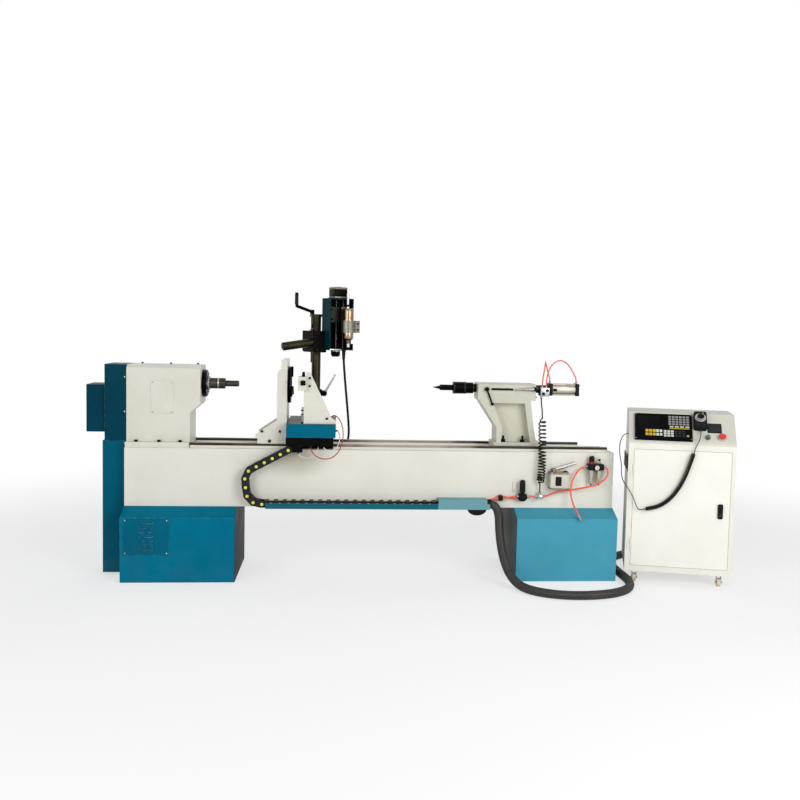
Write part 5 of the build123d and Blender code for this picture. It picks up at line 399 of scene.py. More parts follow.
white_plastic = moulded("white_moulding", "#dedcd3", "#d2d0c6", (0.3, 0.48), coat=0.1)
red_plastic = moulded("red_moulding", "#d63a31", "#c52f28", (0.2, 0.34), coat=0.35, scuff="#e0605a")
green_plastic = moulded("green_moulding", "#4f6f5b", "#44624f", (0.22, 0.36), coat=0.3)
cream_wheel = moulded("cream_wheel", "#d9cfae", "#c8bd99", (0.4, 0.6), 300.0, scuff="#a39a80")
finish_of = {
    "teal_paint": teal, "dark_teal_paint": dark_teal, "white_paint": warm_white, "cabinet_paint": cabinet_white,
    "black_metal": blackened, "dark_iron": dark_iron, "steel": bright_steel, "dark_steel": rail_steel,
    "aluminium": aluminium, "black_plastic": black_plastic, "black_rubber": black_rubber,
    "orange_tube": orange_tube, "white_plastic": white_plastic, "red_plastic": red_plastic,
    "green_plastic": green_plastic, "cream_wheel": cream_wheel,
}
print("finishes", len(finish_of))

# %% [markdown]
# ## Painting the solids
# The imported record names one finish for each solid. We read that list and give every solid its finish, so that
# none keeps a bare grey. Solids that need more than one colour are painted again or replaced further down.

# %% Give every solid its finish
def paint(finish, *nodes):
    for name in nodes:
        for holder in frame["nodes"][name].material_slots:
            holder.material = finish


for row in frame["record"]["subparts"]:
    paint(finish_of[row["material_slot"]], row["node"])

# %% [markdown]
# ## Shapes for the added pieces
# Nearly every small piece of a machine is either turned on a lathe or cut from a block. So two helpers do most
# of the work: one spins a profile about an axis, and one makes a block with softened edges. Both work in the
# drawing's millimetres, and a third gathers several of them into one mesh, at its place in the shared frame,
# shaded smooth with the sharp corners kept.

# %% Turned shapes and blocks
def turned(profile, centre=(0, 0, 0), axis="Z", sides=28, hexagon=False, knurl=0.0):
    """Spins (along, radius) pairs about an axis, as a hexagon or with a knurled rim if that is asked for."""
    shape, rings, sixth = bmesh.new(), [], math.pi / 3
    for along, radius in profile:
        ring = []
        for k in range(sides if radius > 0 else 1):
            a = 2 * math.pi * k / sides
            r = radius * (math.cos(math.pi / 6) / math.cos((a % sixth) - math.pi / 6) if hexagon else 1)
            r *= 1 - knurl * (k % 2)
            u, v = r * math.cos(a), r * math.sin(a)
            spot = {"Z": (u, v, along), "X": (along, u, v), "Y": (v, along, u)}[axis]
            ring.append(shape.verts.new(Vector(spot) + Vector(centre)))
        rings.append(ring)
    for low, high in zip(rings, rings[1:]):
        for k in range(sides):
            n = (k + 1) % sides
            around = [low[k % len(low)], low[n % len(low)], high[n % len(high)], high[k % len(high)]]
            face = list(dict.fromkeys(around))
            if len(face) > 2:
                shape.faces.new(face)
    for ring, way in ((rings[0], -1), (rings[-1], 1)):
        if len(ring) > 1:
            shape.faces.new(ring[::way])
    if profile[-1][0] < profile[0][0]:
        bmesh.ops.reverse_faces(shape, faces=shape.faces[:])
    return shape


def block(low, high, soft=1.0, steps=2):
    """A block between two corners with softened edges."""
    shape = bmesh.new()
    bmesh.ops.create_cube(shape, size=1.0)
    size = [b - a for a, b in zip(low, high)]
    for v in shape.verts:
        v.co = Vector([a + s * (c + 0.5) for a, s, c in zip(low, size, v.co)])
    if soft:
        soft = min(soft, 0.45 * min(size))
        bmesh.ops.bevel(shape, geom=shape.edges[:], offset=soft, segments=steps, profile=0.5, affect="EDGES")
    return shape


def aimed(shape, way, spot):
    """Turns a shape made along Z to point another way, and sets its start on a spot."""
    spin = Vector((0, 0, 1)).rotation_difference(Vector(way).normalized())
    for v in shape.verts:
        v.co = spin @ v.co + Vector(spot)
    return shape


def rod(start, end, radius, sides=16, ball=0.0):
    """A round bar between two points, with eased ends and a ball on its far end if one is asked for."""
    line = Vector(end) - Vector(start)
    long, ease = line.length, min(radius * 0.3, 1.2)
    profile = [(0, radius - ease), (ease, radius), (long - ease, radius), (long, radius - ease)]
    if ball:
        turns = [math.pi * k / 8 for k in range(1, 8)]
        globe = [(long - ball * math.cos(t), max(ball * math.sin(t), radius)) for t in turns]
        profile = profile[:2] + [(long - ball, radius)] + globe + [(long + ball, 0)]
    return aimed(turned(profile, sides=sides), line, start)


print("turned shapes, blocks and rods")

# %% Gathering shapes into one piece
SHARP = math.radians(35)


def spun(finish, centre, axis, sides, *profile, **more):
    """A turned shape with its finish. The profile is (along, radius) pairs from one end to the other."""
    return turned(profile, centre, axis, sides, **more), finish


def cut(finish, low, high, soft=1.0, steps=2):
    """A block with its finish."""
    return block(low, high, soft, steps), finish


def gather(name, shapes, body, place=at, stands_for=()):
    """Makes one piece of several (shape, finish) pairs, riding on a body."""
    mesh, whole = bpy.data.meshes.new(name), bmesh.new()
    finishes = list(dict.fromkeys(finish for _, finish in shapes))
    for shape, finish in shapes:
        for v in shape.verts:
            v.co = place(*v.co)
        for face in shape.faces:
            face.material_index = finishes.index(finish)
        part = bpy.data.meshes.new("part")
        shape.to_mesh(part)
        whole.from_mesh(part)
        bpy.data.meshes.remove(part)
        shape.free()
    for face in whole.faces:
        face.smooth = True
    for line in whole.edges:
        if len(line.link_faces) == 2 and line.calc_face_angle() > SHARP:
            line.smooth = False
    whole.to_mesh(mesh)
    whole.free()
    for finish in finishes:
        mesh.materials.append(finish)
    piece = show(name, mesh)
    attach(piece, body)
    if stands_for:
        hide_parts(*stands_for)
    return piece


print("shape helpers ready")

# %% [markdown]
# ## Air tubes, leads and the big conduit
# A tube or cable of a fixed length hangs and lies in one smooth line. Each is a NURBS curve whose control
# points are the points of its route, so that it flows past them and has no corners. The curve's own bevel gives
# it its thickness. Those that cross a moving joint are turned into meshes that follow the same curve.

# %% One smooth curve for each route
def route(name, points, radius=0.0, finish=None, fine=8):
    data = bpy.data.curves.new(name, "CURVE")
    data.dimensions, data.resolution_u = "3D", fine
    line = data.splines.new("NURBS")
    line.points.add(len(points) - 1)
    for knot, point in zip(line.points, points):
        knot.co = (*point, 1.0)
    line.order_u, line.use_endpoint_u = 3, True
    data.bevel_depth, data.bevel_resolution, data.use_fill_caps = radius, 4, radius > 0
    if finish:
        data.materials.append(finish)
    return show(name, data)


def plain_mesh(carrier, name):
    """The evaluated shape of an object as a plain mesh object; the carrier is removed."""
    bpy.context.view_layer.update()
    mesh = bpy.data.meshes.new_from_object(carrier.evaluated_get(bpy.context.evaluated_depsgraph_get()))
    mesh.name = name
    piece = show(name, mesh)
    bpy.data.objects.remove(carrier)
    piece.name = name
    return piece


def centre_line(points, fine=8):
    """Points along the smooth curve of a route, as Blender evaluates it."""
    thread = plain_mesh(route("thread", points, fine=fine), "thread_line")
    spots = [v.co.copy() for v in thread.data.vertices]
    bpy.data.objects.remove(thread)
    return spots


def mm(*points, place=at):
    return [place(*p) for p in points]


supply = mm((2336, -196, 661), (2304, -196, 661), (2272, -202, 628), (2246, -208, 584), (2234, -214, 534),
            (2236, -226, 485), (2246, -248, 444), (2258, -270, 414), (2270, -290, 388))
filter_to_tee = mm((2430, -196, 661), (2446, -196, 661), (2458, -203, 640), (2454, -214, 612), (2432, -225, 586),
                   (2396, -230, 565), (2350, -226, 549), (2290, -213, 534), (2230, -202, 522), (2165, -200, 515),
                   (2122, -197, 498), (2094, -191, 483), (2069, -191, 483))
tray_upper = mm((1926, -210, 486), (1906, -210, 486), (1878, -208, 478), (1840, -202, 475), (1802, -193, 467),
                (1769, -183, 456), (1739, -183, 456))
tray_lower = mm((1926, -190, 468), (1906, -190, 468), (1878, -189, 474), (1840, -184, 479), (1802, -177, 470),
                (1769, -171, 456), (1739, -171, 456))
near_port = mm((2084, -40, 1112), (2084, -40, 1132), (2086, -44, 1168), (2091, -48, 1212), (2096, -46, 1244),
               (2100, -32, 1262), (2105, -12, 1266), (2112, 4, 1252), (2121, 9, 1220), (2131, 6, 1186),
               (2137.5, 0, 1159), (2137.5, 0, 1137))
far_port = mm((2108, -40, 1112), (2108, -40, 1132), (2110, -39, 1168), (2118, -38, 1206), (2136, -35, 1243),
              (2164, -30, 1269), (2198, -24, 1277), (2232, -17, 1262), (2260, -10, 1232), (2281, -5, 1198),
              (2294, -2, 1174), (2299.5, 0, 1157), (2299.5, 0, 1137))
print("route of", len(far_port), "points")

# %% End fittings and the tubes that stay with one body
FITTING, START, BOTH_ENDS = 12, (0,), (0, -1)
collar_black = moulded("black_collar", "#1b1c1e", "#26272a", (0.25, 0.4), coat=0.2, scuff="#4a4b4d")


def push_fitting(spot, way, radius, long):
    """A push-in fitting: a metal barrel with a groove, and a dark release collar where the tube goes in."""
    r = radius
    barrel = turned([(0, r * 0.8), (0.6, r), (long * 0.3, r), (long * 0.34, r * 0.9), (long * 0.42, r * 0.9),
                     (long * 0.46, r), (long * 0.68, r), (long * 0.7, r * 0.82)], sides=20)
    collar = turned([(long * 0.7, r * 0.84), (long * 0.94, r * 0.84), (long, r * 0.72)], sides=20)
    return [(aimed(barrel, way, spot * 1000), bright_steel), (aimed(collar, way, spot * 1000), collar_black)]


def way_out(points, end):
    """The way that a route leaves one of its ends."""
    return points[1] - points[0] if end == 0 else points[-2] - points[-1]


def air_tube(name, points, radius, finish, body):
    tube = route(name, points, radius / 1000, finish)
    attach(tube, body)
    return tube


coupling = turned([(-2, 6), (-1, 8.2), (8, 8.2), (9, 9), (20, 9), (21, 7.6), (23, 7.6), (24, 8.6), (31, 8.6),
                   (32, 6.6), (36, 6.6), (36, 4.2), (30, 4.2), (30, 0)], sides=24)
aimed(coupling, supply[-1] - supply[-2], supply[-1] * 1000)
supply_coupling = gather("supply_coupling", [(coupling, bright_steel)], "frame")
# tube, its fittings, route, radius, the fittings' radius, length, body and the ends with a fitting
for name, end_name, points, radius, wide, long, body, ends in (
    ("supply_tube", "supply_fitting", supply, 5, 8, 351, "frame", START),
    ("filter_tube", "filter_tube_fittings", filter_to_tee, 5, 8, 488, "frame", BOTH_ENDS),
    ("upper_tray_tube", "upper_tray_fitting", tray_upper, 5, 8, 193, "frame", START),
    ("lower_tray_tube", "lower_tray_fitting", tray_lower, 5, 8, 192, "frame", START),
    ("near_port_tube", "near_port_fittings", near_port, 4, 7, 316, "tailstock", BOTH_ENDS),
    ("far_port_tube", "far_port_fittings", far_port, 4, 7, 392, "tailstock", BOTH_ENDS),
):
    shapes = [s for end in ends for s in push_fitting(points[end], way_out(points, end), wide, FITTING)]
    fittings, far_end = [gather(end_name, shapes, body)], "object"
    if name == "supply_tube":
        fittings, far_end = [supply_coupling] + fittings, "fitting"
    air_tube(name, points, radius, orange_tube, body)
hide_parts("air_hoses")
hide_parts("cylinder_hoses")
tee_axis = (0, -191, 483)
gather("tee_nipple", [
    spun(orange_tube, tee_axis, "X", 20, (1980, 5), (2043, 5)),
    spun(bright_steel, tee_axis, "X", 20, (1980, 8), (1990, 8), (1991, 6.5), (1994, 6.5)),
    spun(bright_steel, tee_axis, "X", 20, (2029, 6.5), (2032, 6.5), (2033, 8), (2043, 8)),
], "frame")

# %% [markdown]
# ## Curly cords
# The hand pendant's cord and the tailstock's air tube are curly: wound on a mandrel when they were made, so
# that they stretch and spring back. The turns are further points of the same curve. They wind about points read
# from the smooth line that the cord hangs in. The first and the last turn are drawn out, so that the straight
# lead runs into the curl without a kink.

# %% Turns wound about a hanging line
def held(x):
    return min(max(x, 0.0), 1.0)


def eased(x):
    return held(x) ** 2 * (3 - 2 * held(x))


WIDER = 1.02  # the smooth curve runs a little inside its control points


def curls(hang, turns, ring, across, stretch, lead, per_turn=12):
    """Control points of a helix about a hanging line, its first and last turn drawn out over a lead."""
    spots = centre_line(hang, fine=24)
    reach = [0.0]
    for a, b in zip(spots, spots[1:]):
        reach.append(reach[-1] + (b - a).length)
    made, k = [], 0
    for n in range(turns * per_turn + 1):
        t = n / (turns * per_turn)
        head, foot = min(t * turns, 1.0), min((1 - t) * turns, 1.0)
        inner = held((t * turns - 1) / (turns - 2))
        goal = lead * head * (2 - head) + lead * (1 - foot) ** 2
        goal += (reach[-1] - 2 * lead) * (inner + stretch * inner * (1 - inner))
        while k < len(spots) - 2 and reach[k + 1] < goal:
            k += 1
        share = (goal - reach[k]) / max(reach[k + 1] - reach[k], 1e-9)
        along = (spots[k + 1] - spots[k]).normalized()
        side = (across - along * across.dot(along)).normalized()
        a, wide = 2 * math.pi * turns * t, ring * WIDER * eased(t * turns) * eased((1 - t) * turns)
        round_it = (side * math.cos(a) + along.cross(side) * math.sin(a)) * wide
        made.append(spots[k].lerp(spots[k + 1], share) + round_it)
    return made, (spots[1] - spots[0]).normalized(), (spots[-1] - spots[-2]).normalized()


def bent_tube(name, points, radius, finish, fine=8):
    """A tube as a mesh, and the line that it follows."""
    return plain_mesh(route(name, points, radius, finish, fine), name), centre_line(points, fine)


print("curl helpers ready")

# %% The coiled air tube
coil_top, coil_foot = at(2078, -50, 1060), at(2056, -191, 496)
coil_hang = mm((2075, -106, 950), (2069, -150, 868), (2064, -186, 778), (2062, -204, 690), (2060, -206, 628),
               (2058, -200, 590), (2056, -191, 558), (2056, -191, 536))
coil_turns, coil_in, _ = curls(coil_hang, turns=20, ring=0.020, across=Vector((1, 0, 0)), stretch=0.3, lead=0.040)
coil_points = [coil_top] + mm((2078, -50, 1036), (2078, -68, 1003))
coil_points += [coil_turns[0] - coil_in * 0.040] + coil_turns + [coil_foot]
coil_tube, coil_line = bent_tube("coiled_air_tube", coil_points, 0.004, black_rubber, fine=4)
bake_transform(coil_tube)
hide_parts("coil_hose")
coil_ends = [gather("coil_top_fitting", push_fitting(coil_top, (0, 0, -1), 7, 14), "tailstock"),
             gather("coil_foot_fitting", push_fitting(coil_foot, (0, 0, 1), 7, 14), "frame")]
print("coil points", len(coil_points))

# %% The pendant's curly cord
pendant_hang = mm((366, -20, 792), (341, -20, 707), (313, -20, 625), (270, -20, 545), (222, -20, 491),
                  (164, -20, 455), (90, -20, 442), place=on_cabinet)
cabinet_back = on_cabinet(0, 1, 0) - on_cabinet(0, 0, 0)
pendant_turns, pendant_in, pendant_out = curls(pendant_hang, turns=70, ring=0.010, across=cabinet_back.normalized(),
                                               stretch=0.0, lead=0.020)
pendant_points = [on_desk(403, 107.016, 19), on_desk(403, 73.016, 19), on_cabinet(394, -10, 856)]
pendant_points += [pendant_turns[0] - pendant_in * 0.025, *pendant_turns, pendant_turns[-1] + pendant_out * 0.025]
pendant_points += mm((52, -20, 462), (34, -20, 510), (2, -20, 562), (-28, -12, 600), (-38, 4, 641), (-36, 22, 682),
                     (-46, 38, 728), (-53, 52, 780), (-46, 66, 830), (-26, 75, 866), (0, 75, 866), place=on_cabinet)
pendant_cord, pendant_line = bent_tube("pendant_curly_cord", pendant_points, 0.0025, black_rubber, fine=3)
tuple(on_cabinet(200, 0, 830))
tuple(on_cabinet(200, 0, 600))
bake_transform(pendant_cord)
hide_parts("pendant_cord")
print("pendant cord points", len(pendant_points))

# %% [markdown]
# ## Ribbed conduit
# The thick black hose that takes the wires across the floor to the cabinet is a corrugated conduit: its wall
# goes in and out every few millimetres, so that it bends without kinking. A node tree resamples the smooth
# curve in short steps, makes every third step narrower, and sweeps a circle along it.

# %% A node tree for ribs, and running one on an object
def send_out(tree, geometry, given, out):
    """Makes copies real, gives them the finish and sends them out of a node tree."""
    real = wire(tree, "GeometryNodeRealizeInstances", {0: geometry})
    tree.links.new(wire(tree, "GeometryNodeSetMaterial", {"Geometry": real, "Material": given["Finish"]}), out[0])


ribs, given, out = new_group(
    "ribbed_hose",
    SHAPE,
    {"Route": "Geometry", "Step": 0.003, "Radius": 0.025, "Groove": 0.08, "Finish": "Material"},
    {"Hose": "Geometry"},
)
steps = wire(ribs, "GeometryNodeResampleCurve", {"Curve": given["Route"], "Length": given["Step"]}, mode="LENGTH")
third = maths(ribs, "MODULO", wire(ribs, "GeometryNodeInputIndex"), 3.0)
cut_in = maths(ribs, "MULTIPLY", maths(ribs, "GREATER_THAN", third, 1.5), given["Groove"])
ring_of = wire(ribs, "GeometryNodeCurvePrimitiveCircle", {"Resolution": 20, "Radius": given["Radius"]})
swept = wire(ribs, "GeometryNodeCurveToMesh", {
    "Curve": steps, "Profile Curve": ring_of, "Scale": maths(ribs, "SUBTRACT", 1.0, cut_in), "Fill Caps": True,
})
send_out(ribs, wire(ribs, "GeometryNodeSetShadeSmooth", {0: swept}), given, out)


def with_nodes(carrier, tree, values, name):
    """Runs a node tree on an object and keeps the result as a plain mesh."""
    runner = carrier.modifiers.new("nodes", "NODES")
    runner.node_group = tree
    sockets = [s for s in tree.interface.items_tree if s.item_type == "SOCKET" and s.in_out == "INPUT"]
    named = {s.name: s.identifier for s in sockets}
    for label, value in values.items():
        runner[named[label]] = value
    return plain_mesh(carrier, name)


print("ribs ready")

# %% Conduit swept along its route
conduit_points = mm(
    (1739, -219, 442), (1787, -219, 442), (1812, -225, 383.6), (1812, -250, 300.2), (1816, -294, 216.8),
    (1830, -345, 133.4), (1856, -402, 66.7), (1896, -474, 29), (1948, -560, 25), (2030, -624, 25), (2120, -656, 25),
    (2214, -664, 25), (2318, -650, 25), (2416, -612, 25), (2498, -542, 25), (2546, -442, 25), (2560, -330, 25),
    (2557, -220, 25), (2555, -108, 25), (2560, 2, 25), (2578, 106, 25), (2624, 200, 25), (2708, 268, 27),
    (2812, 296, 43), (2914, 278, 83), (2984, 214, 119),
) + mm((330, 560, 125), (330, 450, 125), place=on_cabinet)
conduit_black = moulded("conduit_black", "#2b2a28", "#383632", (0.36, 0.54), 260.0, scuff="#55534d")
conduit = with_nodes(route("conduit_route", conduit_points, fine=16), ribs,
                     {"Step": 0.003, "Radius": 0.025, "Groove": 0.09, "Finish": conduit_black}, "floor_conduit")
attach(conduit, "frame")
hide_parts("conduit_hose")
gland = turned([(0, 34), (6, 34), (7, 31), (10, 31), (11, 29.5), (26, 28), (28, 26.5)], sides=32)
aimed(gland, on_cabinet(330, 460, 125) - on_cabinet(330, 450, 125), on_cabinet(330, 450, 125) * 1000)
sleeve = spun(black_plastic, (0, -219, 442), "X", 32, (1739, 26.5), (1748, 26.5), (1749, 26.2), (1764, 25.8),
              (1766, 25.2))
conduit_ends = [gather("conduit_gland", [(gland, black_plastic)], "frame"),
                gather("conduit_tray_sleeve", [sleeve], "frame")]
centre_line(conduit_points, 16)
print("conduit faces", len(conduit.data.polygons))

# %% [markdown]
# ## Leads on the carriage
# Three thin leads loop out from under the saddle to the tool bracket and the slide, and one thicker cable hangs
# from the router's case behind the bed. The slide and the arm move, so three of the four cross a joint: the
# boots at their lower ends ride on the part below, and those at their upper ends on the part above.

# %% Routes of the leads, and their boots
red_lead = moulded("red_lead", "#b5332c", "#a12b25", (0.3, 0.45), 300.0, coat=0.1)
white_lead = moulded("white_lead", "#d8d7d0", "#cbc9c1", (0.3, 0.45), 300.0, coat=0.1)
first_lead = mm((654, -205, 730.3), (654, -205, 718.3), (672, -207, 704.3), (692, -209, 697.3), (716, -210, 699.3),
                (740, -210, 711.3), (758, -209, 730.3), (766, -208, 750.3), (766, -208, 768.3))
second_lead = mm((724, -217, 768.3), (724, -217, 752.3), (732, -226, 734.3), (753, -233, 712.3), (785, -238, 697.3),
                 (820, -240, 696.3), (852, -240, 708.3), (878, -240, 733.3), (896, -240, 768.3), (905, -238, 812.3),
                 (906, -230, 858.3), (895, -212, 902.3), (872, -184, 934.3), (848, -160, 940.3), (838, -148, 924.3),
                 (838, -148, 907))
third_lead = mm((796, -206, 768.3), (796, -206, 756.3), (806, -211, 746.3), (828, -216, 740.3), (852, -218, 744.3),
                (872, -216, 760.3), (884, -209, 786.3), (888, -198, 816.3), (884, -187, 840.3), (875, -182, 852.3),
                (863, -182, 852.3))
for name, points, body, ends in (
    ("first_lead_ends", first_lead, "carriage", BOTH_ENDS),
    ("second_lead_foot", second_lead, "carriage", START),
    ("second_lead_head", second_lead, "cross_slide", (-1,)),
    ("third_lead_foot", third_lead, "carriage", START),
    ("third_lead_head", third_lead, "cross_slide", (-1,)),
):
    shapes = []
    for end in ends:
        boot = turned([(0, 6.2), (3, 6.2), (3.6, 5.2), (11, 3.6)], sides=18)
        shapes.append((aimed(boot, way_out(points, end), points[end] * 1000), black_plastic))
    gather(name, shapes, body)

# %% Leads and the router's cable
first = air_tube("first_lead", first_lead, 3, white_lead, "carriage")
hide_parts("carriage_cables")
for name, points, finish, long, low, high in (
    ("second_lead", second_lead, red_lead, 0.505, at(800, -230, 700), at(800, -230, 880)),
    ("third_lead", third_lead, white_lead, 0.213, at(800, -210, 745), at(800, -210, 850)),
):
    lead, line = bent_tube(name, points, 0.003, finish)
    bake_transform(lead)
cable_points = mm((902.6, 190.4, 1303), (902.6, 190.4, 1247), (908, 199, 1180), (917, 212, 1084), (928, 228, 978),
                  (938, 244, 876), (944, 255, 788), (934, 258, 726), (902, 254, 692), (860, 246, 688),
                  (818, 238, 704), (782, 232, 716), (750, 232, 716))
relief = spun(black_rubber, (902.6, 190.4, 0), "Z", 22, (1303, 13), (1296, 13), (1295, 11.5), (1262, 9.5),
              (1246, 8.2))
foot_relief = spun(black_rubber, (0, 232, 716), "X", 22, (750, 12), (757, 12), (758, 10.5), (780, 8.4))
cable_ends = [gather("router_cable_relief", [relief], "lift"), gather("router_cable_foot", [foot_relief], "carriage")]
cable, cable_line = bent_tube("router_cable", cable_points, 0.007, black_rubber)
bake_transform(cable)
print("cable points", len(cable_points))

# %% [markdown]
# ## Finishes that change along a piece
# The bed's ways are enamelled with the bed on their lower half and bare above, dark at both ends, and given a
# painted reflection between the carriage and the tailstock. A painted shadow darkens the bed under the carriage.
# The chain's tray is paler at its covered end, the pedestals' inner sides and the slide table's top carry painted
# shade, the cabinet's desk is a little darker than its front, and the router's case is black inside and a darker
# blue-green outside, a painted shade. Each is one solid, so the change is made in the finish: by a mask from the
# Object coordinate, or, on the arm, by a Mapping node that turns the coordinate with it.

# %% Masks, and a finish that turns to another colour
along_bed, given, out = new_group("along_bed", SHADER, {"Start": 0.0, "End": 1.0, "Ragged": 0.2}, MASK)
where = own_place(along_bed)
run = put(along_bed, "ShaderNodeSeparateXYZ", {0: where}).outputs["X"]
lean = maths(along_bed, "SUBTRACT", noise(along_bed, where, 6.0, 4.0), 0.5)
moved = maths(along_bed, "MULTIPLY_ADD", lean, given["Ragged"], run)
along_bed.links.new(carry(along_bed, moved, given["Start"], given["End"], way="SMOOTHSTEP"), out["Mask"])


def turn_to(finish, mask, colour, share=1.0):
    """Lets a finish turn to another colour where a mask is 1."""
    tree, base = finish.node_tree, shader_of(finish)["Base Color"]
    before = base.links[0].from_socket
    tree.links.new(layered(tree, maths(tree, "MULTIPLY", mask, share), before, ink(colour)), base)


def side_mask(finish, axis, start, end):
    """A mask of 0 before start and 1 past end along one axis of the shared frame."""
    tree = finish.node_tree
    value = put(tree, "ShaderNodeSeparateXYZ", {0: own_place(tree)}).outputs[axis]
    return carry(tree, value, start, end)


def ragged(finish, start, end, rough=0.35):
    return use(finish.node_tree, along_bed, {"Start": start, "End": end, "Ragged": rough})[0]


ARM_CORNER = (ARM_ORIGIN[0] / 1000, ARM_ORIGIN[1] / 1000, 0.0)


def arm_axes(tree):
    """The arm's own x, y and z for a finish on it."""
    place = {"Vector": own_place(tree), "Location": ARM_CORNER, "Rotation": (0, 0, math.radians(ARM_TURN))}
    turned_spot = wire(tree, "ShaderNodeMapping", place, vector_type="TEXTURE")
    return put(tree, "ShaderNodeSeparateXYZ", {0: turned_spot}).outputs


print("masks ready")

# %% Ways, tray, pedestals, bed and cabinet
WAY_SPLIT, SHADED_SIDE_LEFT, SHADED_SIDE_RIGHT, TRAY_COVER, SLIDE_TOP = 0.754, 0.311, 1.9115, 1.4565, 0.892
# centre and spread of the painted shadow on the bed under the saddle
SADDLE_SHADOW_CENTRE, SADDLE_SHADOW_SPREAD = (0.64, 0.0, 0.69), (4.0, 0.0, 7.0)
ways = machined("bed_way_steel", "#4a463d", "#2b2822", (0.24, 0.46), (4.0, 260.0, 260.0), 4.0, "#77736a")
# painted reflection: the ways are painted lighter between the carriage and the tailstock, and stay dark at both ends
painted_reflection_band = maths(ways.node_tree, "MULTIPLY", ragged(ways, 0.85, 1.1), ragged(ways, 1.75, 1.5))
turn_to(ways, painted_reflection_band, "#b3a59a", 0.8)
enamelled = side_mask(ways, "Z", WAY_SPLIT + 0.0005, WAY_SPLIT - 0.0005)
turn_to(ways, enamelled, "#d8d6cb")
ways.node_tree.links.new(maths(ways.node_tree, "SUBTRACT", 1.0, enamelled), shader_of(ways)["Metallic"])
tray_enamel = sprayed("tray_enamel", "#17606c", "#145865", shine=0.06)
turn_to(tray_enamel, side_mask(tray_enamel, "X", TRAY_COVER - 0.0015, TRAY_COVER + 0.0015), "#6d9ca4", 0.9)
left_enamel = sprayed("left_pedestal_enamel", "#046f8b", "#036782", shine=0.012, dust=0.02)
# painted shade: the left pedestal's side facing the gap under the bed is painted near-black
turn_to(left_enamel, side_mask(left_enamel, "X", SHADED_SIDE_LEFT - 0.0005, SHADED_SIDE_LEFT + 0.0005), "#03090b")
# painted light: the right pedestal's enamel is a lighter copy of the blue-green, standing in for the stronger light
# at the machine's right end
lit_right_enamel = sprayed("right_pedestal_lit_enamel", "#4b9bb1", "#4393a9", shine=0.02, dust=0.03)
# painted shade: the right pedestal's side facing the gap under the bed is painted near-black
turn_to(lit_right_enamel, side_mask(lit_right_enamel, "X", SHADED_SIDE_RIGHT + 0.0005, SHADED_SIDE_RIGHT - 0.0005), "#050f12")
# painted shade: the slide table's top face is painted dark grey-green, darker than its sides
turn_to(slide_teal, side_mask(slide_teal, "Z", SLIDE_TOP - 0.0005, SLIDE_TOP + 0.0005), "#26322f")
bed_enamel = sprayed("bed_enamel", "#dfddd2", "#d7d5c9", SATIN, 0.25, edge_wear_and_glint="#b9b7ad")
tree = bed_enamel.node_tree
# painted shadow: a soft dark patch on the bed under the saddle
from_shadow_centre = vector_maths(tree, "SUBTRACT", own_place(tree), SADDLE_SHADOW_CENTRE)
reach = vector_maths(tree, "LENGTH", vector_maths(tree, "MULTIPLY", from_shadow_centre, SADDLE_SHADOW_SPREAD))
turn_to(bed_enamel, carry(tree, reach, 1.0, 0.1, way="SMOOTHSTEP"), "#8f8a76", 0.6)
shell_white = sprayed("cabinet_shell_coat", "#e6e4da", "#dfddd2", POWDER, edge_wear_and_glint="#cfcdc3")
turn_to(shell_white, side_mask(shell_white, "Z", 0.815, 0.845), "#cbc9bc", 0.9)
print("finishes that change on the bed and the cabinet", 7)

# %% Router case, dark bars, and painting the solids again
# painted shade: the case's outside is a darker copy of the blue-green enamel; its inside is painted black
shaded_case_enamel = sprayed("router_case_shaded_enamel", "#023039", "#022a32", shine=0.04, dust=0.0, edge_wear_and_glint="#3f5a5c")
tree = shaded_case_enamel.node_tree
arm = arm_axes(tree)
inside = maths(tree, "LESS_THAN", arm["Y"], -0.066)
for axis, middle, half in (("X", 0.084, 0.0745), ("Z", 1.4575, 0.1485)):
    gap = maths(tree, "ABSOLUTE", maths(tree, "SUBTRACT", arm[axis], middle))
    inside = maths(tree, "MULTIPLY", inside, maths(tree, "LESS_THAN", gap, half))
turn_to(shaded_case_enamel, inside, "#070808")
slide_iron = machined("router_slide_iron", "#8f8d82", "#6d6b61", (0.34, 0.5), (120.0, 120.0, 8.0), bright="#b4b2a6")
tree = slide_iron.node_tree
turn_to(slide_iron, maths(tree, "GREATER_THAN", arm_axes(tree)["Y"], -0.118), "#23221d", 0.92)
# painted reflection: the rim colours below darken the bar and the spindle toward their outlines
olive_bar = machined("olive_blackened_bar", "#3d392a", "#29261b", LEVEL, (160.0, 160.0, 5.0),
                     bright="#5d5848", rim="#0a0a08")
dark_spindle = machined("dark_spindle_steel", "#57504a", "#37322e", (0.24, 0.42), (320.0, 20.0, 20.0),
                        bright="#8d867e", rim="#1a1714")
sooty = machined("sooty_black_steel", "#11110f", "#0b0b0a", (0.34, 0.55), (120.0, 120.0, 120.0), bright="#3f3e38")
black_enamel = sprayed("black_enamel", "#0c0c0b", "#100f0e", shine=0.02, dust=0.0, edge_wear_and_glint="#33322d")
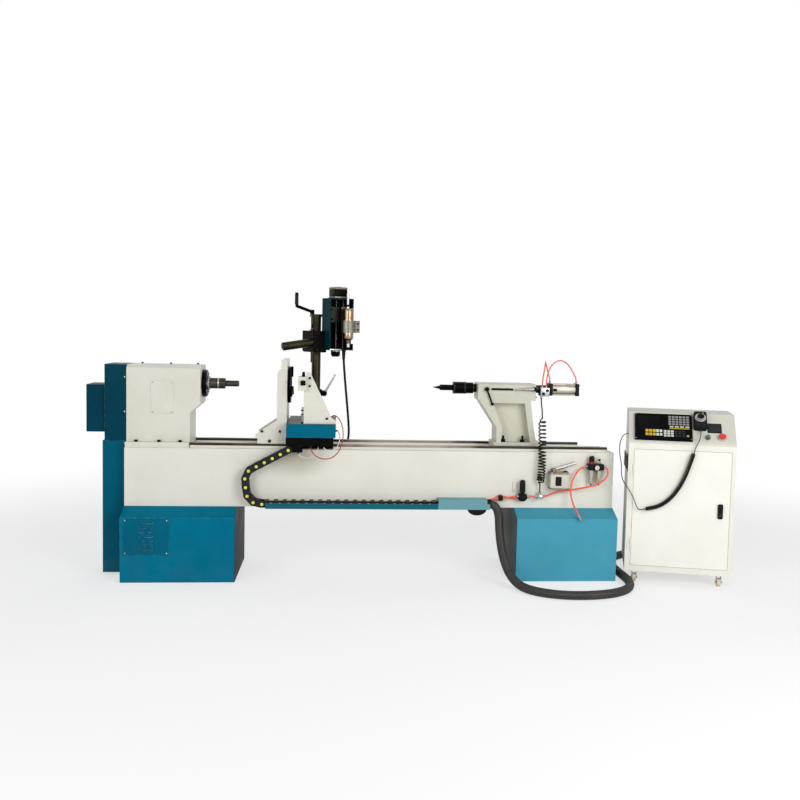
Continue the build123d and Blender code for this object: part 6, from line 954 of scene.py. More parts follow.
# painted highlight: the vent panel's corner colour is a light blue-green that lights the louvres' edges
vent_enamel = sprayed("vent_panel_enamel", "#036079", "#02586f", shine=0.03, dust=0.02, edge_wear_and_glint="#8fc0ca")
tail_white = sprayed("tailstock_enamel", "#cac7b8", "#c2bfaf", SATIN, edge_wear_and_glint="#b1ae9f")
panel_black = moulded("panel_black", "#060607", "#0a0a0b", (0.4, 0.55), shine=0.03, scuff="#1b1b1c")
painted_again = {
    "bed_rails": ways, "chain_tray": tray_enamel, "left_pedestal": left_enamel, "right_pedestal": lit_right_enamel,
    "upper_belt_guard": deep_teal, "slide_table": slide_teal, "bed": bed_enamel, "slide_housing": shaded_case_enamel,
    "router_slide": slide_iron, "spindle": dark_spindle, "controller": panel_black, "vent_panel": vent_enamel,
    "cabinet_shell": shell_white, "tailstock": tail_white, "tailstock_clamp": blackened,
}
for node, finish in painted_again.items():
    paint(finish, node)
paint(olive_bar, "column", "swing_bar")
paint(sooty, "quill", "live_centre", "spindle_bearings")
paint(black_enamel, "lift_head", "lift_crank", "column_base", "steady_ring", "saddle")
print("painted again", len(painted_again) + 10)

# %% [markdown]
# ## Screws
# A machine like this is held together by dozens of the same few screws. Each head is modelled once, with a
# radius of one, and a node tree sets copies of it on points. Every point carries two values of its own: the way
# its head faces and how large it is. The copies are made real at the end, so that the piece is an ordinary mesh.

# %% Flat plates and rounded outlines
def round_rect(a0, a1, b0, b1, r, steps=4):
    """The outline of a rectangle with rounded corners."""
    made = []
    for ca, cb, start in ((a1 - r, b0 + r, -90), (a1 - r, b1 - r, 0), (a0 + r, b1 - r, 90), (a0 + r, b0 + r, 180)):
        for k in range(steps + 1):
            t = math.radians(start + 90 * k / steps)
            made.append((ca + r * math.cos(t), cb + r * math.sin(t)))
    return made


def plate(outline, low, high, across="Z", soft=0.0):
    """A flat piece: an outline pushed from low to high along an axis, with its edges eased."""
    shape = bmesh.new()
    order = {"X": lambda a, b, c: (c, a, b), "Y": lambda a, b, c: (a, c, b), "Z": lambda a, b, c: (a, b, c)}[across]
    rings = [[shape.verts.new(order(a, b, c)) for a, b in outline] for c in (low, high)]
    ends = [shape.faces.new(ring) for ring in rings]
    for k in range(len(outline)):
        n = (k + 1) % len(outline)
        shape.faces.new((rings[0][k], rings[0][n], rings[1][n], rings[1][k]))
    bmesh.ops.recalc_face_normals(shape, faces=shape.faces[:])
    if soft:
        rims = list({line for face in ends for line in face.edges})
        bmesh.ops.bevel(shape, geom=rims, offset=soft, segments=3, profile=0.5, affect="EDGES")
    return shape


def pressed(finish, a0, a1, b0, b1, corner, low, high, across="Z", soft=0.0, steps=4):
    """A plate with rounded corners, and its finish."""
    return plate(round_rect(a0, a1, b0, b1, corner, steps), low, high, across, soft), finish


print("plate helpers ready")

# %% Screw heads to copy
def master(name, *shapes):
    """A mesh object to be copied by a node tree: kept out of the scene."""
    mesh, whole = bpy.data.meshes.new(name), bmesh.new()
    for shape in shapes:
        shape.to_mesh(mesh)
        whole.from_mesh(mesh)
        shape.free()
    for face in whole.faces:
        face.smooth = True
    for line in whole.edges:
        line.smooth = len(line.link_faces) == 2 and line.calc_face_angle() < SHARP
    whole.to_mesh(mesh)
    whole.free()
    return bpy.data.objects.new(name, mesh)


socket_profile = [(0, 1), (1.0, 1), (1.12, 0.9), (1.12, 0.56), (0.55, 0.5), (0.5, 0)]
pan_profile = [(0, 1), (0.2, 1), (0.48, 0.8), (0.58, 0.46), (0.34, 0.42), (0.3, 0)]
washer = turned([(0, 1.25), (0.18, 1.25), (0.2, 1.1)], sides=12)
six_sided = turned([(0.18, 1.1), (0.82, 1.1), (0.95, 0.95)], sides=12, hexagon=True)
socket_head = master("socket_head", turned(socket_profile, sides=12))
pan_head = master("pan_head", turned(pan_profile, sides=12))
hex_head = master("hex_head", washer, six_sided)
pin_head = master("pin_head", turned([(0, 1), (0.1, 1), (0.2, 0.85), (0.2, 0)], sides=12))
print("heads", [len(h.data.polygons) for h in (socket_head, pan_head, hex_head, pin_head)], "faces")

# %% A node tree that sets copies on points
def original(tree, thing):
    """The shape of an object, as it was made."""
    return put(tree, "GeometryNodeObjectInfo", {"Object": thing}, transform_space="ORIGINAL").outputs["Geometry"]


def carried(tree, name, kind):
    """A value that every point carries."""
    return wire(tree, "GeometryNodeInputNamedAttribute", {"Name": name}, data_type=kind)


COPIED = {"Master": "Object", "Finish": "Material"}
set_copies, given, out = new_group("set_copies", SHAPE, {"Spots": "Geometry", **COPIED}, {"Copies": "Geometry"})
spots = wire(set_copies, "GeometryNodeMeshToPoints", {"Mesh": given["Spots"]}, mode="VERTICES")
facing = carried(set_copies, "facing", "FLOAT_VECTOR")
copies = wire(set_copies, "GeometryNodeInstanceOnPoints", {
    "Points": spots, "Instance": original(set_copies, given["Master"]),
    "Rotation": wire(set_copies, "FunctionNodeAlignRotationToVector", {"Vector": facing}, axis="Z"),
    "Scale": carried(set_copies, "across", "FLOAT"),
})
send_out(set_copies, copies, given, out)


def screws(name, head, finish, body, rows, place=at):
    """One piece of many heads. A row is a point, the way that its head faces and the head's radius."""
    cloud = bpy.data.meshes.new(name)
    points = [place(*point) for point, _, _ in rows]
    cloud.from_pydata(points, [], [])
    tips = [place(*[a + b for a, b in zip(point, way)]) for point, way, _ in rows]
    cloud.attributes.new("facing", "FLOAT_VECTOR", "POINT")
    cloud.attributes.new("across", "FLOAT", "POINT")
    for k, (spot, tip) in enumerate(zip(points, tips)):
        cloud.attributes["facing"].data[k].vector = (tip - spot).normalized()
        cloud.attributes["across"].data[k].value = rows[k][2] / 1000
    piece = with_nodes(show(name, cloud), set_copies, {"Master": head, "Finish": finish}, name)
    if body:
        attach(piece, body)
    return piece


FRONT, BACK, UP, RIGHT = (0, -1, 0), (0, 1, 0), (0, 0, 1), (1, 0, 0)
print("node trees", [g.name for g in bpy.data.node_groups if g.bl_idname == SHAPE])

# %% [markdown]
# ## Headstock and belt guards
# The headstock is bolted down through its foot by black socket screws and closed by a small cover plate on its
# front. The belt guards are thin sheet held by pale pan screws along their edge. The bearing cover at the nose
# is a turned ring with six screws, and a bright lock ring runs on the spindle in front of it.

# %% Headstock cover, lock ring and screws
SPINDLE = (0, 0, 1100)
screws("headstock_foot_bolts", socket_head, blackened, "frame",
       [((x, y, 770), UP, 10) for x in (-256, -129, -13) for y in (-131, 131)])
screws("headstock_top_screws", socket_head, blackened, "frame", [((x, 85, 1204), UP, 6.5) for x in (-263, -101, 53)])
cover = pressed(warm_white, -178, -52, 929, 1117, 7, -114.6, -112, "Y", 0.8)
gather("headstock_cover_plate", [cover], "frame")
screws("cover_plate_screws", pan_head, bright_steel, "frame",
       [((x, -114.6, z), FRONT, 4.5) for x in (-168, -62) for z in (939, 1107)])
guard_spots = [(110, z) for z in (1133, 938)] + [(105, z) for z in (756, 467, 120)]
screws("guard_screws", pan_head, bright_steel, "frame",
       [((-322, side[1] * y, z), side, 5) for side in (FRONT, BACK) for y, z in guard_spots])
screws("vent_panel_screws", pan_head, bright_steel, "frame",
       [((x, -283, z), FRONT, 5) for x in (-284, -58) for z in (166, 350)])
ring_spots = [(60 * math.cos(math.pi * k / 3), 1100 + 60 * math.sin(math.pi * k / 3)) for k in range(6)]
screws("bearing_cover_screws", socket_head, bright_steel, "frame", [((121.5, y, z), RIGHT, 5) for y, z in ring_spots])
gather("spindle_lock_ring", [
    spun(bright_steel, SPINDLE, "X", 48, (122.5, 37), (124, 40), (134, 40), (136, 35), (136, 31.2), knurl=0.03),
    spun(bright_steel, SPINDLE, "X", 40, (180, 31.3), (182, 32.2), (186, 32.2), (188, 31.3)),
], "spindle")
print("headstock and guard screws set")

# %% [markdown]
# ## Cable chain
# A cable chain takes the carriage's wires from the bed to the saddle. Its links lie flat in the tray, turn up in
# a bend and climb to the lug under the saddle. Each link has cheeks that overlap the next link's and two bars
# across, and a yellow pin shows at every joint. Along the low run the links are notched on the bend's inner side,
# so that gaps show between them, and in the bend they are nearly full. The joints are worked out run by run along
# the chain's middle line. A node tree then puts one link on every edge between two joints and turns it that way.

# %% Joints along the chain's middle line
CHAIN_START, CHAIN_Y, BEND_X, LUG, LOW_RUN, LINK = (1456.0, 435.3), -207.0, 446.0, (599.8, 742.7), 1010.0, 50.6
steep, slant, low_r, high_r = math.radians(85), math.radians(28), 80.0, 60.0
over = math.pi - slant - steep
to_x = LUG[0] - BEND_X + low_r * math.sin(steep) + high_r * (math.sin(slant) - math.sin(steep))
to_z = LUG[1] - CHAIN_START[1] - low_r * (1 - math.cos(steep)) - high_r * (math.cos(steep) + math.cos(slant))
rise = (to_z * math.cos(slant) - to_x * math.sin(slant)) / math.sin(steep + slant)
climb = (to_x * math.sin(steep) + to_z * math.cos(steep)) / math.sin(steep + slant)
runs = [(LOW_RUN, 0.0), (low_r * steep, steep), (rise, 0.0), (high_r * over, over), (climb, 0.0)]


def chain_joint(along):
    """The joint at a distance along the chain."""
    (x, z), way = CHAIN_START, 0.0
    for long, bend in runs:
        part = min(max(along, 0.0), long)
        along -= long
        if bend:
            r, swept = long / bend, way + part * bend / long
            x -= r * (math.sin(swept) - math.sin(way))
            z += r * (math.cos(way) - math.cos(swept))
            way = swept
        else:
            x, z = x - part * math.cos(way), z + part * math.sin(way)
    return (x, CHAIN_Y, z)


chain_long = sum(long for long, _ in runs)
links = round(chain_long / LINK)
link_step = chain_long / links
joints = [chain_joint(k * link_step) for k in range(links + 1)]
print("links", links, "pitch", round(link_step, 2))

# %% A node tree that lays links on edges
chain_links, given, out = new_group("chain_links", SHAPE, {"Joints": "Geometry", **COPIED}, {"Chain": "Geometry"})
ends = put(chain_links, "GeometryNodeInputMeshEdgeVertices").outputs
span = vector_maths(chain_links, "SUBTRACT", ends["Position 2"], ends["Position 1"])
marked = wire(chain_links, "GeometryNodeStoreNamedAttribute",
              {"Geometry": given["Joints"], "Name": "span", "Value": span}, data_type="FLOAT_VECTOR", domain="EDGE")
middles = wire(chain_links, "GeometryNodeMeshToPoints", {"Mesh": marked}, mode="EDGES")
lay_along = wire(chain_links, "FunctionNodeAlignRotationToVector",
                 {"Vector": carried(chain_links, "span", "FLOAT_VECTOR")}, axis="X", pivot_axis="Y")
laid = wire(chain_links, "GeometryNodeInstanceOnPoints",
            {"Points": middles, "Instance": original(chain_links, given["Master"]), "Rotation": lay_along})
send_out(chain_links, laid, given, out)
print("chain tree", len(chain_links.nodes), "nodes")

# %% Two sorts of link, and the pins
CHEEK_R, CHEEK_T = 20.0, 5


def cheek(end, notch):
    """A link's cheek from the side: round about its joint, full at its bars, notched on the bend's inner side."""
    low = CHEEK_R - notch
    fall = math.degrees(math.asin(low / CHEEK_R))
    arc = [math.radians(90 - (90 + fall) * k / 8) for k in range(9)]
    round_end = [(end * (link_step / 2 + CHEEK_R * math.cos(t)), CHEEK_R * math.sin(t)) for t in arc]
    corners_low = [(end * 11.0, -low), (end * 11.0, -CHEEK_R), (-end * 4.5, -CHEEK_R)]
    return [(-end * 4.5, CHEEK_R)] + round_end + corners_low


def chain_link(name, notch):
    cheeks = [(-1, -30), (-1, 25), (1, -24.7), (1, 19.7)]
    parts = [plate(cheek(end, notch), y, y + CHEEK_T, "Y") for end, y in cheeks]
    parts += [block((-11, -19.4, z), (11, 19.4, z + 6), soft=0) for z in (-20, 14)]
    for part in parts:
        for v in part.verts:
            v.co = v.co / 1000
    return master(name, *parts)


chain_black = moulded("chain_black", "#141315", "#1d1b1d", (0.4, 0.6), scuff="#35342f", shine=0.2)
pin_yellow = moulded("chain_pin_yellow", "#d6da55", "#c9cd48", (0.3, 0.45), coat=0.1)
flat = round(LOW_RUN / link_step)
chain = []
for name, notch, first, last in (("cable_chain_low_run", 9.0, 0, flat), ("cable_chain_bend", 0.6, flat, links)):
    joint_line = bpy.data.meshes.new(name + "_joints")
    joint_line.from_pydata(mm(*joints[first : last + 1]), [(k, k + 1) for k in range(last - first)], [])
    link = chain_link(name + "_link", notch)
    values = {"Master": link, "Finish": chain_black}
    chain.append(with_nodes(show(name + "_joints", joint_line), chain_links, values, name))
    bpy.data.objects.remove(link)
pins = screws("cable_chain_pins", pin_head, pin_yellow, None,
              [((x, y, z), way, 9) for x, _, z in joints for y, way in ((-237, FRONT), (-177, BACK))])
for piece in (*chain, pins):
    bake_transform(piece)
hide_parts("cable_chain")
print("pins", 2 * len(joints))

# %% [markdown]
# ## Carriage
# The steady and the tool bracket are bolted to their slides with black socket screws, and the bracket's block
# grips the square tool bar with two screws from above. A threaded stop stands on the slide beside it. The
# column's clamp lever is a bright tapered rod in a dark hub.

# %% Bolts, stop and hub on the carriage
BOTH_SIDES = ((-140, FRONT), (140, BACK))
STOP_STUD, LEVER_PIVOT = (674, -178), (790, 174.7, 1039)
screws("steady_bolts", socket_head, blackened, "carriage",
       [((x, y, 839), way, 7) for x in (445, 546) for y, way in BOTH_SIDES])
screws("steady_nuts", hex_head, dark_iron, "carriage", [((488, y, 783), way, 8) for y, way in BOTH_SIDES])
screws("tool_bracket_bolts", socket_head, blackened, "cross_slide",
       [((x, -215, z), FRONT, 6.5) for x, z in ((714, 1152), (714, 1107), (813, 924))])
knob = [(1159, 9), (1171, 9), (1172, 7.4), (1182, 7.4), (1185, 5.5), (1185, 0)]
gather("tool_block_knobs", [spun(sooty, (678, y, 0), "Z", 20, *knob) for y in (-222, -178)], "cross_slide")
screws("slide_stop_nuts", hex_head, dark_iron, "cross_slide", [((*STOP_STUD, z), UP, 8) for z in (893, 938, 962)])
stud = spun(bright_steel, (*STOP_STUD, 0), "Z", 18, (893, 5), (984, 5), (986, 3.5))
gather("slide_stop_stud", [stud], "cross_slide")
lever_rod = turned([(8, 6.6), (20, 6.9), (100, 5.6), (131, 5.2), (133.5, 3.4), (133.5, 0)], sides=20)
hub = spun(sooty, (LEVER_PIVOT[0], 0, LEVER_PIVOT[2]), "Y", 24, (160, 12), (162.4, 16), (187, 16), (189.4, 12))
gather("column_lever_rod", [hub, (aimed(lever_rod, (64, 0, 114), LEVER_PIVOT), bright_steel)], "column_lever")
gather("tool_bar_face", [cut(blackened, (664.7, -258.8, 1112.7), (691.3, -240, 1139.3), 1.5)], "cross_slide")
print("carriage bolts", 4 + 2 + 3 + 3)

# %% [markdown]
# ## Router arm
# The router hangs in an open case on the swung arm. Its slide runs on two dark guide rods, a stepper motor on
# top drives the screw between them, and the screw's lower bearing shows as a round cap under the case. The router
# itself is a turned sleeve in a pale bronze anodising, with grooves, a steel nose and a plug on top.

# %% Stepper motor, guide rods and case
SCREW_AXIS, CRANK_END = (84, -89, 0), (613.6, 252.7)
grey_casting = machined("grey_end_casting", "#85826f", "#646153", (0.35, 0.5), (90.0, 90.0, 90.0), bright="#a8a594")
# painted reflection: the sleeve's rim colour darkens it toward its outline
champagne = machined("bronze_anodised_sleeve", "#b7a185", "#92795c", (0.18, 0.32), (160.0, 160.0, 3.0),
                     bright="#e2d4bd", rim="#1d150d")
motor_shapes = [
    cut(grey_casting, (41, -155, 1612), (127, -69, 1624), 4),
    cut(sooty, (42, -154, 1624), (126, -70, 1664), 6, 3),
    cut(grey_casting, (41, -155, 1663), (127, -69, 1679), 7, 3),
    spun(sooty, (84, -112, 0), "Z", 32, (1679, 20), (1681, 18.5), (1681, 0)),
    spun(sooty, SCREW_AXIS, "Z", 36, (1263, 16), (1265, 22), (1271, 26.5), (1278, 28), (1303, 28)),
    spun(bright_steel, SCREW_AXIS, "Z", 36, (1295, 28.1), (1295.5, 28.9), (1300, 28.9), (1301, 28.1)),
    (rod((84, -89, 1303), (84, -89, 1612), 5, 14), dark_spindle),
]
gather("slide_stepper", motor_shapes, "lift", on_arm, stands_for=["slide_motor"])
screws("stepper_screws", socket_head, bright_steel, "lift",
       [((x, y, 1675), UP, 4.2) for x in (51, 117) for y in (-145, -79)], on_arm)
guides = [(rod((x, -89, 1311), (x, -89, 1604), 6.06, 20), dark_spindle) for x in (37, 131)]
gather("guide_rods", guides, "lift", on_arm)
gather("case_bottom_lip", [cut(aluminium, (6, -166, 1303.5), (80, -163, 1311), 0.8)], "lift", on_arm)
gather("arm_lock_lever", [
    (rod((-50, -70, 1414), (-64.5, -70, 1451), 5.6, 18, ball=7), blackened),
    (rod((-56, -72, 1428), (-92, -92, 1420), 3.4, 14), bright_steel),
], "lift", on_arm)
screws("lift_head_screws", socket_head, blackened, "lift",
       [((x, -98, z), FRONT, 6) for x in (-46, -8) for z in (1304, 1400)], on_arm)
grip = spun(black_rubber, (*CRANK_END, 0), "Z", 26, (1570.5, 8), (1572, 10.9), (1588, 11.3), (1608, 10.6), (1630, 11),
            (1641, 9.5), (1645, 5), (1645.4, 0))
gather("crank_grip", [grip, (rod((708.6, 252.7, 1530), (*CRANK_END, 1563), 9.5, 20), sooty)], "crank")
print("stepper shapes", len(motor_shapes))

# %% Router, clamp screws and slide bolts
ROUTER, PLUG = (123, -173, 0), (110, -187, 0)
router_shapes = [
    spun(dark_spindle, ROUTER, "Z", 40, (1344, 15), (1345.5, 18), (1365, 18), (1367, 22), (1374, 29.2)),
    spun(champagne, ROUTER, "Z", 40, (1373.5, 29), (1377, 31), (1392, 31), (1393, 29.8), (1396, 29.8), (1397, 31),
         (1492, 31), (1493, 29.6), (1497, 29.6), (1498, 31), (1540, 31)),
    spun(grey_casting, ROUTER, "Z", 40, (1539.5, 30.2), (1540.5, 31), (1550, 31), (1554, 27.5), (1554, 0)),
    spun(aluminium, PLUG, "Z", 20, (1553, 9.5), (1562, 9.5), (1563, 7.6), (1628, 7.6), (1629, 9), (1640, 9),
         (1642, 6)),
    spun(black_plastic, PLUG, "Z", 20, (1564, 8.6), (1576, 8.6), (1577, 7.7)),
]
gather("router_sleeve", router_shapes, "router", on_arm, stands_for=["router_motor"])
router_rows = [((172, -199, z), FRONT, 5.2) for z in (1428, 1463)] + [((50, -104, z), FRONT, 6) for z in (1488, 1545)]
screws("router_clamp_screws", socket_head, blackened, "router", router_rows, on_arm)
print("router screws", len(router_rows))

# %% [markdown]
# ## Tailstock and air cylinder
# The quill's key shows through a dark slot in the barrel, beside the quill lock's tapered handle. The cylinder
# that pushes the quill has a bright barrel between two black end caps, four tie rods and, on its neck, a block
# valve that the two orange tubes come from.

# %% Slot, lock handle, studs and rings
slot_liner = cut(black_plastic, (1770.6, -85, 1093.4), (1899.4, -74.2, 1106.6), 0.8)
gather("quill_slot_liner", [slot_liner], "tailstock")
handle = turned([(0, 3.2), (3, 4.4), (70, 7.4), (112, 9.6), (117, 8.6), (118, 6)], sides=22)
lock_hub = spun(blackened, (2027, 0, 1104), "Y", 26, (-88, 12), (-90, 13), (-103, 13), (-106, 10), (-106, 0))
gather("quill_lock_handle", [(aimed(handle, (117, -6, 6), (1905, -95, 1098)), bright_steel), lock_hub], "tailstock")
stud_spots = [(x, y, 0) for x in (1852.5, 1968.5) for y in (-62, 62)]
studs = [spun(blackened, spot, "Z", 16, (802, 7), (822, 7), (824, 5.5)) for spot in stud_spots]
gather("clamp_studs", studs, "tailstock")
screws("barrel_end_screws", socket_head, blackened, "tailstock",
       [((2037, y, z), RIGHT, 6) for y in (-74, 74) for z in (1056, 1118)])
quill_ring = spun(bright_steel, SPINDLE, "X", 36, (1672, 27), (1672.2, 28.5), (1673.3, 28.5), (1673.6, 27))
gather("quill_ring", [quill_ring], "quill")
gather("live_centre_rings", [
    spun(dark_iron, SPINDLE, "X", 40, (x, 35.6), (x + 1, 36.4), (x + 5, 36.4), (x + 6, 35.6)) for x in (1556, 1618)
], "centre")
print("studs", len(studs))

# %% Air cylinder with its valve
# painted reflection: the barrel's rim colour darkens it toward its outline
barrel_silver = machined("barrel_silver", "#cfcabc", "#bcb7a9", (0.42, 0.58), (4.0, 160.0, 160.0),
                         bright="#dcd8cc", rim="#6e6a60")
cylinder_shapes = [
    spun(dark_iron, SPINDLE, "X", 32, (2037, 22), (2039, 24), (2125, 24)),
    spun(barrel_silver, SPINDLE, "X", 48, (2149, 35), (2151, 36), (2286, 36), (2288, 35)),
    cut(black_plastic, (2125, -37, 1063), (2150, 37, 1137), 6, 3),
    cut(black_plastic, (2287, -37, 1063), (2312, 37, 1137), 6, 3),
    cut(black_plastic, (2150, -41, 1090), (2176, -33, 1106), 2),
    cut(aluminium, (2070, -66, 1060), (2124, 0, 1112), 3),
    cut(black_plastic, (2066, -60, 1066), (2070.5, -8, 1106), 1.5),
    spun(black_plastic, (2086, 0, 1076), "Y", 20, (-66, 9), (-76, 9), (-79, 6.5), (-79, 0)),
    spun(black_plastic, (2110, 0, 1096), "Y", 20, (-66, 9), (-72, 9), (-74, 6.5), (-74, 0)),
]
tie_rods = [(rod((2149, y, z), (2288, y, z), 3, 12), barrel_silver) for y in (-30, 30) for z in (1070, 1130)]
gather("cylinder_body", cylinder_shapes + tie_rods, "tailstock", stands_for=["air_cylinder"])
screws("tie_rod_nuts", hex_head, bright_steel, "tailstock",
       [((2312, y, z), RIGHT, 4.6) for y in (-28, 28) for z in (1072, 1128)])
print("cylinder shapes", len(cylinder_shapes), "tie rods", len(tie_rods))

# %% [markdown]
# ## Air units and oil pump
# On the bed's front hang the pieces that serve the machine: a filter and oiler with two clear bowls and a small
# gauge, a regulator with a ribbed knob, and a hand pump for the slideways' oil. The bowls are clear plastic, so
# they are thin-walled with something inside to see. The pump's tank is milky. The gauge has a plain face with
# marks and a needle.

# %% Clear and milky plastic, and the filter unit
FILTER_Y, FILTER_X, OILER_X, GAUGE = -196, 2360, 2406, (2383, 0, 661)


def clear(name, colour, second, through, gloss):
    finish = moulded(name, colour, second, gloss, 300.0, 0.00004, shine=0.5)
    shader_of(finish)["Transmission Weight"].default_value = through
    shader_of(finish)["IOR"].default_value = 1.3
    return finish


clear_bowl = clear("clear_bowl", "#f4f2ec", "#e9e6de", 0.92, (0.04, 0.12))
milky = clear("milky_tank", "#ece8dc", "#dcd7c8", 0.25, (0.2, 0.34))
band_red = moulded("band_red", "#b3271f", "#9d2019", (0.25, 0.4), coat=0.2)


def bowl(x):
    outer = [(643, 20), (600, 19.4), (572, 17), (562, 12), (558, 6)]
    inner = [(558.5, 5), (564, 10.5), (574, 15.2), (600, 17.4), (642, 18)]
    middle = (x, FILTER_Y, 0)
    return [spun(clear_bowl, middle, "Z", 28, *outer, *inner),
            spun(white_plastic, middle, "Z", 20, (640, 9), (604, 9), (601, 6), (590, 6), (588, 3)),
            spun(black_plastic, middle, "Z", 16, (560, 5), (555, 5), (552, 3.4), (550, 3.4))]


knob_axis, oiler_axis = (FILTER_X, FILTER_Y, 0), (OILER_X, FILTER_Y, 0)
filter_shapes = bowl(FILTER_X) + bowl(OILER_X) + [
    cut(black_plastic, (2336, -224, 643), (2382, -168, 679), 5, 3),
    cut(black_plastic, (2384, -224, 643), (2430, -168, 679), 5, 3),
    cut(bright_steel, (2381, -216, 648), (2385, -176, 674), 0.5),
    cut(dark_iron, (2345, -168, 650), (2421, -165, 672), 0.8),
    spun(band_red, knob_axis, "Z", 28, (679, 15), (681, 17), (690, 17), (691, 15.5)),
    spun(black_plastic, knob_axis, "Z", 36, (690, 14), (692, 16), (712, 16), (721, 13.5), (725, 8), (725, 0),
         knurl=0.05),
    spun(clear_bowl, oiler_axis, "Z", 20, (679, 9), (688, 9), (690, 6.5), (696, 6.5)),
    spun(black_plastic, oiler_axis, "Z", 20, (695, 4), (697, 7.5), (705, 7.5), (707, 6), (707, 0), knurl=0.06),
    spun(black_plastic, GAUGE, "Y", 32, (-224, 14.5), (-227, 16), (-238, 16), (-240, 15), (-240, 13.6),
         (-238.6, 13.4)),
    spun(white_plastic, GAUGE, "Y", 32, (-236, 13.6), (-238.8, 13.6)),
]
for k in range(7):
    t = math.radians(225 - 45 * k)
    ends = [(GAUGE[0] + r * math.cos(t), -239, GAUGE[2] + r * math.sin(t)) for r in (9.5, 12.3)]
    filter_shapes.append((rod(*ends, 0.55, 6), black_plastic))
filter_shapes.append((rod((2385.5, -239.3, 658), (2376, -239.3, 669), 0.6, 6), band_red))
filter_shapes.append(spun(black_plastic, GAUGE, "Y", 12, (-238.8, 2), (-240, 2), (-240.4, 1.2), (-240.4, 0)))
gather("filter_and_oiler", filter_shapes, "frame", stands_for=["filter_unit"])
print("filter shapes", len(filter_shapes))

# %% Regulator, tee, cable guide, tube tie and pump
REGULATOR = (1953, -195, 0)
regulator_shapes = [
    spun(black_plastic, REGULATOR, "Z", 36, (456, 17), (458, 21), (470, 25.5), (497, 25.5), (499, 22)),
    cut(black_plastic, (1926, -214, 466), (1980, -176, 492), 4, 3),
    cut(dark_iron, (1938, -176, 470), (1968, -165, 490), 1.5),
    spun(black_plastic, REGULATOR, "Z", 24, (498, 14), (509, 14)),
    spun(black_plastic, REGULATOR, "Z", 40, (508, 15), (510, 17), (516, 17), (517, 16), (519, 16), (520, 17),
         (566, 16), (575, 13.5), (580, 7), (580, 0), knurl=0.045),
    cut(aluminium, (2043, -217, 470), (2069, -165, 496), 3, 3),
    spun(bright_steel, (2056, 0, 483), "Y", 20, (-217, 9), (-221, 9), (-222, 7), hexagon=True),
]
gather("regulator_and_tee", regulator_shapes, "frame", stands_for=["air_regulator"])
gather("regulator_bracket", [
    cut(warm_white, (1898, -171, 515), (1922, -165, 566), 1.5),
    cut(warm_white, (1900, -188, 515), (1920, -170, 519), 1),
], "frame")
sag = [(1683 + 56 * math.cos(math.pi * k / 16), 413.5 - 38 * math.sin(math.pi * k / 16)) for k in range(17)]
gather("tray_cable_guide", [(plate(sag, -236, -202, "Y", soft=5), black_plastic)], "frame")
gather("tube_tie", [cut(black_plastic, (1812, -210, 456), (1838, -168, 489), 8, 3)], "frame")
pump_shapes = [
    cut(milky, (2110, -227, 533), (2222, -165, 622), 9, 3),
    cut(grey_casting, (2107, -229, 619), (2225, -165, 629), 3),
    cut(grey_casting, (2107, -229, 531), (2225, -165, 537), 2.5),
    pressed(black_plastic, 2140, 2176, 551, 605, 4, -229, -226, "Y", 0.8),
    cut(orange_tube, (2147, -210, 628), (2178, -182, 632.5), 2),
    spun(black_plastic, (2205, -196, 0), "Z", 24, (628, 10), (629.5, 11.5), (634.5, 11.5), (636, 9), (636, 0),
         knurl=0.05),
]
pump_shapes += [spun(grey_casting, (2136, 0, 641), "Y", 24, (y, 12), (y + 8, 12)) for y in (-214.4, -185.6)]
gather("oil_pump_tank", pump_shapes, "frame", stands_for=["oil_pump"])
screws("oil_pump_screws", pan_head, bright_steel, "frame", [((x, -229, 624), FRONT, 4) for x in (2117, 2215)])
lever_grip = rod((2180, -196, 655.4), (2263, -196, 682.6), 9.2, 22)
gather("pump_lever_grip", [(lever_grip, aluminium)], "oil_pump_lever")
print("pump shapes", len(pump_shapes))

# %% [markdown]
# ## Threads
# The screw that drives the carriage runs the whole length of the bed behind it. A real thread is a ridge wound
# round a core, and that is how it is made here: a node tree winds a spiral, sweeps a small diamond along it and
# joins it with the core. Its pitch is the distance that the carriage moves in one turn.

# %% A wound thread from a node tree
thread, given, out = new_group(
    "wound_thread",
    SHAPE,
    {"Turns": 10.0, "Length": 0.1, "Core": 0.01, "Ridge": 0.002, "Finish": "Material"},
    {"Thread": "Geometry"},
)
spiral = wire(thread, "GeometryNodeCurveSpiral", {
    "Resolution": 14, "Rotations": given["Turns"], "Start Radius": given["Core"], "End Radius": given["Core"],
    "Height": given["Length"],
})
diamond = wire(thread, "GeometryNodeCurvePrimitiveCircle", {"Resolution": 4, "Radius": given["Ridge"]})
wound = wire(thread, "GeometryNodeCurveToMesh", {"Curve": spiral, "Profile Curve": diamond, "Fill Caps": True})
bar = put(thread, "GeometryNodeMeshCylinder", {"Vertices": 24, "Radius": given["Core"], "Depth": given["Length"]})
lifted = wire(thread, "ShaderNodeCombineXYZ", {2: maths(thread, "MULTIPLY", given["Length"], 0.5)})
stood = wire(thread, "GeometryNodeTransform", {"Geometry": bar.outputs["Mesh"], "Translation": lifted})
joined = put(thread, "GeometryNodeJoinGeometry")
for part in (wound, stood):
    thread.links.new(part, joined.inputs[0])
send_out(thread, joined.outputs[0], given, out)


def threaded(name, turns, long, core, ridge, body, place):
    """A threaded bar of its own length, core and ridge in millimetres, laid where place puts (u, v, along)."""
    sizes = {"Turns": turns, "Length": long / 1000, "Core": core / 1000, "Ridge": ridge / 1000}
    sizes["Finish"] = bright_steel
    piece = with_nodes(show(name, bpy.data.meshes.new(name)), thread, sizes, name)
    for v in piece.data.vertices:
        v.co = place(*[c * 1000 for c in v.co])
    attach(piece, body)
    return piece


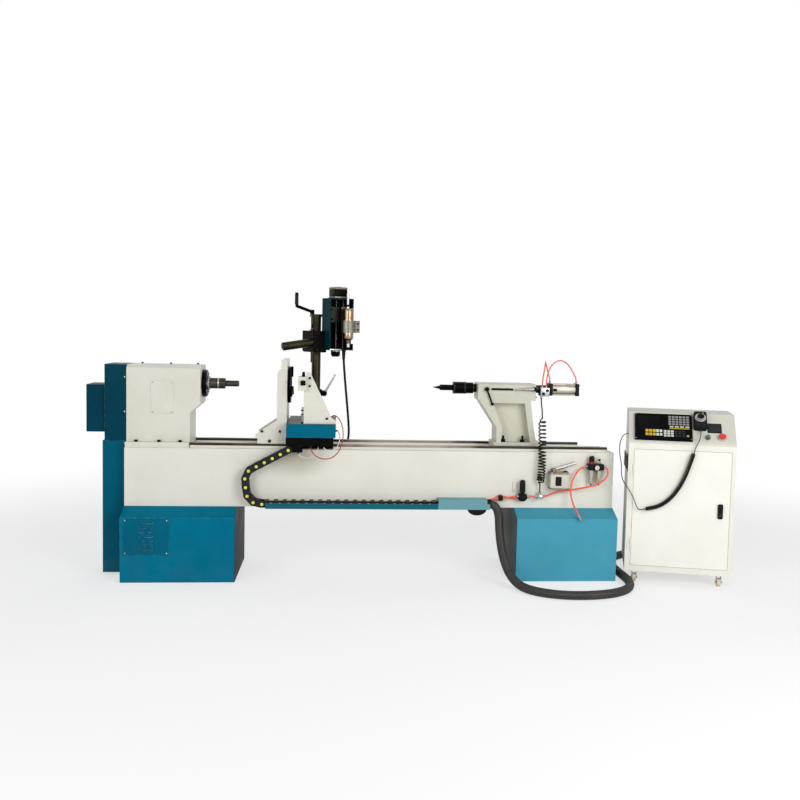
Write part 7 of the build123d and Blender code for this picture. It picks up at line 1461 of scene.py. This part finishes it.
feed_thread = threaded("carriage_feed_thread", turns=119.0, long=2387.6, core=10.9, ridge=1.6, body="feed_screw",
                       place=lambda u, v, w: at(22.4 + w, 210 + u, 650 + v))
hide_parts("feed_screw")
threaded("router_feed_thread", turns=58.0, long=290.0, core=4.6, ridge=0.9, body="lift",
         place=lambda u, v, w: on_arm(84 + u, -89 + v, 1312 + w))
print("feed thread faces", len(feed_thread.data.polygons))

# %% [markdown]
# ## Control cabinet
# The cabinet is folded sheet in an off-white powder coat. On it are a black latch, a louvred vent in its side
# and casters with a nut on each axle. Behind the door stand six drives, each a black box with fins and a green
# row of terminals.

# %% Latch, side vent, drives and caster nuts
gather("door_latch", [
    pressed(black_plastic, 509.6, 538.4, 405.6, 490.4, 6, -9.8, 0, "Y", 1.6),
    pressed(black_plastic, 514, 534, 446, 486, 5, -13.5, -9.5, "Y", 1.6),
    spun(dark_iron, (524, 0, 424), "Y", 22, (-9.5, 7), (-11.4, 7), (-12, 6), (-12, 0)),
    cut(black_plastic, (522.9, -12.3, 420), (525.1, -11.9, 428), 0),
], "cabinet_door", on_cabinet)
gather("side_vent_frame", [pressed(black_plastic, 20, 104, 648, 752, 4, -2.4, 0, "X", 0.8)], "frame", on_cabinet)
slat = master("vent_slat", plate([(-36, -1.2), (36, -1.2), (36, 1.2), (-36, 1.2)], 0, 4, "Z"))
screws("side_vent_slats", slat, black_plastic, "frame",
       [((-2.4, 62, z), (-1, 0, -0.6), 1.0) for z in range(660, 746, 9)], on_cabinet)
drive_shapes = []
for x, z in [(x, z) for x in (150, 300, 450) for z in (298.5, 581.6)]:
    drive_shapes.append(cut(black_plastic, (x - 43, 288, z - 93), (x + 43, 293.4, z + 93), 2))
    drive_shapes.append(cut(green_plastic, (x - 34, 284, z - 86), (x + 34, 289, z - 70), 1))
    for fin in range(7):
        low = z + 20 + 9 * fin
        drive_shapes.append(cut(grey_casting, (x - 36, 285.5, low), (x + 36, 289, low + 4), 0.8))
    drive_shapes.append(cut(dark_iron, (x - 20, 286, z - 40), (x + 20, 288.6, z - 10), 1))
gather("drive_fronts", drive_shapes, "frame", on_cabinet)
nut_rows = [((x + side * 14.3, y, 25), (side, 0, 0), 6) for x in (60, 540) for y in (60, 390) for side in (-1, 1)]
screws("caster_nuts", hex_head, bright_steel, "frame", nut_rows, on_cabinet)
print("drive shapes", len(drive_shapes), "caster nuts", len(nut_rows))

# %% [markdown]
# ## Desk
# The sloping desk carries the controller with its dark screen and groups of plain keys, a bare black plate, the
# hand pendant with its wheel, and the two push buttons. The keys repeat in rows and columns, so one node tree
# lays out every group: a grid of points, one key on each.

# %% Keys in rows and columns
PANEL_TOP = 14
key_field, given, out = new_group(
    "key_field",
    SHAPE,
    {"Columns": 3, "Rows": 2, "Wide": 0.05, "High": 0.03, "Key": "Object", "Finish": "Material"},
    {"Keys": "Geometry"},
)
lattice = put(key_field, "GeometryNodeMeshGrid", {
    "Size X": given["Wide"], "Size Y": given["High"], "Vertices X": given["Columns"], "Vertices Y": given["Rows"],
})
key_spots = wire(key_field, "GeometryNodeMeshToPoints", {"Mesh": lattice.outputs["Mesh"]}, mode="VERTICES")
key_copies = {"Points": key_spots, "Instance": original(key_field, given["Key"])}
send_out(key_field, wire(key_field, "GeometryNodeInstanceOnPoints", key_copies), given, out)


def keys(name, finish, x0, x1, s0, s1, columns, rows, wide, high):
    """Rows and columns of keys inside a rectangle of the desk."""
    outline = round_rect(-wide / 2, wide / 2, -high / 2, high / 2, 1.6, 2)
    key = master(name + "_key", plate(outline, 0, 2.0, "Z", soft=0.7))
    layout = {"Columns": columns, "Rows": rows, "Wide": x1 - x0 - wide, "High": s1 - s0 - high}
    layout.update({"Key": key, "Finish": finish})
    piece = with_nodes(show(name, bpy.data.meshes.new(name)), key_field, layout, name)
    for v in piece.data.vertices:
        v.co = on_desk((x0 + x1) / 2 + v.co.x, (s0 + s1) / 2 + v.co.y, PANEL_TOP + v.co.z)
    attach(piece, "frame")
    bpy.data.objects.remove(key)
    return len(piece.data.polygons)


KEY_GLOSS = (0.35, 0.5)
key_grey = moulded("grey_key", "#8f908d", "#82837f", KEY_GLOSS, coat=0.1)
key_pale = moulded("pale_key", "#cfcfc8", "#c2c2bb", KEY_GLOSS, coat=0.1)
key_yellow = moulded("yellow_key", "#cdb02e", "#bda024", KEY_GLOSS, coat=0.1)
key_dark = moulded("dark_key", "#2a2b2d", "#232426", KEY_GLOSS, shine=0.12)
key_lime = moulded("lime_key", "#a9bd3c", "#9aae32", KEY_GLOSS, coat=0.1)
# name, finish, left, right, foot, head, columns, rows, and the width and height of one key
faces = [keys(*row) for row in (
    ("letter_keys", key_grey, 223, 340, 133, 201, 6, 4, 16, 13),
    ("menu_keys", key_pale, 229, 340, 114, 127, 4, 1, 22, 9),
    ("axis_keys", key_yellow, 92, 150, 51, 96, 3, 2, 17, 19),
    ("speed_keys", key_pale, 153, 187, 51, 96, 2, 2, 15, 19),
    ("number_keys", key_pale, 195, 251, 46, 93, 3, 3, 16, 13),
    ("cycle_keys", key_dark, 257, 315, 46, 93, 3, 3, 16, 13),
    ("run_keys", key_lime, 322, 338, 48, 62, 1, 1, 14, 12),
)]
print("key faces", sum(faces))

# %% Screen, bare plate, pendant, wheel and buttons
START_PUSH, STOP_PUSH, WHEEL = (442, 58, 0), (522, 58, 0), (403, 178, 0)
CASE, CASE_CORNER = (366, 440, 107.2, 228.8), 13
screen_glass = moulded("screen_glass", "#050607", "#08090b", (0.12, 0.2), 80.0, 0.00002, shine=0.06)
gather("desk_plates", [
    pressed(screen_glass, 47.6, 174.4, 102.3, 201.1, 3, 12.05, 12.9, soft=0.3),
    pressed(key_yellow, 228, 341, 105, 111, 1.5, PANEL_TOP, 14.8, soft=0.3),
    pressed(black_plastic, 443, 523, 96, 167, 3, 0, 1.8, soft=0.5),
    pressed(key_dark, 449, 517, 102, 161, 2, 1.7, 2.4, soft=0.3),
    spun(bright_steel, START_PUSH, "Z", 32, (0, 16.5), (7, 16.5), (9.4, 15), (9.4, 11.8), (8.2, 11.6)),
    spun(white_plastic, STOP_PUSH, "Z", 40, (0, 25.4), (7, 25.4), (9.3, 24), (9.3, 14), (9.1, 12)),
], "frame", on_desk)
screws("controller_screws", pan_head, bright_steel, "frame",
       [((x, s, PANEL_TOP), UP, 3.2) for x in (40, 350) for s in (31, 209)], on_desk)
pendant_shapes = [
    pressed(black_plastic, *CASE, CASE_CORNER, 0.2, 17.6, soft=3, steps=6),
    pressed(black_rubber, 367, 439, 108.2, 227.8, 12, 17, 19, steps=6),
    pressed(black_plastic, *CASE, CASE_CORNER, 18.4, 37.8, soft=7, steps=6),
    spun(aluminium, WHEEL, "Z", 40, (37.4, 31), (38.1, 31), (38.4, 29.5), (38.4, 24.6), (38, 24.4)),
]
push = [(37.5, 7), (41.5, 7), (42.5, 5.8), (42.5, 0)]
pendant_shapes += [spun(key_dark, (WHEEL[0] + dx, 126, 0), "Z", 20, *push) for dx in (-18, 18)]
gather("pendant_case", pendant_shapes, "frame", on_desk, stands_for=["pendant"])
gather("pendant_wheel", [
    spun(aluminium, WHEEL, "Z", 48, (38.5, 22), (39.5, 24), (45, 24), (48, 22.4), (50, 20.5), knurl=0.03),
    spun(black_plastic, WHEEL, "Z", 36, (49.6, 20.4), (50.2, 20), (50.2, 0)),
    spun(bright_steel, (413, 186, 0), "Z", 18, (50, 5), (60, 4.4), (66, 5.4), (70, 4), (70.6, 0)),
], "pendant_dial", on_desk, stands_for=["pendant_dial"])
cord_boot = spun(black_rubber, (403, 0, 19), "Y", 20, (107.2, 6.5), (104, 6.5), (103, 5.4), (100, 5.6), (99, 4.6),
                 (96, 4.9), (95, 4), (84, 2.8))
gather("pendant_cord_boot", [cord_boot], "frame", on_desk)
mushroom = spun(red_plastic, STOP_PUSH, "Z", 40, (5.3, 8), (14, 8), (14.3, 13), (15.5, 18.6), (18, 20), (23.5, 20),
                (26.5, 17.6), (28, 12), (28.3, 6), (28.3, 0))
gather("stop_mushroom", [mushroom], "stop_button", on_desk, stands_for=["stop_button"])
start_cap = spun(green_plastic, START_PUSH, "Z", 32, (4.3, 8), (13, 8), (13.3, 11), (20.6, 11), (22, 9.6), (22.3, 7),
                 (22.3, 0))
gather("start_push", [start_cap], "start_button", on_desk, stands_for=["start_button"])
for spare in (socket_head, pan_head, hex_head, pin_head, slat):
    bpy.data.objects.remove(spare)
print("pendant shapes", len(pendant_shapes))
